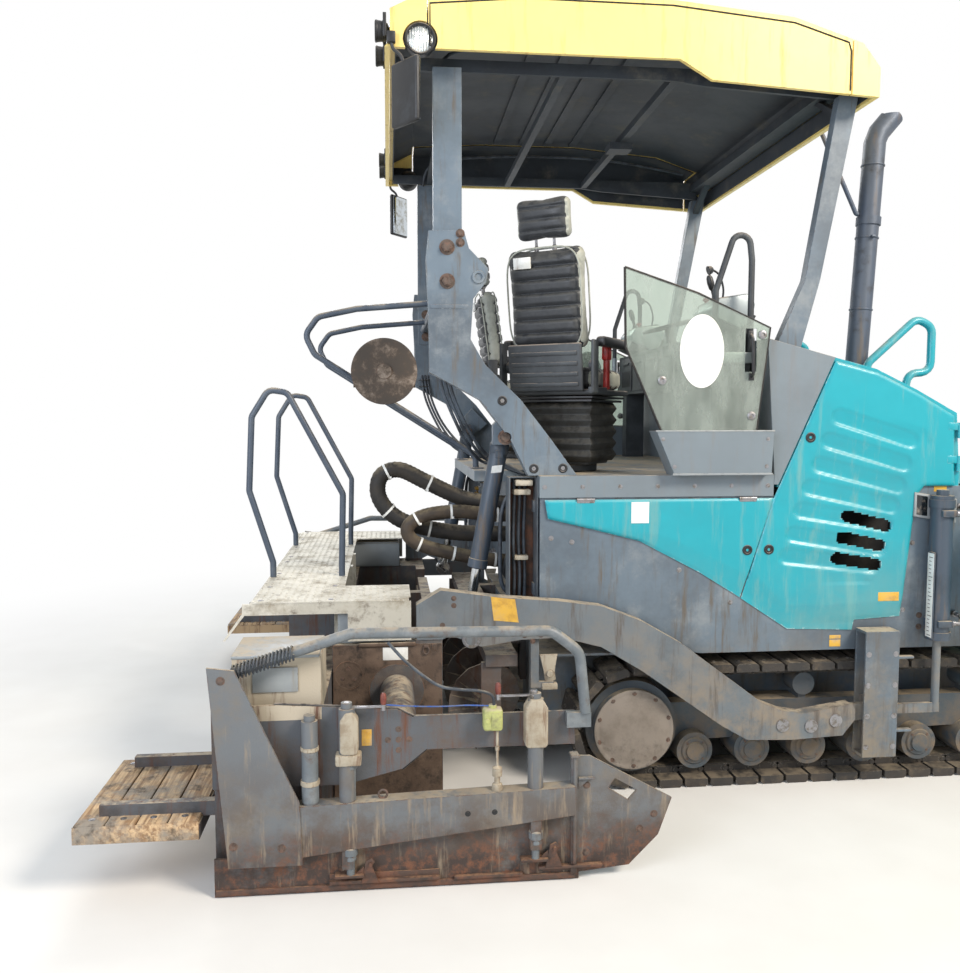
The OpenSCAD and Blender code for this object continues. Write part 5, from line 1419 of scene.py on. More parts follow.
# Lower face of the roof's skin, from rear to front
UNDER = [(-2.006, 3.732), (-1.876, 3.798), (-1.376, 3.83), (-0.7, 3.83), (-0.1, 3.778),
         (0.226, 3.672), (0.313, 3.562)]


def skin(line, low, high):
    """A thin strip that follows a line of (x, z), between two heights from it."""
    return [(x, z + low) for x, z in line] + [(x, z + high) for x, z in reversed(line)]


class PAVER_OT_roof(bpy.types.Operator):
    """Dark lining under the roof, seals of its flaps and beads pressed in its skin"""

    bl_idname = "paver.roof"
    bl_label = "Roof lining"

    def execute(self, context):
        flap = [(-1.852, 3.7995)] + UNDER[2:5] + [(0.19, 3.6837)]
        pair("flap_lining", "roof_flap_{}", "roof_liner_dark",
             [("plate", skin(flap, -0.006, -0.001), 0.992, 1.2225),
              ("plate", [(-1.852, 3.606), (-0.663, 3.606), (-0.503, 3.516), (0.19, 3.475),
                         (0.19, 3.682), (-0.1, 3.776), (-0.7, 3.828), (-1.376, 3.828),
                         (-1.852, 3.797)], 1.2215, 1.2254)])
        seal = [(-1.846, 3.6), (-1.846, 3.79), (-1.4, 3.832), (-0.7, 3.832),
                (-0.1, 3.78), (0.175, 3.7), (0.188, 3.66), (0.188, 3.475)]
        pair("flap_seal", "roof_flap_{}", "rubber_seal",
             [("tube", [(x, 1.2505, z) for x, z in seal], 0.004, 8)])
        solid("roof_end_lining", "tractor", "roof_liner_dark",
              [("plate", skin([(0.206, 3.6785), (0.226, 3.6715), (0.3, 3.578)], -0.005, -0.001),
                -1.222, 1.222),
               ("plate", skin([(-1.998, 3.735), (-1.876, 3.798), (-1.868, 3.7985)], -0.005,
                              -0.001), -1.15, 1.15),
               ("plate", [(0.3095, 3.465), (0.315, 3.465), (0.315, 3.56), (0.3095, 3.56)],
                -1.222, 1.222),
               ("plate", [(-2.0055, 3.6), (-2.001, 3.6), (-2.001, 3.73), (-2.0055, 3.73)],
                -1.222, 1.222)])
        pair("roof_side_lining", "tractor", "roof_liner_dark",
             [("plate", [(0.206, 3.478), (0.309, 3.472), (0.309, 3.56), (0.226, 3.664),
                         (0.206, 3.67)], 1.2215, 1.2254)])
        # Beads pressed along the skin, 6 mm proud
        top = [(-1.85, 3.8292), (-1.4, 3.858), (-0.7, 3.858), (-0.1, 3.806), (0.15, 3.7303)]
        pair("roof_beads", "tractor", "roof_yellow_enamel",
             [("plate", skin(top, -0.003, 0.006), y, y + 0.055, 0.0025) for y in (0.25, 0.66)])
        # Cable under the ceiling, from the corner lamp to the front
        pair("roof_cable", "tractor", "line_hose_rubber",
             [("tube", softened([(-1.79, 1.05, 3.55), (-1.7, 0.97, 3.69), (-1.2, 0.955, 3.745),
                                 (-0.5, 0.955, 3.74), (0.1, 0.97, 3.66)], 6), 0.009, 8)])
        return {"FINISHED"}


class PAVER_OT_lamps(bpy.types.Operator):
    """Work lamps, round corner lamps and mirrors of the roof"""

    bl_idname = "paver.lamps"
    bl_label = "Lamps and mirrors"

    def execute(self, context):
        housing, lens, rim, glass = [], [], [], []
        for y in (1.19, 0.9):
            at, back = (-2.03, y, 3.68), (-1, 0, 0)
            housing += [("turned", at, back, [(0.018, -0.004), (0.02, 0.004), (0.034, 0.01),
                                              (0.043, 0.03), (0.046, 0.052), (0.0455, 0.058),
                                              (0.04, 0.058)], 28),
                        ("box", (-2.062, y - 0.05, 3.66), (-2.046, y + 0.05, 3.7), 0.003),
                        ("box", (-2.062, y - 0.053, 3.64), (-2.046, y - 0.047, 3.745), 0.002),
                        ("box", (-2.062, y + 0.047, 3.64), (-2.046, y + 0.053, 3.745), 0.002)]
            # Cooling fins round the housing
            housing += [("turned", (-2.03 - x, y, 3.68), back,
                         [(0.03, 0), (r, 0.001), (r, 0.004), (0.03, 0.005)], 28)
                        for x, r in ((0.014, 0.042), (0.022, 0.045), (0.03, 0.047))]
            rim += [("turned", at, back, [(0.0465, 0.056), (0.048, 0.06), (0.048, 0.067),
                                          (0.0445, 0.0695), (0.041, 0.066), (0.041, 0.057)], 28)]
            lens += [("turned", at, back, [(0.0412, 0.056), (0.0412, 0.0625), (0.034, 0.0655),
                                           (0.018, 0.0672), (0.0, 0.0675)], 28)]
        # Corner lamp set in the notch of the roof's side
        at, out = (-1.891, 1.18, 3.631), (0, 1, 0)
        housing += [("turned", at, out, [(0.03, -0.02), (0.058, 0.0), (0.068, 0.02),
                                         (0.07, 0.046), (0.06, 0.046)], 36),
                    ("box", (-2.0, 1.18, 3.624), (-1.868, 1.225, 3.708), 0.006)]
        rim += [("turned", at, out, [(0.07, 0.04), (0.0725, 0.048), (0.0725, 0.07),
                                     (0.067, 0.076), (0.06, 0.07), (0.06, 0.046)], 36)]
        lens += [("turned", at, out, [(0.0602, 0.044), (0.0602, 0.062), (0.048, 0.068),
                                      (0.024, 0.0712), (0.0, 0.072)], 36)]
        # Mirror turned towards the operators
        turn = Matrix.Rotation(math.radians(-37), 3, "Z")
        face = Vector((-1.96, 1.275, 3.38)) + turn @ Vector((0.016, 0, 0))
        housing += [("box", (-1.974, 1.18, 3.235), (-1.946, 1.37, 3.525), 0.012,
                     {"turn": turn, "steps": 3}),
                    ("box", (-2.045, 1.2505, 3.6), (-2.005, 1.28, 3.65), 0.004),
                    ("tube", softened([(-2.025, 1.265, 3.612), (-2.015, 1.266, 3.575),
                                       (-1.982, 1.268, 3.545), (-1.968, 1.27, 3.5),
                                       (-1.97, 1.272, 3.4)], 5), 0.008, 12)]
        half = Vector((0.002, 0.084, 0.134))
        glass += [("box", face - half, face + half, 0.0015, {"turn": turn})]
        made = pair("lamp_housings", "tractor", "black_plastic", housing)
        pair("lamp_rims", "tractor", "black_plastic", rim)
        pair("lamp_lenses", "tractor", "pressed_lamp_glass", lens)
        pair("mirror_glasses", "tractor", "silvered_mirror", glass)
        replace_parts(made[0], "lamps")
        return {"FINISHED"}


IDLER_X, SPROCKET_X, AXLE_Z = 2.005, -0.825, 0.318
PITCH_R = 0.261  # of the chain's pitch line round idler and sprocket
TRACK_BASE = IDLER_X - SPROCKET_X
SHOES = 54
TRACK_STEP = (2 * TRACK_BASE + math.tau * PITCH_R) / SHOES


def track_place(q):
    """A place (x, z) on the chain's pitch line, as far as q along it from the idler's top."""
    base, half, r = TRACK_BASE, math.pi * PITCH_R, PITCH_R
    if q < base:
        return Vector((IDLER_X - q, AXLE_Z + r))
    if q < base + half:
        a = (q - base) / r
        return Vector((SPROCKET_X - r * math.sin(a), AXLE_Z + r * math.cos(a)))
    if q < 2 * base + half:
        return Vector((SPROCKET_X + q - base - half, AXLE_Z - r))
    a = (q - 2 * base - half) / r
    return Vector((IDLER_X + r * math.sin(a), AXLE_Z - r * math.cos(a)))


def link_tree():
    """A chain link on each point: a waisted plate with two eyes and the heads of its pins."""
    tree, given = new_tree("chain_links", ("Pitch", "Height", "Thickness"))
    size = add(tree, "ShaderNodeCombineXYZ",
               {"X": times(tree, given["Pitch"], 0.8), "Y": given["Thickness"],
                "Z": times(tree, given["Height"], 0.72)})
    whole = add(tree, "GeometryNodeJoinGeometry")
    waist = add(tree, "GeometryNodeMeshCube", {"Size": size.outputs[0]})
    tree.links.new(waist.outputs["Mesh"], whole.inputs[0])
    for radius, depth in ((0.5, 1.25), (0.26, 2.4)):
        eye = add(tree, "GeometryNodeMeshCylinder",
                  {"Vertices": 12, "Radius": times(tree, given["Height"], radius),
                   "Depth": times(tree, given["Thickness"], depth)})
        for way in (-0.4, 0.4):
            place = add(tree, "ShaderNodeCombineXYZ", {"X": times(tree, given["Pitch"], way)})
            put = add(tree, "GeometryNodeTransform",
                      {"Geometry": eye.outputs["Mesh"], "Translation": place.outputs[0],
                       "Rotation": (math.pi / 2, 0, 0)})
            tree.links.new(put.outputs[0], whole.inputs[0])
    turn = add(tree, "GeometryNodeInputNamedAttribute", {"Name": "turn"}, data_type="FLOAT")
    spin = add(tree, "ShaderNodeCombineXYZ", {"Y": turn.outputs["Attribute"]})
    return end_on_points(tree, given, whole.outputs[0], Rotation=spin.outputs[0])


class PAVER_OT_tracks(bpy.types.Operator):
    """Pad bolts, chain links, roller caps and final-drive covers of the tracks"""

    bl_idname = "paver.tracks"
    bl_label = "Tracks"

    def execute(self, context):
        links = link_tree()
        pads, places, turns = [], [], []
        for i in range(SHOES):
            a, b = track_place(i * TRACK_STEP), track_place((i + 1) * TRACK_STEP)
            middle, way = (a + b) / 2, (b - a).normalized()
            out = Vector((way.y, -way.x))
            places.append(middle)
            turns.append(math.atan2(-way.y, way.x))
            if middle.y < 0.1:
                continue
            for along in (-0.03, 0.03):
                for y in (0.935, 1.12):
                    at = middle + way * along + out * 0.057
                    pads.append(((at.x, y, at.y), (out.x, 0, out.y)))
        bolt_pair("pad_bolts", "tractor", pads, "track_cast_steel", "shoe", size=0.024,
                  height=0.006)
        for word, side in SIDES.items():
            seed = points_object("link_points_" + word,
                                 [(p.x, side * 1.0825, p.y) for p in places], "turn", "FLOAT",
                                 turns)
            mesh = grown(seed, links, {"Pitch": TRACK_STEP, "Height": 0.05, "Thickness": 0.008,
                                       "Finish": FINISHES["track_cast_steel"]})
            dress(mesh, "chain_links_" + word, "tractor", "track_cast_steel", 40)
        cover, out = (SPROCKET_X, 1.186, AXLE_Z), (0, 1, 0)
        pair("drive_cover", "tractor", "roller_cover_enamel",
             [("turned", cover, out, [(0.196, 0), (0.2045, 0.003), (0.2045, 0.0105),
                                      (0.199, 0.0125), (0.19, 0.01), (0.178, 0.0085),
                                      (0.168, 0.012), (0.09, 0.0132), (0.0, 0.0138)], 64)])
        bolt_pair("drive_bolts", "tractor",
                  outward(1.1955, circle((SPROCKET_X, AXLE_Z), 0.19, 10, math.pi / 10)),
                  "rusted_bolt_steel", "worn_steel", size=0.018, height=0.003)
        caps, heads = [], []
        for i in range(8):
            x, z = -0.485 + i * 2.15 / 7, 0.1753
            caps.append(("turned", (x, 1.133, z), out,
                         [(0.07, 0), (0.072, 0.004), (0.066, 0.01), (0.05, 0.012),
                          (0.046, 0.022), (0.02, 0.024), (0.0, 0.025)], 28))
            heads += circle((x, z), 0.058, 4, math.pi / 4)
        caps.append(("turned", (IDLER_X, 1.086, AXLE_Z), out,
                     [(0.2, 0), (0.205, 0.004), (0.2, 0.012), (0.12, 0.016),
                      (0.11, 0.03), (0.06, 0.04), (0.0, 0.042)], 48))
        pair("roller_caps", "tractor", "track_frame_enamel", caps)
        bolt_pair("roller_cap_bolts", "tractor", outward(1.142, heads), "rusted_bolt_steel",
                  "worn_steel", size=0.014, height=0.004)
        return {"FINISHED"}


class PAVER_OT_gates(bpy.types.Operator):
    """Spindle housings, cranks, skid irons, sensor and string of the side gates"""

    bl_idname = "paver.gates"
    bl_label = "Side gates"

    def execute(self, context):
        body, y = "side_gate_{}", 2.025
        up, out = (0, 0, 1), (0, 1, 0)
        housings = []
        for x, low, high, wide in ((-1.47, 0.575, 0.772, 0.046), (-2.215, 0.575, 0.745, 0.036)):
            housings.append(("plate", [(x - wide, low + 0.012), (x - wide + 0.01, low),
                                       (x + wide - 0.01, low), (x + wide, low + 0.012),
                                       (x + wide, high - 0.035), (x + wide - 0.022, high),
                                       (x - wide + 0.022, high), (x - wide, high - 0.035)],
                             1.9935, 2.06, 0.006, {"steps": 3}))
        housings += [("box", (-2.27, 1.9935, 0.53), (-2.168, 2.063, 0.574), 0.008),
                     ("rod", (-2.37, y, 0.59), up, 0.036, 0.016),
                     ("rod", (-2.37, y, 0.452), up, 0.038, 0.02)]
        pair("spindle_housings", body, "beige_housing_enamel", housings)
        # Spindle tubes, collars and the bearings under the beam
        tubes = [("turned", (-2.37, y, 0.385), up,
                  [(0.034, 0), (0.034, 0.06), (0.0325, 0.068), (0.0325, 0.2), (0.028, 0.205)], 24)]
        for x, top, beam, foot in ((-1.47, 0.572, 0.28, 0.11), (-2.215, 0.532, 0.2, 0.08)):
            tubes += [("turned", (x, y, top - 0.13), up,
                       [(0.0235, -0.05), (0.0235, 0.11), (0.03, 0.112), (0.03, 0.13)], 24),
                      ("turned", (x, 2.037, foot), up,
                       [(0.016, 0), (0.016, 0.06), (0.0225, 0.062), (0.0225, 0.074),
                        (0.019, 0.08), (0.028, 0.084), (0.028, 0.112), (0.019, 0.118),
                        (0.019, beam - foot)], 20)]
        pair("spindle_tubes", body, "rail_enamel", tubes)
        # Cranks: square nut, flat arm and a turned grip
        arms, grips = [], []
        for x, z, way in ((-1.478, 0.77, -1), (-2.225, 0.743, 1)):
            end = x + way * 0.145
            arms += [("turned", (x, y, z), up,
                      [(0.02, 0), (0.022, 0.004), (0.022, 0.018), (0.017, 0.022),
                       (0.017, 0.032), (0.013, 0.036)], 6),
                     ("box", (min(x, end), y - 0.008, z + 0.01),
                      (max(x, end), y + 0.008, z + 0.018), 0.003),
                     ("rod", (end, y, z - 0.002), up, 0.01, 0.028)]
            grips.append(("turned", (end, y, z + 0.016), up,
                          [(0.006, 0), (0.01, 0.006), (0.0125, 0.026), (0.0115, 0.044),
                           (0.007, 0.052), (0.0, 0.053)], 18))
        pair("crank_arms", body, "zinc_bolt_steel", arms)
        pair("crank_grips", body, "oxblood_grip", grips)
        # Skid irons with their claws along the sole
        irons = [("box", (-2.745, 2.01, 0.006), (-1.3, 2.021, 0.03), 0.003),
                 ("box", (-2.3, 2.011, 0.036), (-1.86, 2.034, 0.05), 0.003),
                 ("box", (-2.3, 2.011, 0.036), (-1.86, 2.018, 0.074), 0.002),
                 ("box", (-1.8, 2.011, 0.03), (-1.52, 2.03, 0.044), 0.003),
                 ("box", (-1.455, 2.011, 0.056), (-1.19, 2.036, 0.068), 0.003),
                 ("box", (-1.455, 2.011, 0.04), (-1.19, 2.017, 0.068), 0.002)]
        for x, z in ((-1.47, 0.098), (-2.215, 0.07)):
            irons += [("box", (x - 0.062, 2.01, z), (x + 0.052, 2.054, z + 0.012), 0.003),
                      ("plate", [(x + 0.042, z - 0.03), (x + 0.06, z + 0.062),
                                 (x + 0.084, z + 0.074), (x + 0.096, z + 0.056),
                                 (x + 0.082, z + 0.04), (x + 0.112, z - 0.03)], 2.03, 2.04, 0.002),
                      ("rod", (x + 0.078, 2.022, z + 0.052), out, 0.007, 0.032),
                      ("plate", [(x + 0.018, z + 0.01), (x + 0.052, z + 0.04),
                                 (x + 0.052, z + 0.01)], 2.03, 2.038, 0.001)]
        pair("skid_irons", body, "rusted_skid_iron", irons)
        # Nose plate: welded edge iron, hinge rod, corner plate and the lug that holds it
        pair("nose_irons", body, "gate_enamel",
             [("box", (-1.322, 1.9995, 0.03), (-1.296, 2.03, 0.537), 0.003),
              ("rod", (-1.309, 2.034, 0.075), up, 0.007, 0.455),
              ("box", (-1.328, 1.9995, 0.523), (-1.292, 2.05, 0.536), 0.004),
              ("plate", [(-1.292, 0.38), (-1.292, 0.424), (-1.24, 0.424)], 2.011, 2.019, 0.002),
              ("box", (-1.292, 2.011, 0.424), (-1.225, 2.03, 0.432), 0.002),
              ("plate", [(-2.745, 0.9), (-2.655, 0.889), (-2.43, 0.4), (-2.44, 0.395),
                         (-2.66, 0.872), (-2.745, 0.884)], 2.064, 2.0655)])
        bolt_pair("beam_plugs", body, outward(2.0595, [(-1.748, 0.318), (-1.64, 0.32)]),
                  "black_plastic", "gate_steel", size=0.016, height=0.002)
        bolt_pair("gate_bolts", body,
                  outward(2.0655, [(-2.7, 0.89), (-2.665, 0.23), (-2.48, 0.215)]), size=0.024,
                  height=0.004)
        bolt_pair("nose_bolts", body,
                  outward(2.011, [(-1.255, 0.395), (-1.255, 0.11), (-1.03, 0.2), (-0.97, 0.26)]),
                  size=0.022, height=0.005)
        # Eye lying on the beam, and the sensor on its stand with a string to the rear crank
        ring = [(x, 2.03, z) for x, z in circle((-2.085, 0.402), 0.017, 16, closed=True)]
        solid("beam_eye", "side_gate_right", "rusted_bolt_steel",
              [("tube", ring, 0.005, 8), ("rod", (-2.085, 2.03, 0.378), up, 0.005, 0.012)], -1)
        solid("sensor_stand", "side_gate_right", "beige_housing_enamel",
              [("turned", (-1.626, y, 0.392), up,
                [(0.022, 0), (0.024, 0.012), (0.02, 0.03), (0.012, 0.034), (0.012, 0.06),
                 (0.02, 0.064), (0.02, 0.098), (0.008, 0.104), (0.0055, 0.106),
                 (0.0055, 0.262), (0.004, 0.264)], 20),
               ("rod", (-1.626, y, 0.56), up, 0.009, 0.018)], -1)
        solid("sensor_box", "side_gate_right", "sensor_housing",
              [("box", (-1.684, y - 0.028, 0.648), (-1.606, y + 0.03, 0.738), 0.012, {"steps": 3}),
               ("rod", (-1.645, y, 0.736), up, 0.016, 0.014),
               ("rod", (-1.668, y + 0.026, 0.692), out, 0.01, 0.01),
               ("box", (-1.652, y + 0.028, 0.664), (-1.616, y + 0.033, 0.722), 0.002)], -1)
        line_hose("sensor_string", "side_gate_right",
                  [(-2.082, y, 0.764), (-1.97, y, 0.754), (-1.858, y, 0.749), (-1.75, y, 0.75),
                   (-1.655, y, 0.745)], 0.003, -1, "blue_cable_pvc", False)
        solid("gate_plate_label", "screed_ext_right", "label_yellow_film",
              [("box", (-2.128, 1.9852, 0.585), (-2.168, 1.9862, 0.652), 0.0004)], -1)
        return {"FINISHED"}


class PAVER_OT_screed(bpy.types.Operator):
    """End wall, tube flanges, covers, latches, planks and cables of the screed"""

    bl_idname = "paver.screed"
    bl_label = "Screed"

    def execute(self, context):
        out, body = (0, 1, 0), "screed"
        face = 1.2752
        wall = [(-2.322, 0.06), (-1.803, 0.06), (-1.803, 0.812), (-2.322, 0.812)]
        tube, lid = (-2.02, 0.585), (-2.25, 0.667)
        hole = circle(tube, 0.131, 40, math.pi / 2, True)
        # The wall's skin runs round the flange: outline, a cut to the hole, and back
        outline = [wall[3], wall[0], wall[1], wall[2], (-2.02, 0.812)] + hole + [(-2.0201, 0.812)]
        pair("end_wall_skin", body, "heat_browned_steel",
             [("plate", outline, face, face + 0.0018)])
        pair("tube_flange", body, "heat_browned_steel",
             [("turned", (-2.02, 1.2755, 0.585), out,
               [(0.0822, 0.0018), (0.104, 0.0018), (0.106, 0.0008), (0.131, 0.0008),
                (0.131, 0.0002), (0.0822, 0.0002)], 48),
              ("turned", (-2.25, 1.2755, 0.667), out,
               [(0.069, 0), (0.071, 0.0008), (0.07, 0.0018), (0.06, 0.0018), (0.058, 0.001),
                (0.0, 0.001)], 40),
              ("box", (-2.2, 1.268, 0.806), (-1.93, 1.289, 0.822), 0.003),
              ("box", (-1.85, 1.2755, 0.775), (-1.828, 1.2795, 0.81), 0.001)])
        bolt_pair("flange_bolts", body, outward(1.2768, circle(tube, 0.107, 8, math.pi / 8))
                  + outward(1.2764, circle(lid, 0.032, 3, math.pi / 2)), size=0.016, height=0.001)
        pair("end_wall_plate", body, "label_white_film",
             [("box", (-2.086, 1.2768, 0.736), (-1.966, 1.2782, 0.798), 0.0005)])
        # Draw latch of the wall's lid
        ring = [(x, 1.284, z) for x, z in circle((-1.879, 0.782), 0.014, 20, closed=True,
                                                 tall=0.02)]
        pair("wall_latch", body, "rusted_bolt_steel",
             [("tube", ring, 0.004, 8),
              ("box", (-1.891, 1.277, 0.794), (-1.867, 1.288, 0.808), 0.002)])
        pair("deck_edge", body, "tread_plate_zinc",
             [("box", (-2.69, 1.2885, 1.0225), (-1.985, 1.2915, 1.0315), 0.0008)])
        # Rail on the end plate, and bolts round the inner tube's bearing
        ext = "screed_ext_{}"
        bearing = (-2.021, 0.605)
        bolt_pair("bearing_bolts", ext, outward(1.985, [bearing] + circle(bearing, 0.043, 4)),
                  size=0.017, height=0.0015)
        pair("end_plate_rim", ext, "black_plastic",
             [("tube", [(-2.51, 1.9775, 0.765), (-2.026, 1.9775, 0.732),
                        (-1.95, 1.9775, 0.693), (-1.937, 1.9775, 0.68),
                        (-1.902, 1.9775, 0.566), (-2.006, 1.9775, 0.482)], 0.006, 8)])
        # Cabinet: lid with a lip and a toggle
        pair("cabinet_lid", ext, "pale_grey_enamel",
             [("box", (-2.684, 1.616, 0.936), (-2.335, 1.934, 0.95), 0.004),
              ("box", (-2.6, 1.9335, 0.8), (-2.42, 1.937, 0.9), 0.002),
              ("box", (-2.52, 1.9335, 0.905), (-2.49, 1.944, 0.945), 0.003)])
        # Step: four sawn planks with an edge board
        planks = []
        for k in range(4):
            x = -3.276 + k * 0.119
            planks.append(("box", (x, 1.352, 0.309), (x + 0.113, 2.0285, 0.3245), 0.004))
        pair("step_planks", ext, "sawn_step_plank", planks)
        pair("step_edge", ext, "sawn_step_plank",
             [("box", (-3.2785, 2.0295, 0.252), (-2.802, 2.0345, 0.322), 0.003)])
        bolt_pair("step_bolts", ext,
                  [((x, y, 0.324), (0, 0, 1)) for x in (-3.22, -3.1, -2.985, -2.865)
                   for y in (1.4, 1.975)], "zinc_bolt_steel", "worn_steel", size=0.018,
                  height=0.003)
        # Burner boxes on the main screed
        pair("screed_boxes", body, "pale_grey_enamel",
             [("box", (-2.3, 0.955, 0.8155), (-1.975, 1.25, 0.985), 0.008),
              ("box", (-2.29, 0.965, 0.983), (-1.985, 1.24, 0.992), 0.003)])
        bolt_pair("deck_bolts", body,
                  [((x, y, 1.03), (0, 0, 1)) for x in (-2.66, -2.33)
                   for y in (0.1, 0.5, 0.9, 1.24)], "zinc_bolt_steel", "worn_steel",
                  size=0.02, height=0.003)
        # Cables at the right end: a wrapped one to the sensor, and a coiled one on the rail
        line_hose("sensor_cable", "side_gate_right",
                  [(-1.64, 2.03, 0.748), (-1.648, 2.036, 0.79), (-1.7, 2.041, 0.812),
                   (-1.783, 2.041, 0.821), (-1.857, 2.041, 0.837), (-1.93, 2.041, 0.886),
                   (-2.003, 2.041, 0.952), (-2.06, 2.041, 1.018)], 0.0065, -1,
                  "line_hose_rubber", False)
        turns, coil = 17, []
        for k in range(turns * 8 + 1):
            x = -2.665 + 0.24 * k / (turns * 8)
            z = 0.9264 + (x + 2.6) * 0.3096
            a = math.tau * k / 8
            coil.append((x, 2.0148 + 0.029 * math.cos(a), z + 0.029 * math.sin(a)))
        solid("coiled_cable", "screed_ext_right", "line_hose_rubber",
              [("tube", coil, 0.004, 8)], -1)
        return {"FINISHED"}


class PAVER_OT_arms(bpy.types.Operator):
    """Rings, pins, scales and blank plates of tow arms and levelling cylinders"""

    bl_idname = "paver.arms"
    bl_label = "Tow arms"

    def execute(self, context):
        out = (0, 1, 0)
        pair("arm_rings", "screed", "zinc_bolt_steel",
             [("turned", (x, 1.279, z), out, [(0.0225, 0.0005), (0.0335, 0.0005), (0.0345, 0.003),
                                              (0.033, 0.0065), (0.0235, 0.0065)], 32)
              for x, z in ((-0.08, 0.345), (0.07, 0.335), (0.2, 0.36))]
             + [("turned", (-1.66, 1.279, 0.83), out,
                 [(0.044, 0.0), (0.0455, 0.003), (0.044, 0.0062), (0.031, 0.0068),
                  (0.026, 0.0052), (0.0, 0.0052)], 36)])
        pair("arm_plates", "screed", "label_yellow_film",
             [("plate", [(-1.566, 1.034), (-1.448, 1.02), (-1.43, 0.905), (-1.552, 0.918)],
               1.2802, 1.2812)])
        bolt_pair("arm_bolts", "screed",
                  outward(1.2795, [(-1.745, 1.03), (-1.745, 0.995), (-1.8, 0.9), (-1.4, 0.84),
                                   (-1.32, 0.84), (-1.36, 0.81)]), size=0.018, height=0.003)
        # Link that hangs under the arm, with its clevis and pin
        pair("arm_link", "screed", "beige_housing_enamel",
             [("plate", [(-1.322, 0.735), (-1.23, 0.735), (-1.248, 0.655), (-1.238, 0.606),
                         (-1.292, 0.59), (-1.3, 0.655)], 1.238, 1.25, 0.003),
              ("rod", (-1.27, 1.232, 0.64), out, 0.017, 0.034),
              ("box", (-1.31, 1.226, 0.56), (-1.232, 1.262, 0.592), 0.005)])
        # Levelling cylinder: gland nut, two blocks for its lines, and a scale with its marks
        pair("level_glands", "tractor", "cylinder_enamel",
             [("turned", (0.755, 1.242, 0.756), (0, 0, 1),
               [(0.046, 0), (0.05, 0.004), (0.05, 0.028), (0.058, 0.032), (0.058, 0.044)], 8),
              ("box", (0.715, 1.292, 1.395), (0.795, 1.312, 1.43), 0.005),
              ("box", (0.715, 1.292, 0.83), (0.795, 1.312, 0.865), 0.005)])
        marks = [("box", (0.6905, 1.25, 0.785 + 0.02 * k),
                  (0.6926, 1.25 + (0.03 if k % 5 == 0 else 0.018), 0.788 + 0.02 * k), 0)
                 for k in range(21)]
        pair("level_marks", "tractor", "black_plastic", marks)
        pair("level_scale", "tractor", "label_white_film",
             [("box", (0.6915, 1.236, 0.775), (0.6935, 1.287, 1.208), 0.0005)])
        for k, z in enumerate((0.852, 1.412)):
            for word, side in SIDES.items():
                line_hose(f"level_line_{k}_{word}", "tractor",
                          [(0.79, 1.303, z), (0.825, 1.298, z), (0.865, 1.27, z + 0.01),
                           (0.88, 1.23, z + 0.02), (0.88, 1.185, z + 0.025)], 0.009, side)
        bolt_pair("bracket_bolts", "tractor",
                  outward(1.181, [(x, z) for z in (0.81, 0.87, 1.43, 1.49)
                                  for x in (0.69, 0.82)]), size=0.022, height=0.005)
        # Bolts of the guide columns
        bolt_pair("guide_bolts", "tractor",
                  outward(1.297, [(x, z) for x in (0.358, 0.502)
                                  for z in (0.22, 0.38, 0.54, 0.7)]), "zinc_bolt_steel",
                  "worn_steel", size=0.02, height=0.0025)
        # Lift cylinders: head, gland, ports, blank plate and pin
        way = Vector((-0.1832, 0, -0.9831))
        top = Vector((-1.474, 0.949, 1.798))

        def down(s, aside=0.0):
            return top + way * s + Vector((0, aside, 0))

        pair("lift_heads", "lift_barrels", "cylinder_enamel",
             [("turned", down(0.035), way, [(0.03, -0.012), (0.047, 0), (0.0495, 0.004),
                                            (0.0495, 0.05), (0.0465, 0.054)], 32),
              ("turned", down(0.64), way, [(0.0465, 0), (0.051, 0.003), (0.051, 0.045),
                                           (0.046, 0.05), (0.03, 0.052)], 32),
              ("box", down(0.09, 0.04) - Vector((0.02, 0.006, 0.02)),
               down(0.09, 0.04) + Vector((0.02, 0.01, 0.02)), 0.004)])
        pair("lift_pins", "lift_barrels", "rusted_bolt_steel",
             [("turned", (-1.474, 0.9, 1.798), out,
               [(0.02, 0), (0.024, 0.003), (0.024, 0.028)], 24),
              ("turned", (-1.474, 1.108, 1.798), out,
               [(0.0256, 0), (0.038, 0.0), (0.038, 0.006), (0.024, 0.008), (0.022, 0.014),
                (0.01, 0.015), (0.0, 0.0155)], 28)])
        pair("lift_plates", "lift_barrels", "label_white_film",
             [("plate", [(-1.527, 1.65), (-1.474, 1.655), (-1.48, 1.618), (-1.533, 1.613)],
               0.9943, 0.996)])
        return {"FINISHED"}


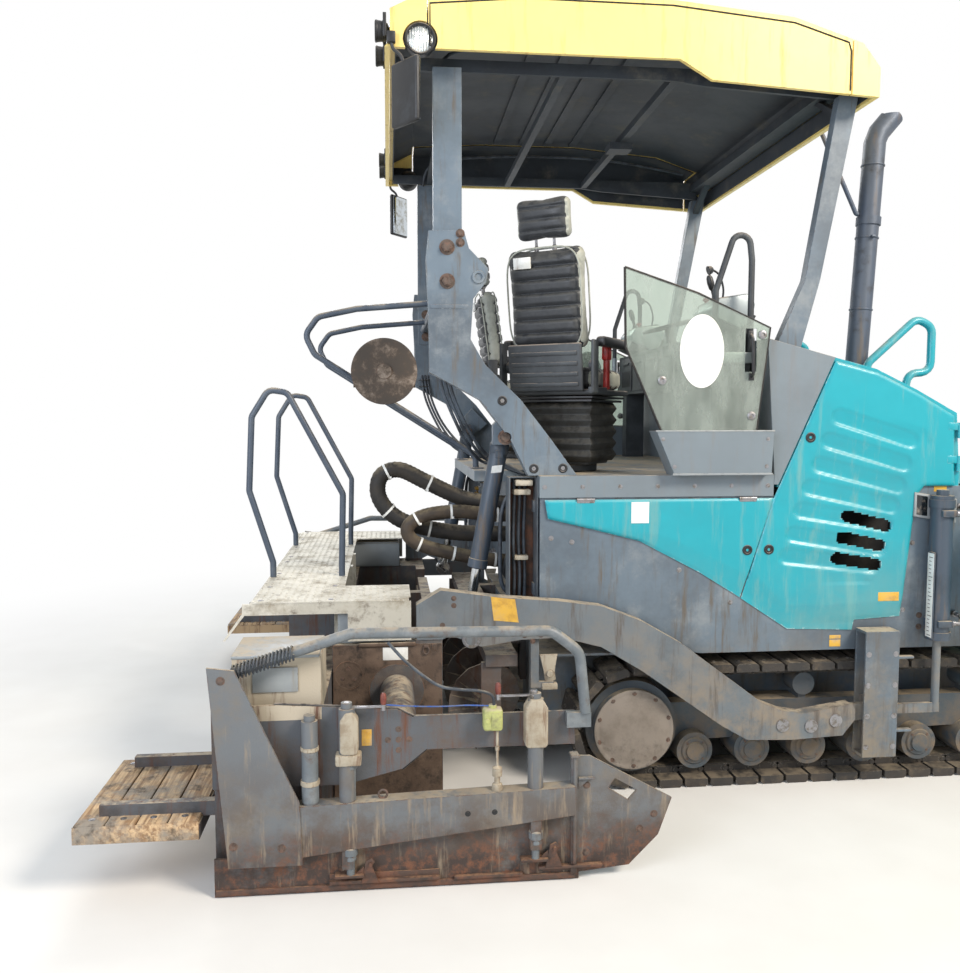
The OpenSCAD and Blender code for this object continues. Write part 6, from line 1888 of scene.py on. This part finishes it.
class PAVER_OT_posts(bpy.types.Operator):
    """Bolts, cables, channel and lines round the rear posts and the rear wall"""

    bl_idname = "paver.posts"
    bl_label = "Posts and rear wall"

    def execute(self, context):
        out, back = (0, 1, 0), (-1, 0, 0)
        bolt_pair("neck_bolts", "tractor",
                  outward(1.145, [(-1.764, 2.712), (-1.763, 2.551)]), size=0.052)
        bolt_pair("neck_rear_bolts", "tractor",
                  outward(1.145, [(-1.7, 2.778), (-1.7, 2.735)]), size=0.03)
        # Recessed screws: a dark rim round a socket, which is painted shade of the recess, not cut
        # in
        screws = ((-1.495, 1.978), (-1.337, 1.644), (-1.191, 1.645))
        pair("neck_screw_shade_rims", "tractor", "black_plastic",
             [("turned", (x, 1.1445, z), out, [(0.022, 0), (0.024, 0.002), (0.022, 0.0035),
                                               (0.017, 0.0035), (0.015, 0.001), (0.0, 0.001)], 24)
              for x, z in screws])
        pair("neck_sockets", "tractor", "zinc_bolt_steel",
             [("turned", (x, 1.1445, z), out, [(0.011, 0), (0.011, 0.003), (0.006, 0.0032),
                                               (0.006, 0.0012), (0.0, 0.0012)], 6)
              for x, z in screws])
        pair("neck_rings", "tractor", "blue_grey_enamel",
             [("turned", (-1.612, 1.1445, 2.573), out,
               [(0.018, 0), (0.03, 0.0), (0.032, 0.003), (0.03, 0.008), (0.019, 0.008),
                (0.018, 0)], 28),
              ("plate", [(-1.845, 2.42), (-1.662, 2.42), (-1.662, 2.44), (-1.845, 2.44)],
               1.144, 1.1475, 0.001)])
        bolt_pair("inner_post_bolts", "tractor",
                  [((x, 1.0595, z), (0, -1, 0)) for x, z in ((-1.771, 2.638), (-1.771, 2.479))],
                  size=0.046)
        # Channel behind the side panel, with tubes and pale clamps in it
        pair("rear_channel", "tractor", "steel_tube_paint",
             [("plate", [(-1.462, 1.158), (-1.456, 1.158), (-1.456, 1.04), (-1.322, 1.04),
                         (-1.322, 1.158), (-1.316, 1.158), (-1.316, 1.034), (-1.462, 1.034)],
               0.93, 1.6, {"axis": "z"}),
              ("box", (-1.462, 1.034, 1.594), (-1.312, 1.1, 1.601), 0.002),
              ("box", (-1.33, 1.036, 1.0), (-1.309, 1.09, 1.06), 0.003),
              ("box", (-1.33, 1.036, 1.42), (-1.309, 1.09, 1.48), 0.003)])
        pair("channel_rust", "tractor", "rusted_skid_iron",
             [("box", (-1.4555, 1.0402, 0.935), (-1.3225, 1.0422, 1.57), 0.0005)])
        pair("channel_clamps", "tractor", "weathered_clamp",
             [("box", (-1.425, 1.042, 1.556), (-1.335, 1.12, 1.586), 0.007),
              ("box", (-1.432, 1.042, 1.51), (-1.345, 1.112, 1.538), 0.007),
              ("box", (-1.425, 1.042, 1.18), (-1.355, 1.098, 1.204), 0.005)])
        tubes = []
        for k, (x, y) in enumerate(((-1.425, 1.062), (-1.4, 1.072), (-1.372, 1.062))):
            tubes.append(("tube", softened([(x, y, 0.945), (x + 0.004, y + 0.003, 1.1),
                                            (x - 0.003, y, 1.3), (x + 0.003, y + 0.002, 1.5),
                                            (x, y, 1.588)], 4), 0.0085, 10))
        pair("channel_tubes", "tractor", "line_hose_rubber", tubes)
        # Block on the rear wall with brass fittings, and steel lines under the platform
        pair("valve_block", "tractor", "steel_tube_paint",
             [("box", (-1.392, 0.84, 1.3), (-1.305, 0.985, 1.425), 0.006),
              ("box", (-1.405, 0.86, 1.33), (-1.39, 0.965, 1.4), 0.004)]
             + [("tube", softened([(-1.318, y, 1.545), (-1.36, y, 1.545), (-1.395, y, 1.525),
                                   (-1.4, y, 1.47), (-1.395, y, 1.425)], 4), 0.008, 10)
                for y in (0.865, 0.895, 0.925, 0.955)])
        pair("valve_fittings", "tractor", "brass_fitting",
             [("turned", (-1.404, y, z), back, [(0.014, 0), (0.015, 0.002), (0.015, 0.012),
                                                (0.01, 0.014), (0.01, 0.024), (0.0, 0.0245)], 6)
              for y in (0.88, 0.912, 0.944) for z in (1.345, 1.382)])
        for word, side in SIDES.items():
            line_hose("lift_line_" + word, "tractor",
                      [(-1.305, 1.008, 1.52), (-1.38, 1.008, 1.535), (-1.445, 1.01, 1.5),
                       (-1.482, 1.012, 1.4), (-1.488, 1.012, 1.2), (-1.48, 1.012, 1.05),
                       (-1.43, 1.01, 0.985), (-1.37, 1.008, 0.97), (-1.305, 1.008, 0.97)],
                      0.011, side)
            for k, (y, low) in enumerate(((0.7, 0.0), (0.655, 0.035), (0.61, 0.07))):
                line_hose(f"wall_line_{k}_{word}", "tractor",
                          [(-1.308, y + 0.1, 1.2 - low), (-1.36, y + 0.1, 1.205 - low),
                           (-1.41, y + 0.1, 1.165 - low), (-1.43, y + 0.08, 1.1 - low / 2),
                           (-1.41, y + 0.05, 1.02), (-1.36, y + 0.03, 0.955),
                           (-1.308, y + 0.03, 0.95)], 0.012, side)
            # Cables that leave the post and run under the platform
            for k, shift in enumerate((0.0, 0.022, 0.044)):
                line_hose(f"post_line_{k}_{word}", "tractor",
                          [(-1.8 + shift, 1.062, 2.2), (-1.8 + shift, 1.045, 2.14),
                           (-1.775 + shift, 1.02, 2.02), (-1.715 + shift, 0.99, 1.88),
                           (-1.64 + shift, 0.9, 1.745 + shift / 2),
                           (-1.56 + shift, 0.79, 1.665 + shift / 2),
                           (-1.45 + shift, 0.76, 1.635), (-1.315, 0.755, 1.585)],
                          0.0085, side, ends=False)
        pair("post_ties", "tractor", "black_plastic",
             [("tube", [(x, y, z) for x, y in circle((-1.79, 1.042), 0.035, 16, closed=True,
                                                     tall=0.02)], 0.003, 6)
              for z in (2.12, 2.165)])
        # Foot pads of the guard loops and their bolts
        bolt_pair("loop_feet", "tractor",
                  [((x, y, 1.6105), (0, 0, 1)) for x in (-1.535, -1.59) for y in (0.462, 0.538)],
                  "zinc_bolt_steel", "worn_steel", size=0.02, height=0.006)
        pair("loop_flanges", "tractor", "loop_rail_enamel",
             [("box", (-1.588, 0.452, 1.6095), (-1.522, 0.548, 1.6175), 0.003)])
        return {"FINISHED"}


class PAVER_OT_console(bpy.types.Operator):
    """Silver control boxes, displays, levers, lights and grips of the console"""

    bl_idname = "paver.console"
    bl_label = "Console"

    def execute(self, context):
        side_face = [(-0.36, 2.47), (-0.352, 2.42), (-0.21, 2.36), (-0.15, 2.395),
                     (-0.128, 2.49), (-0.17, 2.545), (-0.325, 2.52)]
        pair("control_shell", "tractor", "silver_lacquer",
             [("plate", side_face, 0.624, 0.936, 0.01, {"steps": 3}),
              ("box", (-0.3, 0.7, 2.325), (-0.22, 0.86, 2.4), 0.01)])
        # Sloping desk on the box: buttons in rows, a display and a joystick
        origin = Vector((-0.25, 0.78, 2.5215))

        tilt = Matrix.Rotation(math.radians(-9), 3, "Y")

        def on(u, v, h):
            return origin + tilt @ Vector((u, v, h))

        def tile(u, v, du, dv, low, high, soft=0.002):
            middle, half = on(u, v, (low + high) / 2), Vector((du / 2, dv / 2, (high - low) / 2))
            return ("box", middle - half, middle + half, soft, {"turn": tilt})

        plate = tile(0.0, 0.0, 0.15, 0.285, 0.0, 0.008, 0.003)
        display = tile(0.015, -0.075, 0.095, 0.1, 0.008, 0.0105, 0.001)
        buttons = [tile(-0.048 + 0.03 * i, 0.01 + 0.03 * j, 0.018, 0.018, 0.008, 0.014)
                   for i in range(4) for j in range(4)]
        stop = ("turned", on(-0.045, -0.115, 0.006), tilt @ Vector((0, 0, 1)),
                [(0.01, 0), (0.01, 0.014), (0.019, 0.018), (0.019, 0.028), (0.014, 0.034),
                 (0.0, 0.035)], 24)
        stick = ("turned", on(-0.04, 0.0, 0.006), tilt @ Vector((-0.12, 0, 1)),
                 [(0.026, 0), (0.024, 0.006), (0.014, 0.02), (0.01, 0.034), (0.009, 0.06),
                  (0.016, 0.07), (0.019, 0.1), (0.017, 0.128), (0.01, 0.142), (0.0, 0.144)], 24)
        pair("control_desk", "tractor", "black_plastic", [plate, stick])
        pair("control_display", "tractor", "display_glass", [display])
        pair("control_buttons", "tractor", "weathered_clamp", buttons)
        pair("control_stop", "tractor", "red_plastic", [stop])
        # Front of the cross console: ribs, drawer seams and a vent
        face = -0.3455
        pair("console_front", "tractor", "console_plastic",
             [("box", (face - 0.006, y, 2.08), (face + 0.001, y + 0.27, 2.31), 0.004)
              for y in (0.035, 0.345, 0.655)]
             + [("box", (-0.34, 0.03, 2.329), (-0.186, 0.6, 2.341), 0.006)]
             + [("box", (face - 0.012, 0.1 + 0.31 * k, 2.262),
                 (face - 0.005, 0.24 + 0.31 * k, 2.28), 0.003) for k in range(3)])
        pair("console_vents", "tractor", "black_plastic",
             [("box", (face - 0.0085, 0.685 + 0.022 * k, 2.11),
               (face - 0.005, 0.697 + 0.022 * k, 2.22), 0.001) for k in range(10)])
        hub, lean = Vector((-0.3, 0, 2.462)), Matrix.Rotation(math.radians(-14), 3, "Y")

        def on_rim(u, v):
            return hub + lean @ Vector((u, v, 0))

        solid("console_wheel", "tractor", "black_plastic",
              [("turned", (-0.27, 0.0, 2.339), (-0.25, 0, 1),
                [(0.055, 0), (0.05, 0.01), (0.03, 0.026), (0.024, 0.12), (0.0, 0.121)], 28),
               ("tube", [on_rim(*p) for p in circle((0, 0), 0.15, 40, closed=True)], 0.012, 12)]
              + [("tube", [Vector((-0.3, 0, 2.458)), on_rim(*circle((0, 0), 0.15, 1, a)[0])],
                  0.008, 8) for a in (0.5, 2.6, 4.7)])
        pair("handrail_grips", "tractor", "silver_lacquer",
             [("tube", [(-0.378, 1.02, 2.232), (-0.378, 1.02, 2.33)], 0.0185, 16),
              ("box", (-0.402, 0.997, 2.176), (-0.181, 1.043, 2.2305), 0.004)])
        # Small lamp on a stalk over the desk
        pair("desk_lamp", "tractor", "black_plastic",
             [("tube", softened([(-0.21, 0.66, 2.52), (-0.2, 0.66, 2.6), (-0.225, 0.66, 2.68),
                                 (-0.27, 0.66, 2.71)], 5), 0.006, 8),
              ("turned", (-0.262, 0.66, 2.712), (-1, 0, -0.35),
               [(0.01, 0), (0.02, 0.008), (0.026, 0.028), (0.024, 0.03), (0.0, 0.029)], 20)])
        return {"FINISHED"}


class PAVER_OT_sides(bpy.types.Operator):
    """Windows, blank plates, handles and trim of the platform, cowl and hood"""

    bl_idname = "paver.sides"
    bl_label = "Platform, cowl and hood"

    def execute(self, context):
        out = (0, 1, 0)
        # Box on the hood's side with three dark windows in a slanted row
        frame_out = [(0.628, 1.39), (0.86, 1.352), (0.86, 1.478), (0.628, 1.515)]
        pair("side_box", "tractor", "pale_grey_enamel",
             [("plate", frame_out, 1.1805, 1.205, 0.004)])
        windows = []
        for k in range(3):
            x = 0.64 + 0.072 * k
            z = 1.396 - 0.1637 * (x - 0.628)
            windows.append(("plate", [(x, z + 0.006), (x + 0.058, z - 0.003),
                                      (x + 0.058, z + 0.098), (x, z + 0.107)], 1.2035, 1.2066,
                            0.002))
        pair("side_windows", "tractor", "display_glass", windows)
        pair("side_label", "tractor", "label_yellow_film",
             [("box", (0.745, 1.1803, 1.515), (0.815, 1.1815, 1.55), 0.0004),
              ("box", (0.205, 1.1803, 0.757), (0.265, 1.1815, 0.776), 0.0004),
              ("box", (0.205, 1.1803, 0.716), (0.265, 1.1815, 0.752), 0.0004)])
        # Edge trim and handle of the side screen
        edge = [(-0.916, 2.616), (-0.551, 2.497), (-0.183, 2.335), (-0.242, 1.83)]
        rear = [(-0.916, 2.616), (-0.907, 2.237), (-0.724, 1.83)]
        pair("screen_trim", "tractor", "rubber_seal",
             [("tube", [(x, 1.245, z) for x, z in line], 0.0065, 8) for line in (edge, rear)])
        pair("screen_handle", "tractor", "black_plastic",
             [("tube", softened([(-0.283, 1.252, 2.3), (-0.283, 1.272, 2.285),
                                 (-0.281, 1.276, 2.255), (-0.277, 1.276, 2.145),
                                 (-0.276, 1.272, 2.11), (-0.276, 1.252, 2.096)], 5), 0.008, 12),
              ("box", (-0.296, 1.2505, 2.282), (-0.27, 1.256, 2.318), 0.003),
              ("box", (-0.289, 1.2505, 2.078), (-0.263, 1.256, 2.114), 0.003)])
        # Upper edge strip and seams of the pale side boxes
        pair("box_trim", "tractor", "pale_grey_enamel",
             [("box", (-0.752, 1.2405, 1.826), (-0.146, 1.2525, 1.834), 0.002),
              ("box", (-0.664, 1.2485, 1.612), (-0.152, 1.2515, 1.622), 0.001)])
        bolt_pair("box_screws", "tractor",
                  outward(1.2503, [(-0.655, 1.655), (-0.185, 1.655), (-0.18, 1.79),
                                   (-0.715, 1.79)]), "zinc_bolt_steel", "worn_steel",
                  size=0.014, height=0.002)
        bolt_pair("skirt_screws", "tractor",
                  outward(1.19, [(-1.29 + 0.19 * k, 1.555) for k in range(7)]),
                  "zinc_bolt_steel", "worn_steel", size=0.016, height=0.003)
        bolt_pair("panel_screws", "tractor",
                  outward(1.18, [(-1.255, 1.3), (-1.15, 1.28), (-0.6, 1.13),
                                 (-0.33, 0.96), (0.64, 1.25), (0.6, 0.9)]),
                  "zinc_bolt_steel", "worn_steel", size=0.018, height=0.004)
        # Latches of the hood's front edge
        pair("hood_latches", "tractor", "black_plastic",
             [("box", (0.905, 1.1795, 1.64), (0.945, 1.186, 1.7), 0.003),
              ("turned", (0.925, 1.184, 1.67), out, [(0.012, 0), (0.012, 0.004), (0.006, 0.004),
                                                     (0.006, 0.001), (0.0, 0.001)], 16)])
        # Exhaust: beads round the pipe and the lug of its clamp
        foot, tip = Vector((0.597, -0.6, 1.8)), Vector((0.688, -0.6, 3.47))
        way = (tip - foot).normalized()
        solid("exhaust_rings", "tractor", "exhaust_tube_steel",
              [("turned", foot + (tip - foot) * s, way,
                [(0.058, 0), (0.0635, 0.002), (0.0645, 0.006), (0.0635, 0.01), (0.058, 0.012)],
                36) for s in (0.42, 0.66, 0.9)]
              + [("box", foot + (tip - foot) * 0.66 + Vector((-0.012, -0.08, 0.0)),
                  foot + (tip - foot) * 0.66 + Vector((0.012, -0.06, 0.012)), 0.003)])
        return {"FINISHED"}


class PAVER_OT_front(bpy.types.Operator):
    """End rings and raised bands of the push rollers"""

    bl_idname = "paver.front"
    bl_label = "Push rollers"

    def execute(self, context):
        out = (0, 1, 0)
        for word, side in SIDES.items():
            low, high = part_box("push_roller_" + word)
            at = ((low[0] + high[0]) / 2, (low[2] + high[2]) / 2)
            radius = (high[2] - low[2]) / 2
            inner, outer = sorted((abs(low[1]), abs(high[1])))
            solid("roller_ends_" + word, "push_roller_" + word, "scoured_steel",
                  [("turned", (at[0], outer - 0.003, at[1]), out,
                    [(radius - 0.012, 0), (radius - 0.012, 0.0045), (radius - 0.03, 0.0045),
                     (radius - 0.032, 0.0035), (0.05, 0.0035), (0.047, 0.0048), (0.024, 0.0048)],
                    40)]
                  + [("turned", (at[0], inner + 0.06 + k * (outer - inner - 0.12) / 3, at[1]), out,
                      [(radius - 0.001, 0), (radius + 0.0015, 0.003), (radius + 0.0015, 0.012),
                       (radius - 0.001, 0.015)], 48) for k in range(4)], side)
        return {"FINISHED"}


class PAVER_OT_deck(bpy.types.Operator):
    """Lozenges of the screed's tread plate"""

    bl_idname = "paver.deck"
    bl_label = "Tread plate"

    def execute(self, context):
        pitch = sizes().tread
        rear, front, half_width, top = -2.69, -1.965, 1.28, 1.0302
        spots, turns = [], []
        for i in range(int(0.74 / pitch)):
            for j in range(int(2 * half_width / pitch)):
                x, y = rear + i * pitch, -half_width + j * pitch
                in_opening = x > -2.295 and abs(y) < 0.915
                in_notch = x > -1.975 and abs(y) > 1.18
                if in_opening or in_notch or x > front:
                    continue
                spots.append((x, y, top))
                turns.append(math.pi / 4 * (1 if (i + j) % 2 else 3))
        seed = points_object("tread_points", spots, "turn", "FLOAT", turns)
        mesh = grown(seed, lozenge_tree(), {"Length": 0.026, "Width": 0.008, "Height": 0.004,
                                            "Finish": FINISHES["tread_plate_zinc"]})
        dress(mesh, "deck_tread", "screed", "tread_plate_zinc", 60)
        return {"FINISHED"}


class PAVER_OT_stage(bpy.types.Operator):
    """Plain pale floor, white surroundings and soft studio light"""

    bl_idname = "paver.stage"
    bl_label = "Stage"

    def execute(self, context):
        bpy.context.scene.view_settings.view_transform = "Standard"
        bm = bmesh.new()
        bmesh.ops.create_circle(bm, cap_ends=True, segments=64, radius=60)
        mesh = bpy.data.meshes.new("floor")
        bm.to_mesh(mesh)
        bm.free()
        floor = bpy.data.objects.new("floor", mesh)
        floor.location.z = -0.002
        bpy.context.scene.collection.objects.link(floor)
        tree = new_finish("matt_studio_floor")
        place = add(tree, "ShaderNodeTexCoord").outputs["Object"]
        far = add(tree, "ShaderNodeVectorMath", {0: place}, operation="LENGTH")
        fade = add(tree, "ShaderNodeMapRange",
                   {"Value": far.outputs["Value"], "From Min": 3.6, "From Max": 7.5},
                   interpolation_type="SMOOTHSTEP")
        speck = add(tree, "ShaderNodeTexNoise", {"Vector": place, "Scale": 3, "Detail": 6})
        shade = add(tree, "ShaderNodeMix",
                    {0: speck.outputs["Fac"], 6: linear("#dedcd7"), 7: linear("#e8e7e3")},
                    data_type="RGBA")
        matt = add(tree, "ShaderNodeBsdfDiffuse", {"Color": shade.outputs[2]})
        glow = add(tree, "ShaderNodeEmission", {"Color": (1, 1, 1, 1), "Strength": 1.0})
        mix = add(tree, "ShaderNodeMixShader",
                  {0: fade.outputs[0], 1: matt.outputs[0], 2: glow.outputs[0]})
        close(tree, mix)
        mesh.materials.append(FINISHES["matt_studio_floor"])

        world = bpy.data.worlds.new("studio")
        world.use_nodes = True
        bpy.context.scene.world = world
        tree = world.node_tree
        tree.nodes.clear()
        path = add(tree, "ShaderNodeLightPath")
        seen = add(tree, "ShaderNodeMath",
                   {0: path.outputs["Is Camera Ray"], 1: path.outputs["Is Transmission Ray"]},
                   operation="MAXIMUM")
        seen = add(tree, "ShaderNodeMath",
                   {0: seen.outputs[0], 1: path.outputs["Is Glossy Ray"]}, operation="MAXIMUM")
        light = add(tree, "ShaderNodeBackground", {"Color": linear("#e6ecf2"), "Strength": 0.62})
        white = add(tree, "ShaderNodeBackground", {"Color": (1, 1, 1, 1), "Strength": 1.0})
        both = add(tree, "ShaderNodeMixShader",
                   {0: seen.outputs[0], 1: light.outputs[0], 2: white.outputs[0]})
        add(tree, "ShaderNodeOutputWorld", {"Surface": both.outputs[0]})

        def lamp(name, place, aim, size, power, shade):
            data = bpy.data.lights.new(name, "AREA")
            data.shape, data.size, data.energy = "DISK", size, power
            data.color = linear(shade)[:3]
            made = bpy.data.objects.new(name, data)
            made.location = place
            way = Vector(aim) - Vector(place)
            made.rotation_euler = way.to_track_quat("-Z", "Y").to_euler()
            bpy.context.scene.collection.objects.link(made)

        lamp("key_light", (5.5, -8.0, 8.5), (-0.5, 0, 1.4), 3.5, 1500, "#fff4e6")
        lamp("fill_light", (-7.0, -7.0, 4.0), (-0.5, 0, 1.4), 5.0, 420, "#e8f0ff")
        lamp("back_light", (-3.0, 8.0, 7.0), (0, 0, 1.6), 5.0, 500, "#ffffff")
        return {"FINISHED"}


OPERATORS = (
    PAVER_OT_camera, PAVER_OT_finishes, PAVER_OT_hoses, PAVER_OT_roof, PAVER_OT_lamps,
    PAVER_OT_tracks, PAVER_OT_doors, PAVER_OT_seats, PAVER_OT_screens, PAVER_OT_posts,
    PAVER_OT_console, PAVER_OT_sides, PAVER_OT_front, PAVER_OT_gates, PAVER_OT_screed,
    PAVER_OT_arms, PAVER_OT_deck, PAVER_OT_stage,
)


class PAVER_PT_panel(bpy.types.Panel):
    """Lists the pieces of the paver"""

    bl_idname = "PAVER_PT_panel"
    bl_label = "Asphalt paver"
    bl_space_type = "VIEW_3D"
    bl_region_type = "UI"
    bl_category = "Paver"

    def draw(self, context):
        for group in (context.scene.paver_colours, context.scene.paver_sizes):
            for key in group.__annotations__:
                self.layout.prop(group, key)
        for kind in OPERATORS:
            self.layout.operator(kind.bl_idname)


def register():
    for kind in (PaverColours, PaverSizes) + OPERATORS + (PAVER_PT_panel,):
        bpy.utils.register_class(kind)
    bpy.types.Scene.paver_colours = bpy.props.PointerProperty(type=PaverColours)
    bpy.types.Scene.paver_sizes = bpy.props.PointerProperty(type=PaverSizes)


def unregister():
    del bpy.types.Scene.paver_colours
    del bpy.types.Scene.paver_sizes
    for kind in reversed((PaverColours, PaverSizes) + OPERATORS + (PAVER_PT_panel,)):
        bpy.utils.unregister_class(kind)


def main():
    register()
    for kind in OPERATORS:
        group, name = kind.bl_idname.split(".")
        getattr(getattr(bpy.ops, group), name)()


if __name__ == "__main__":
    main()
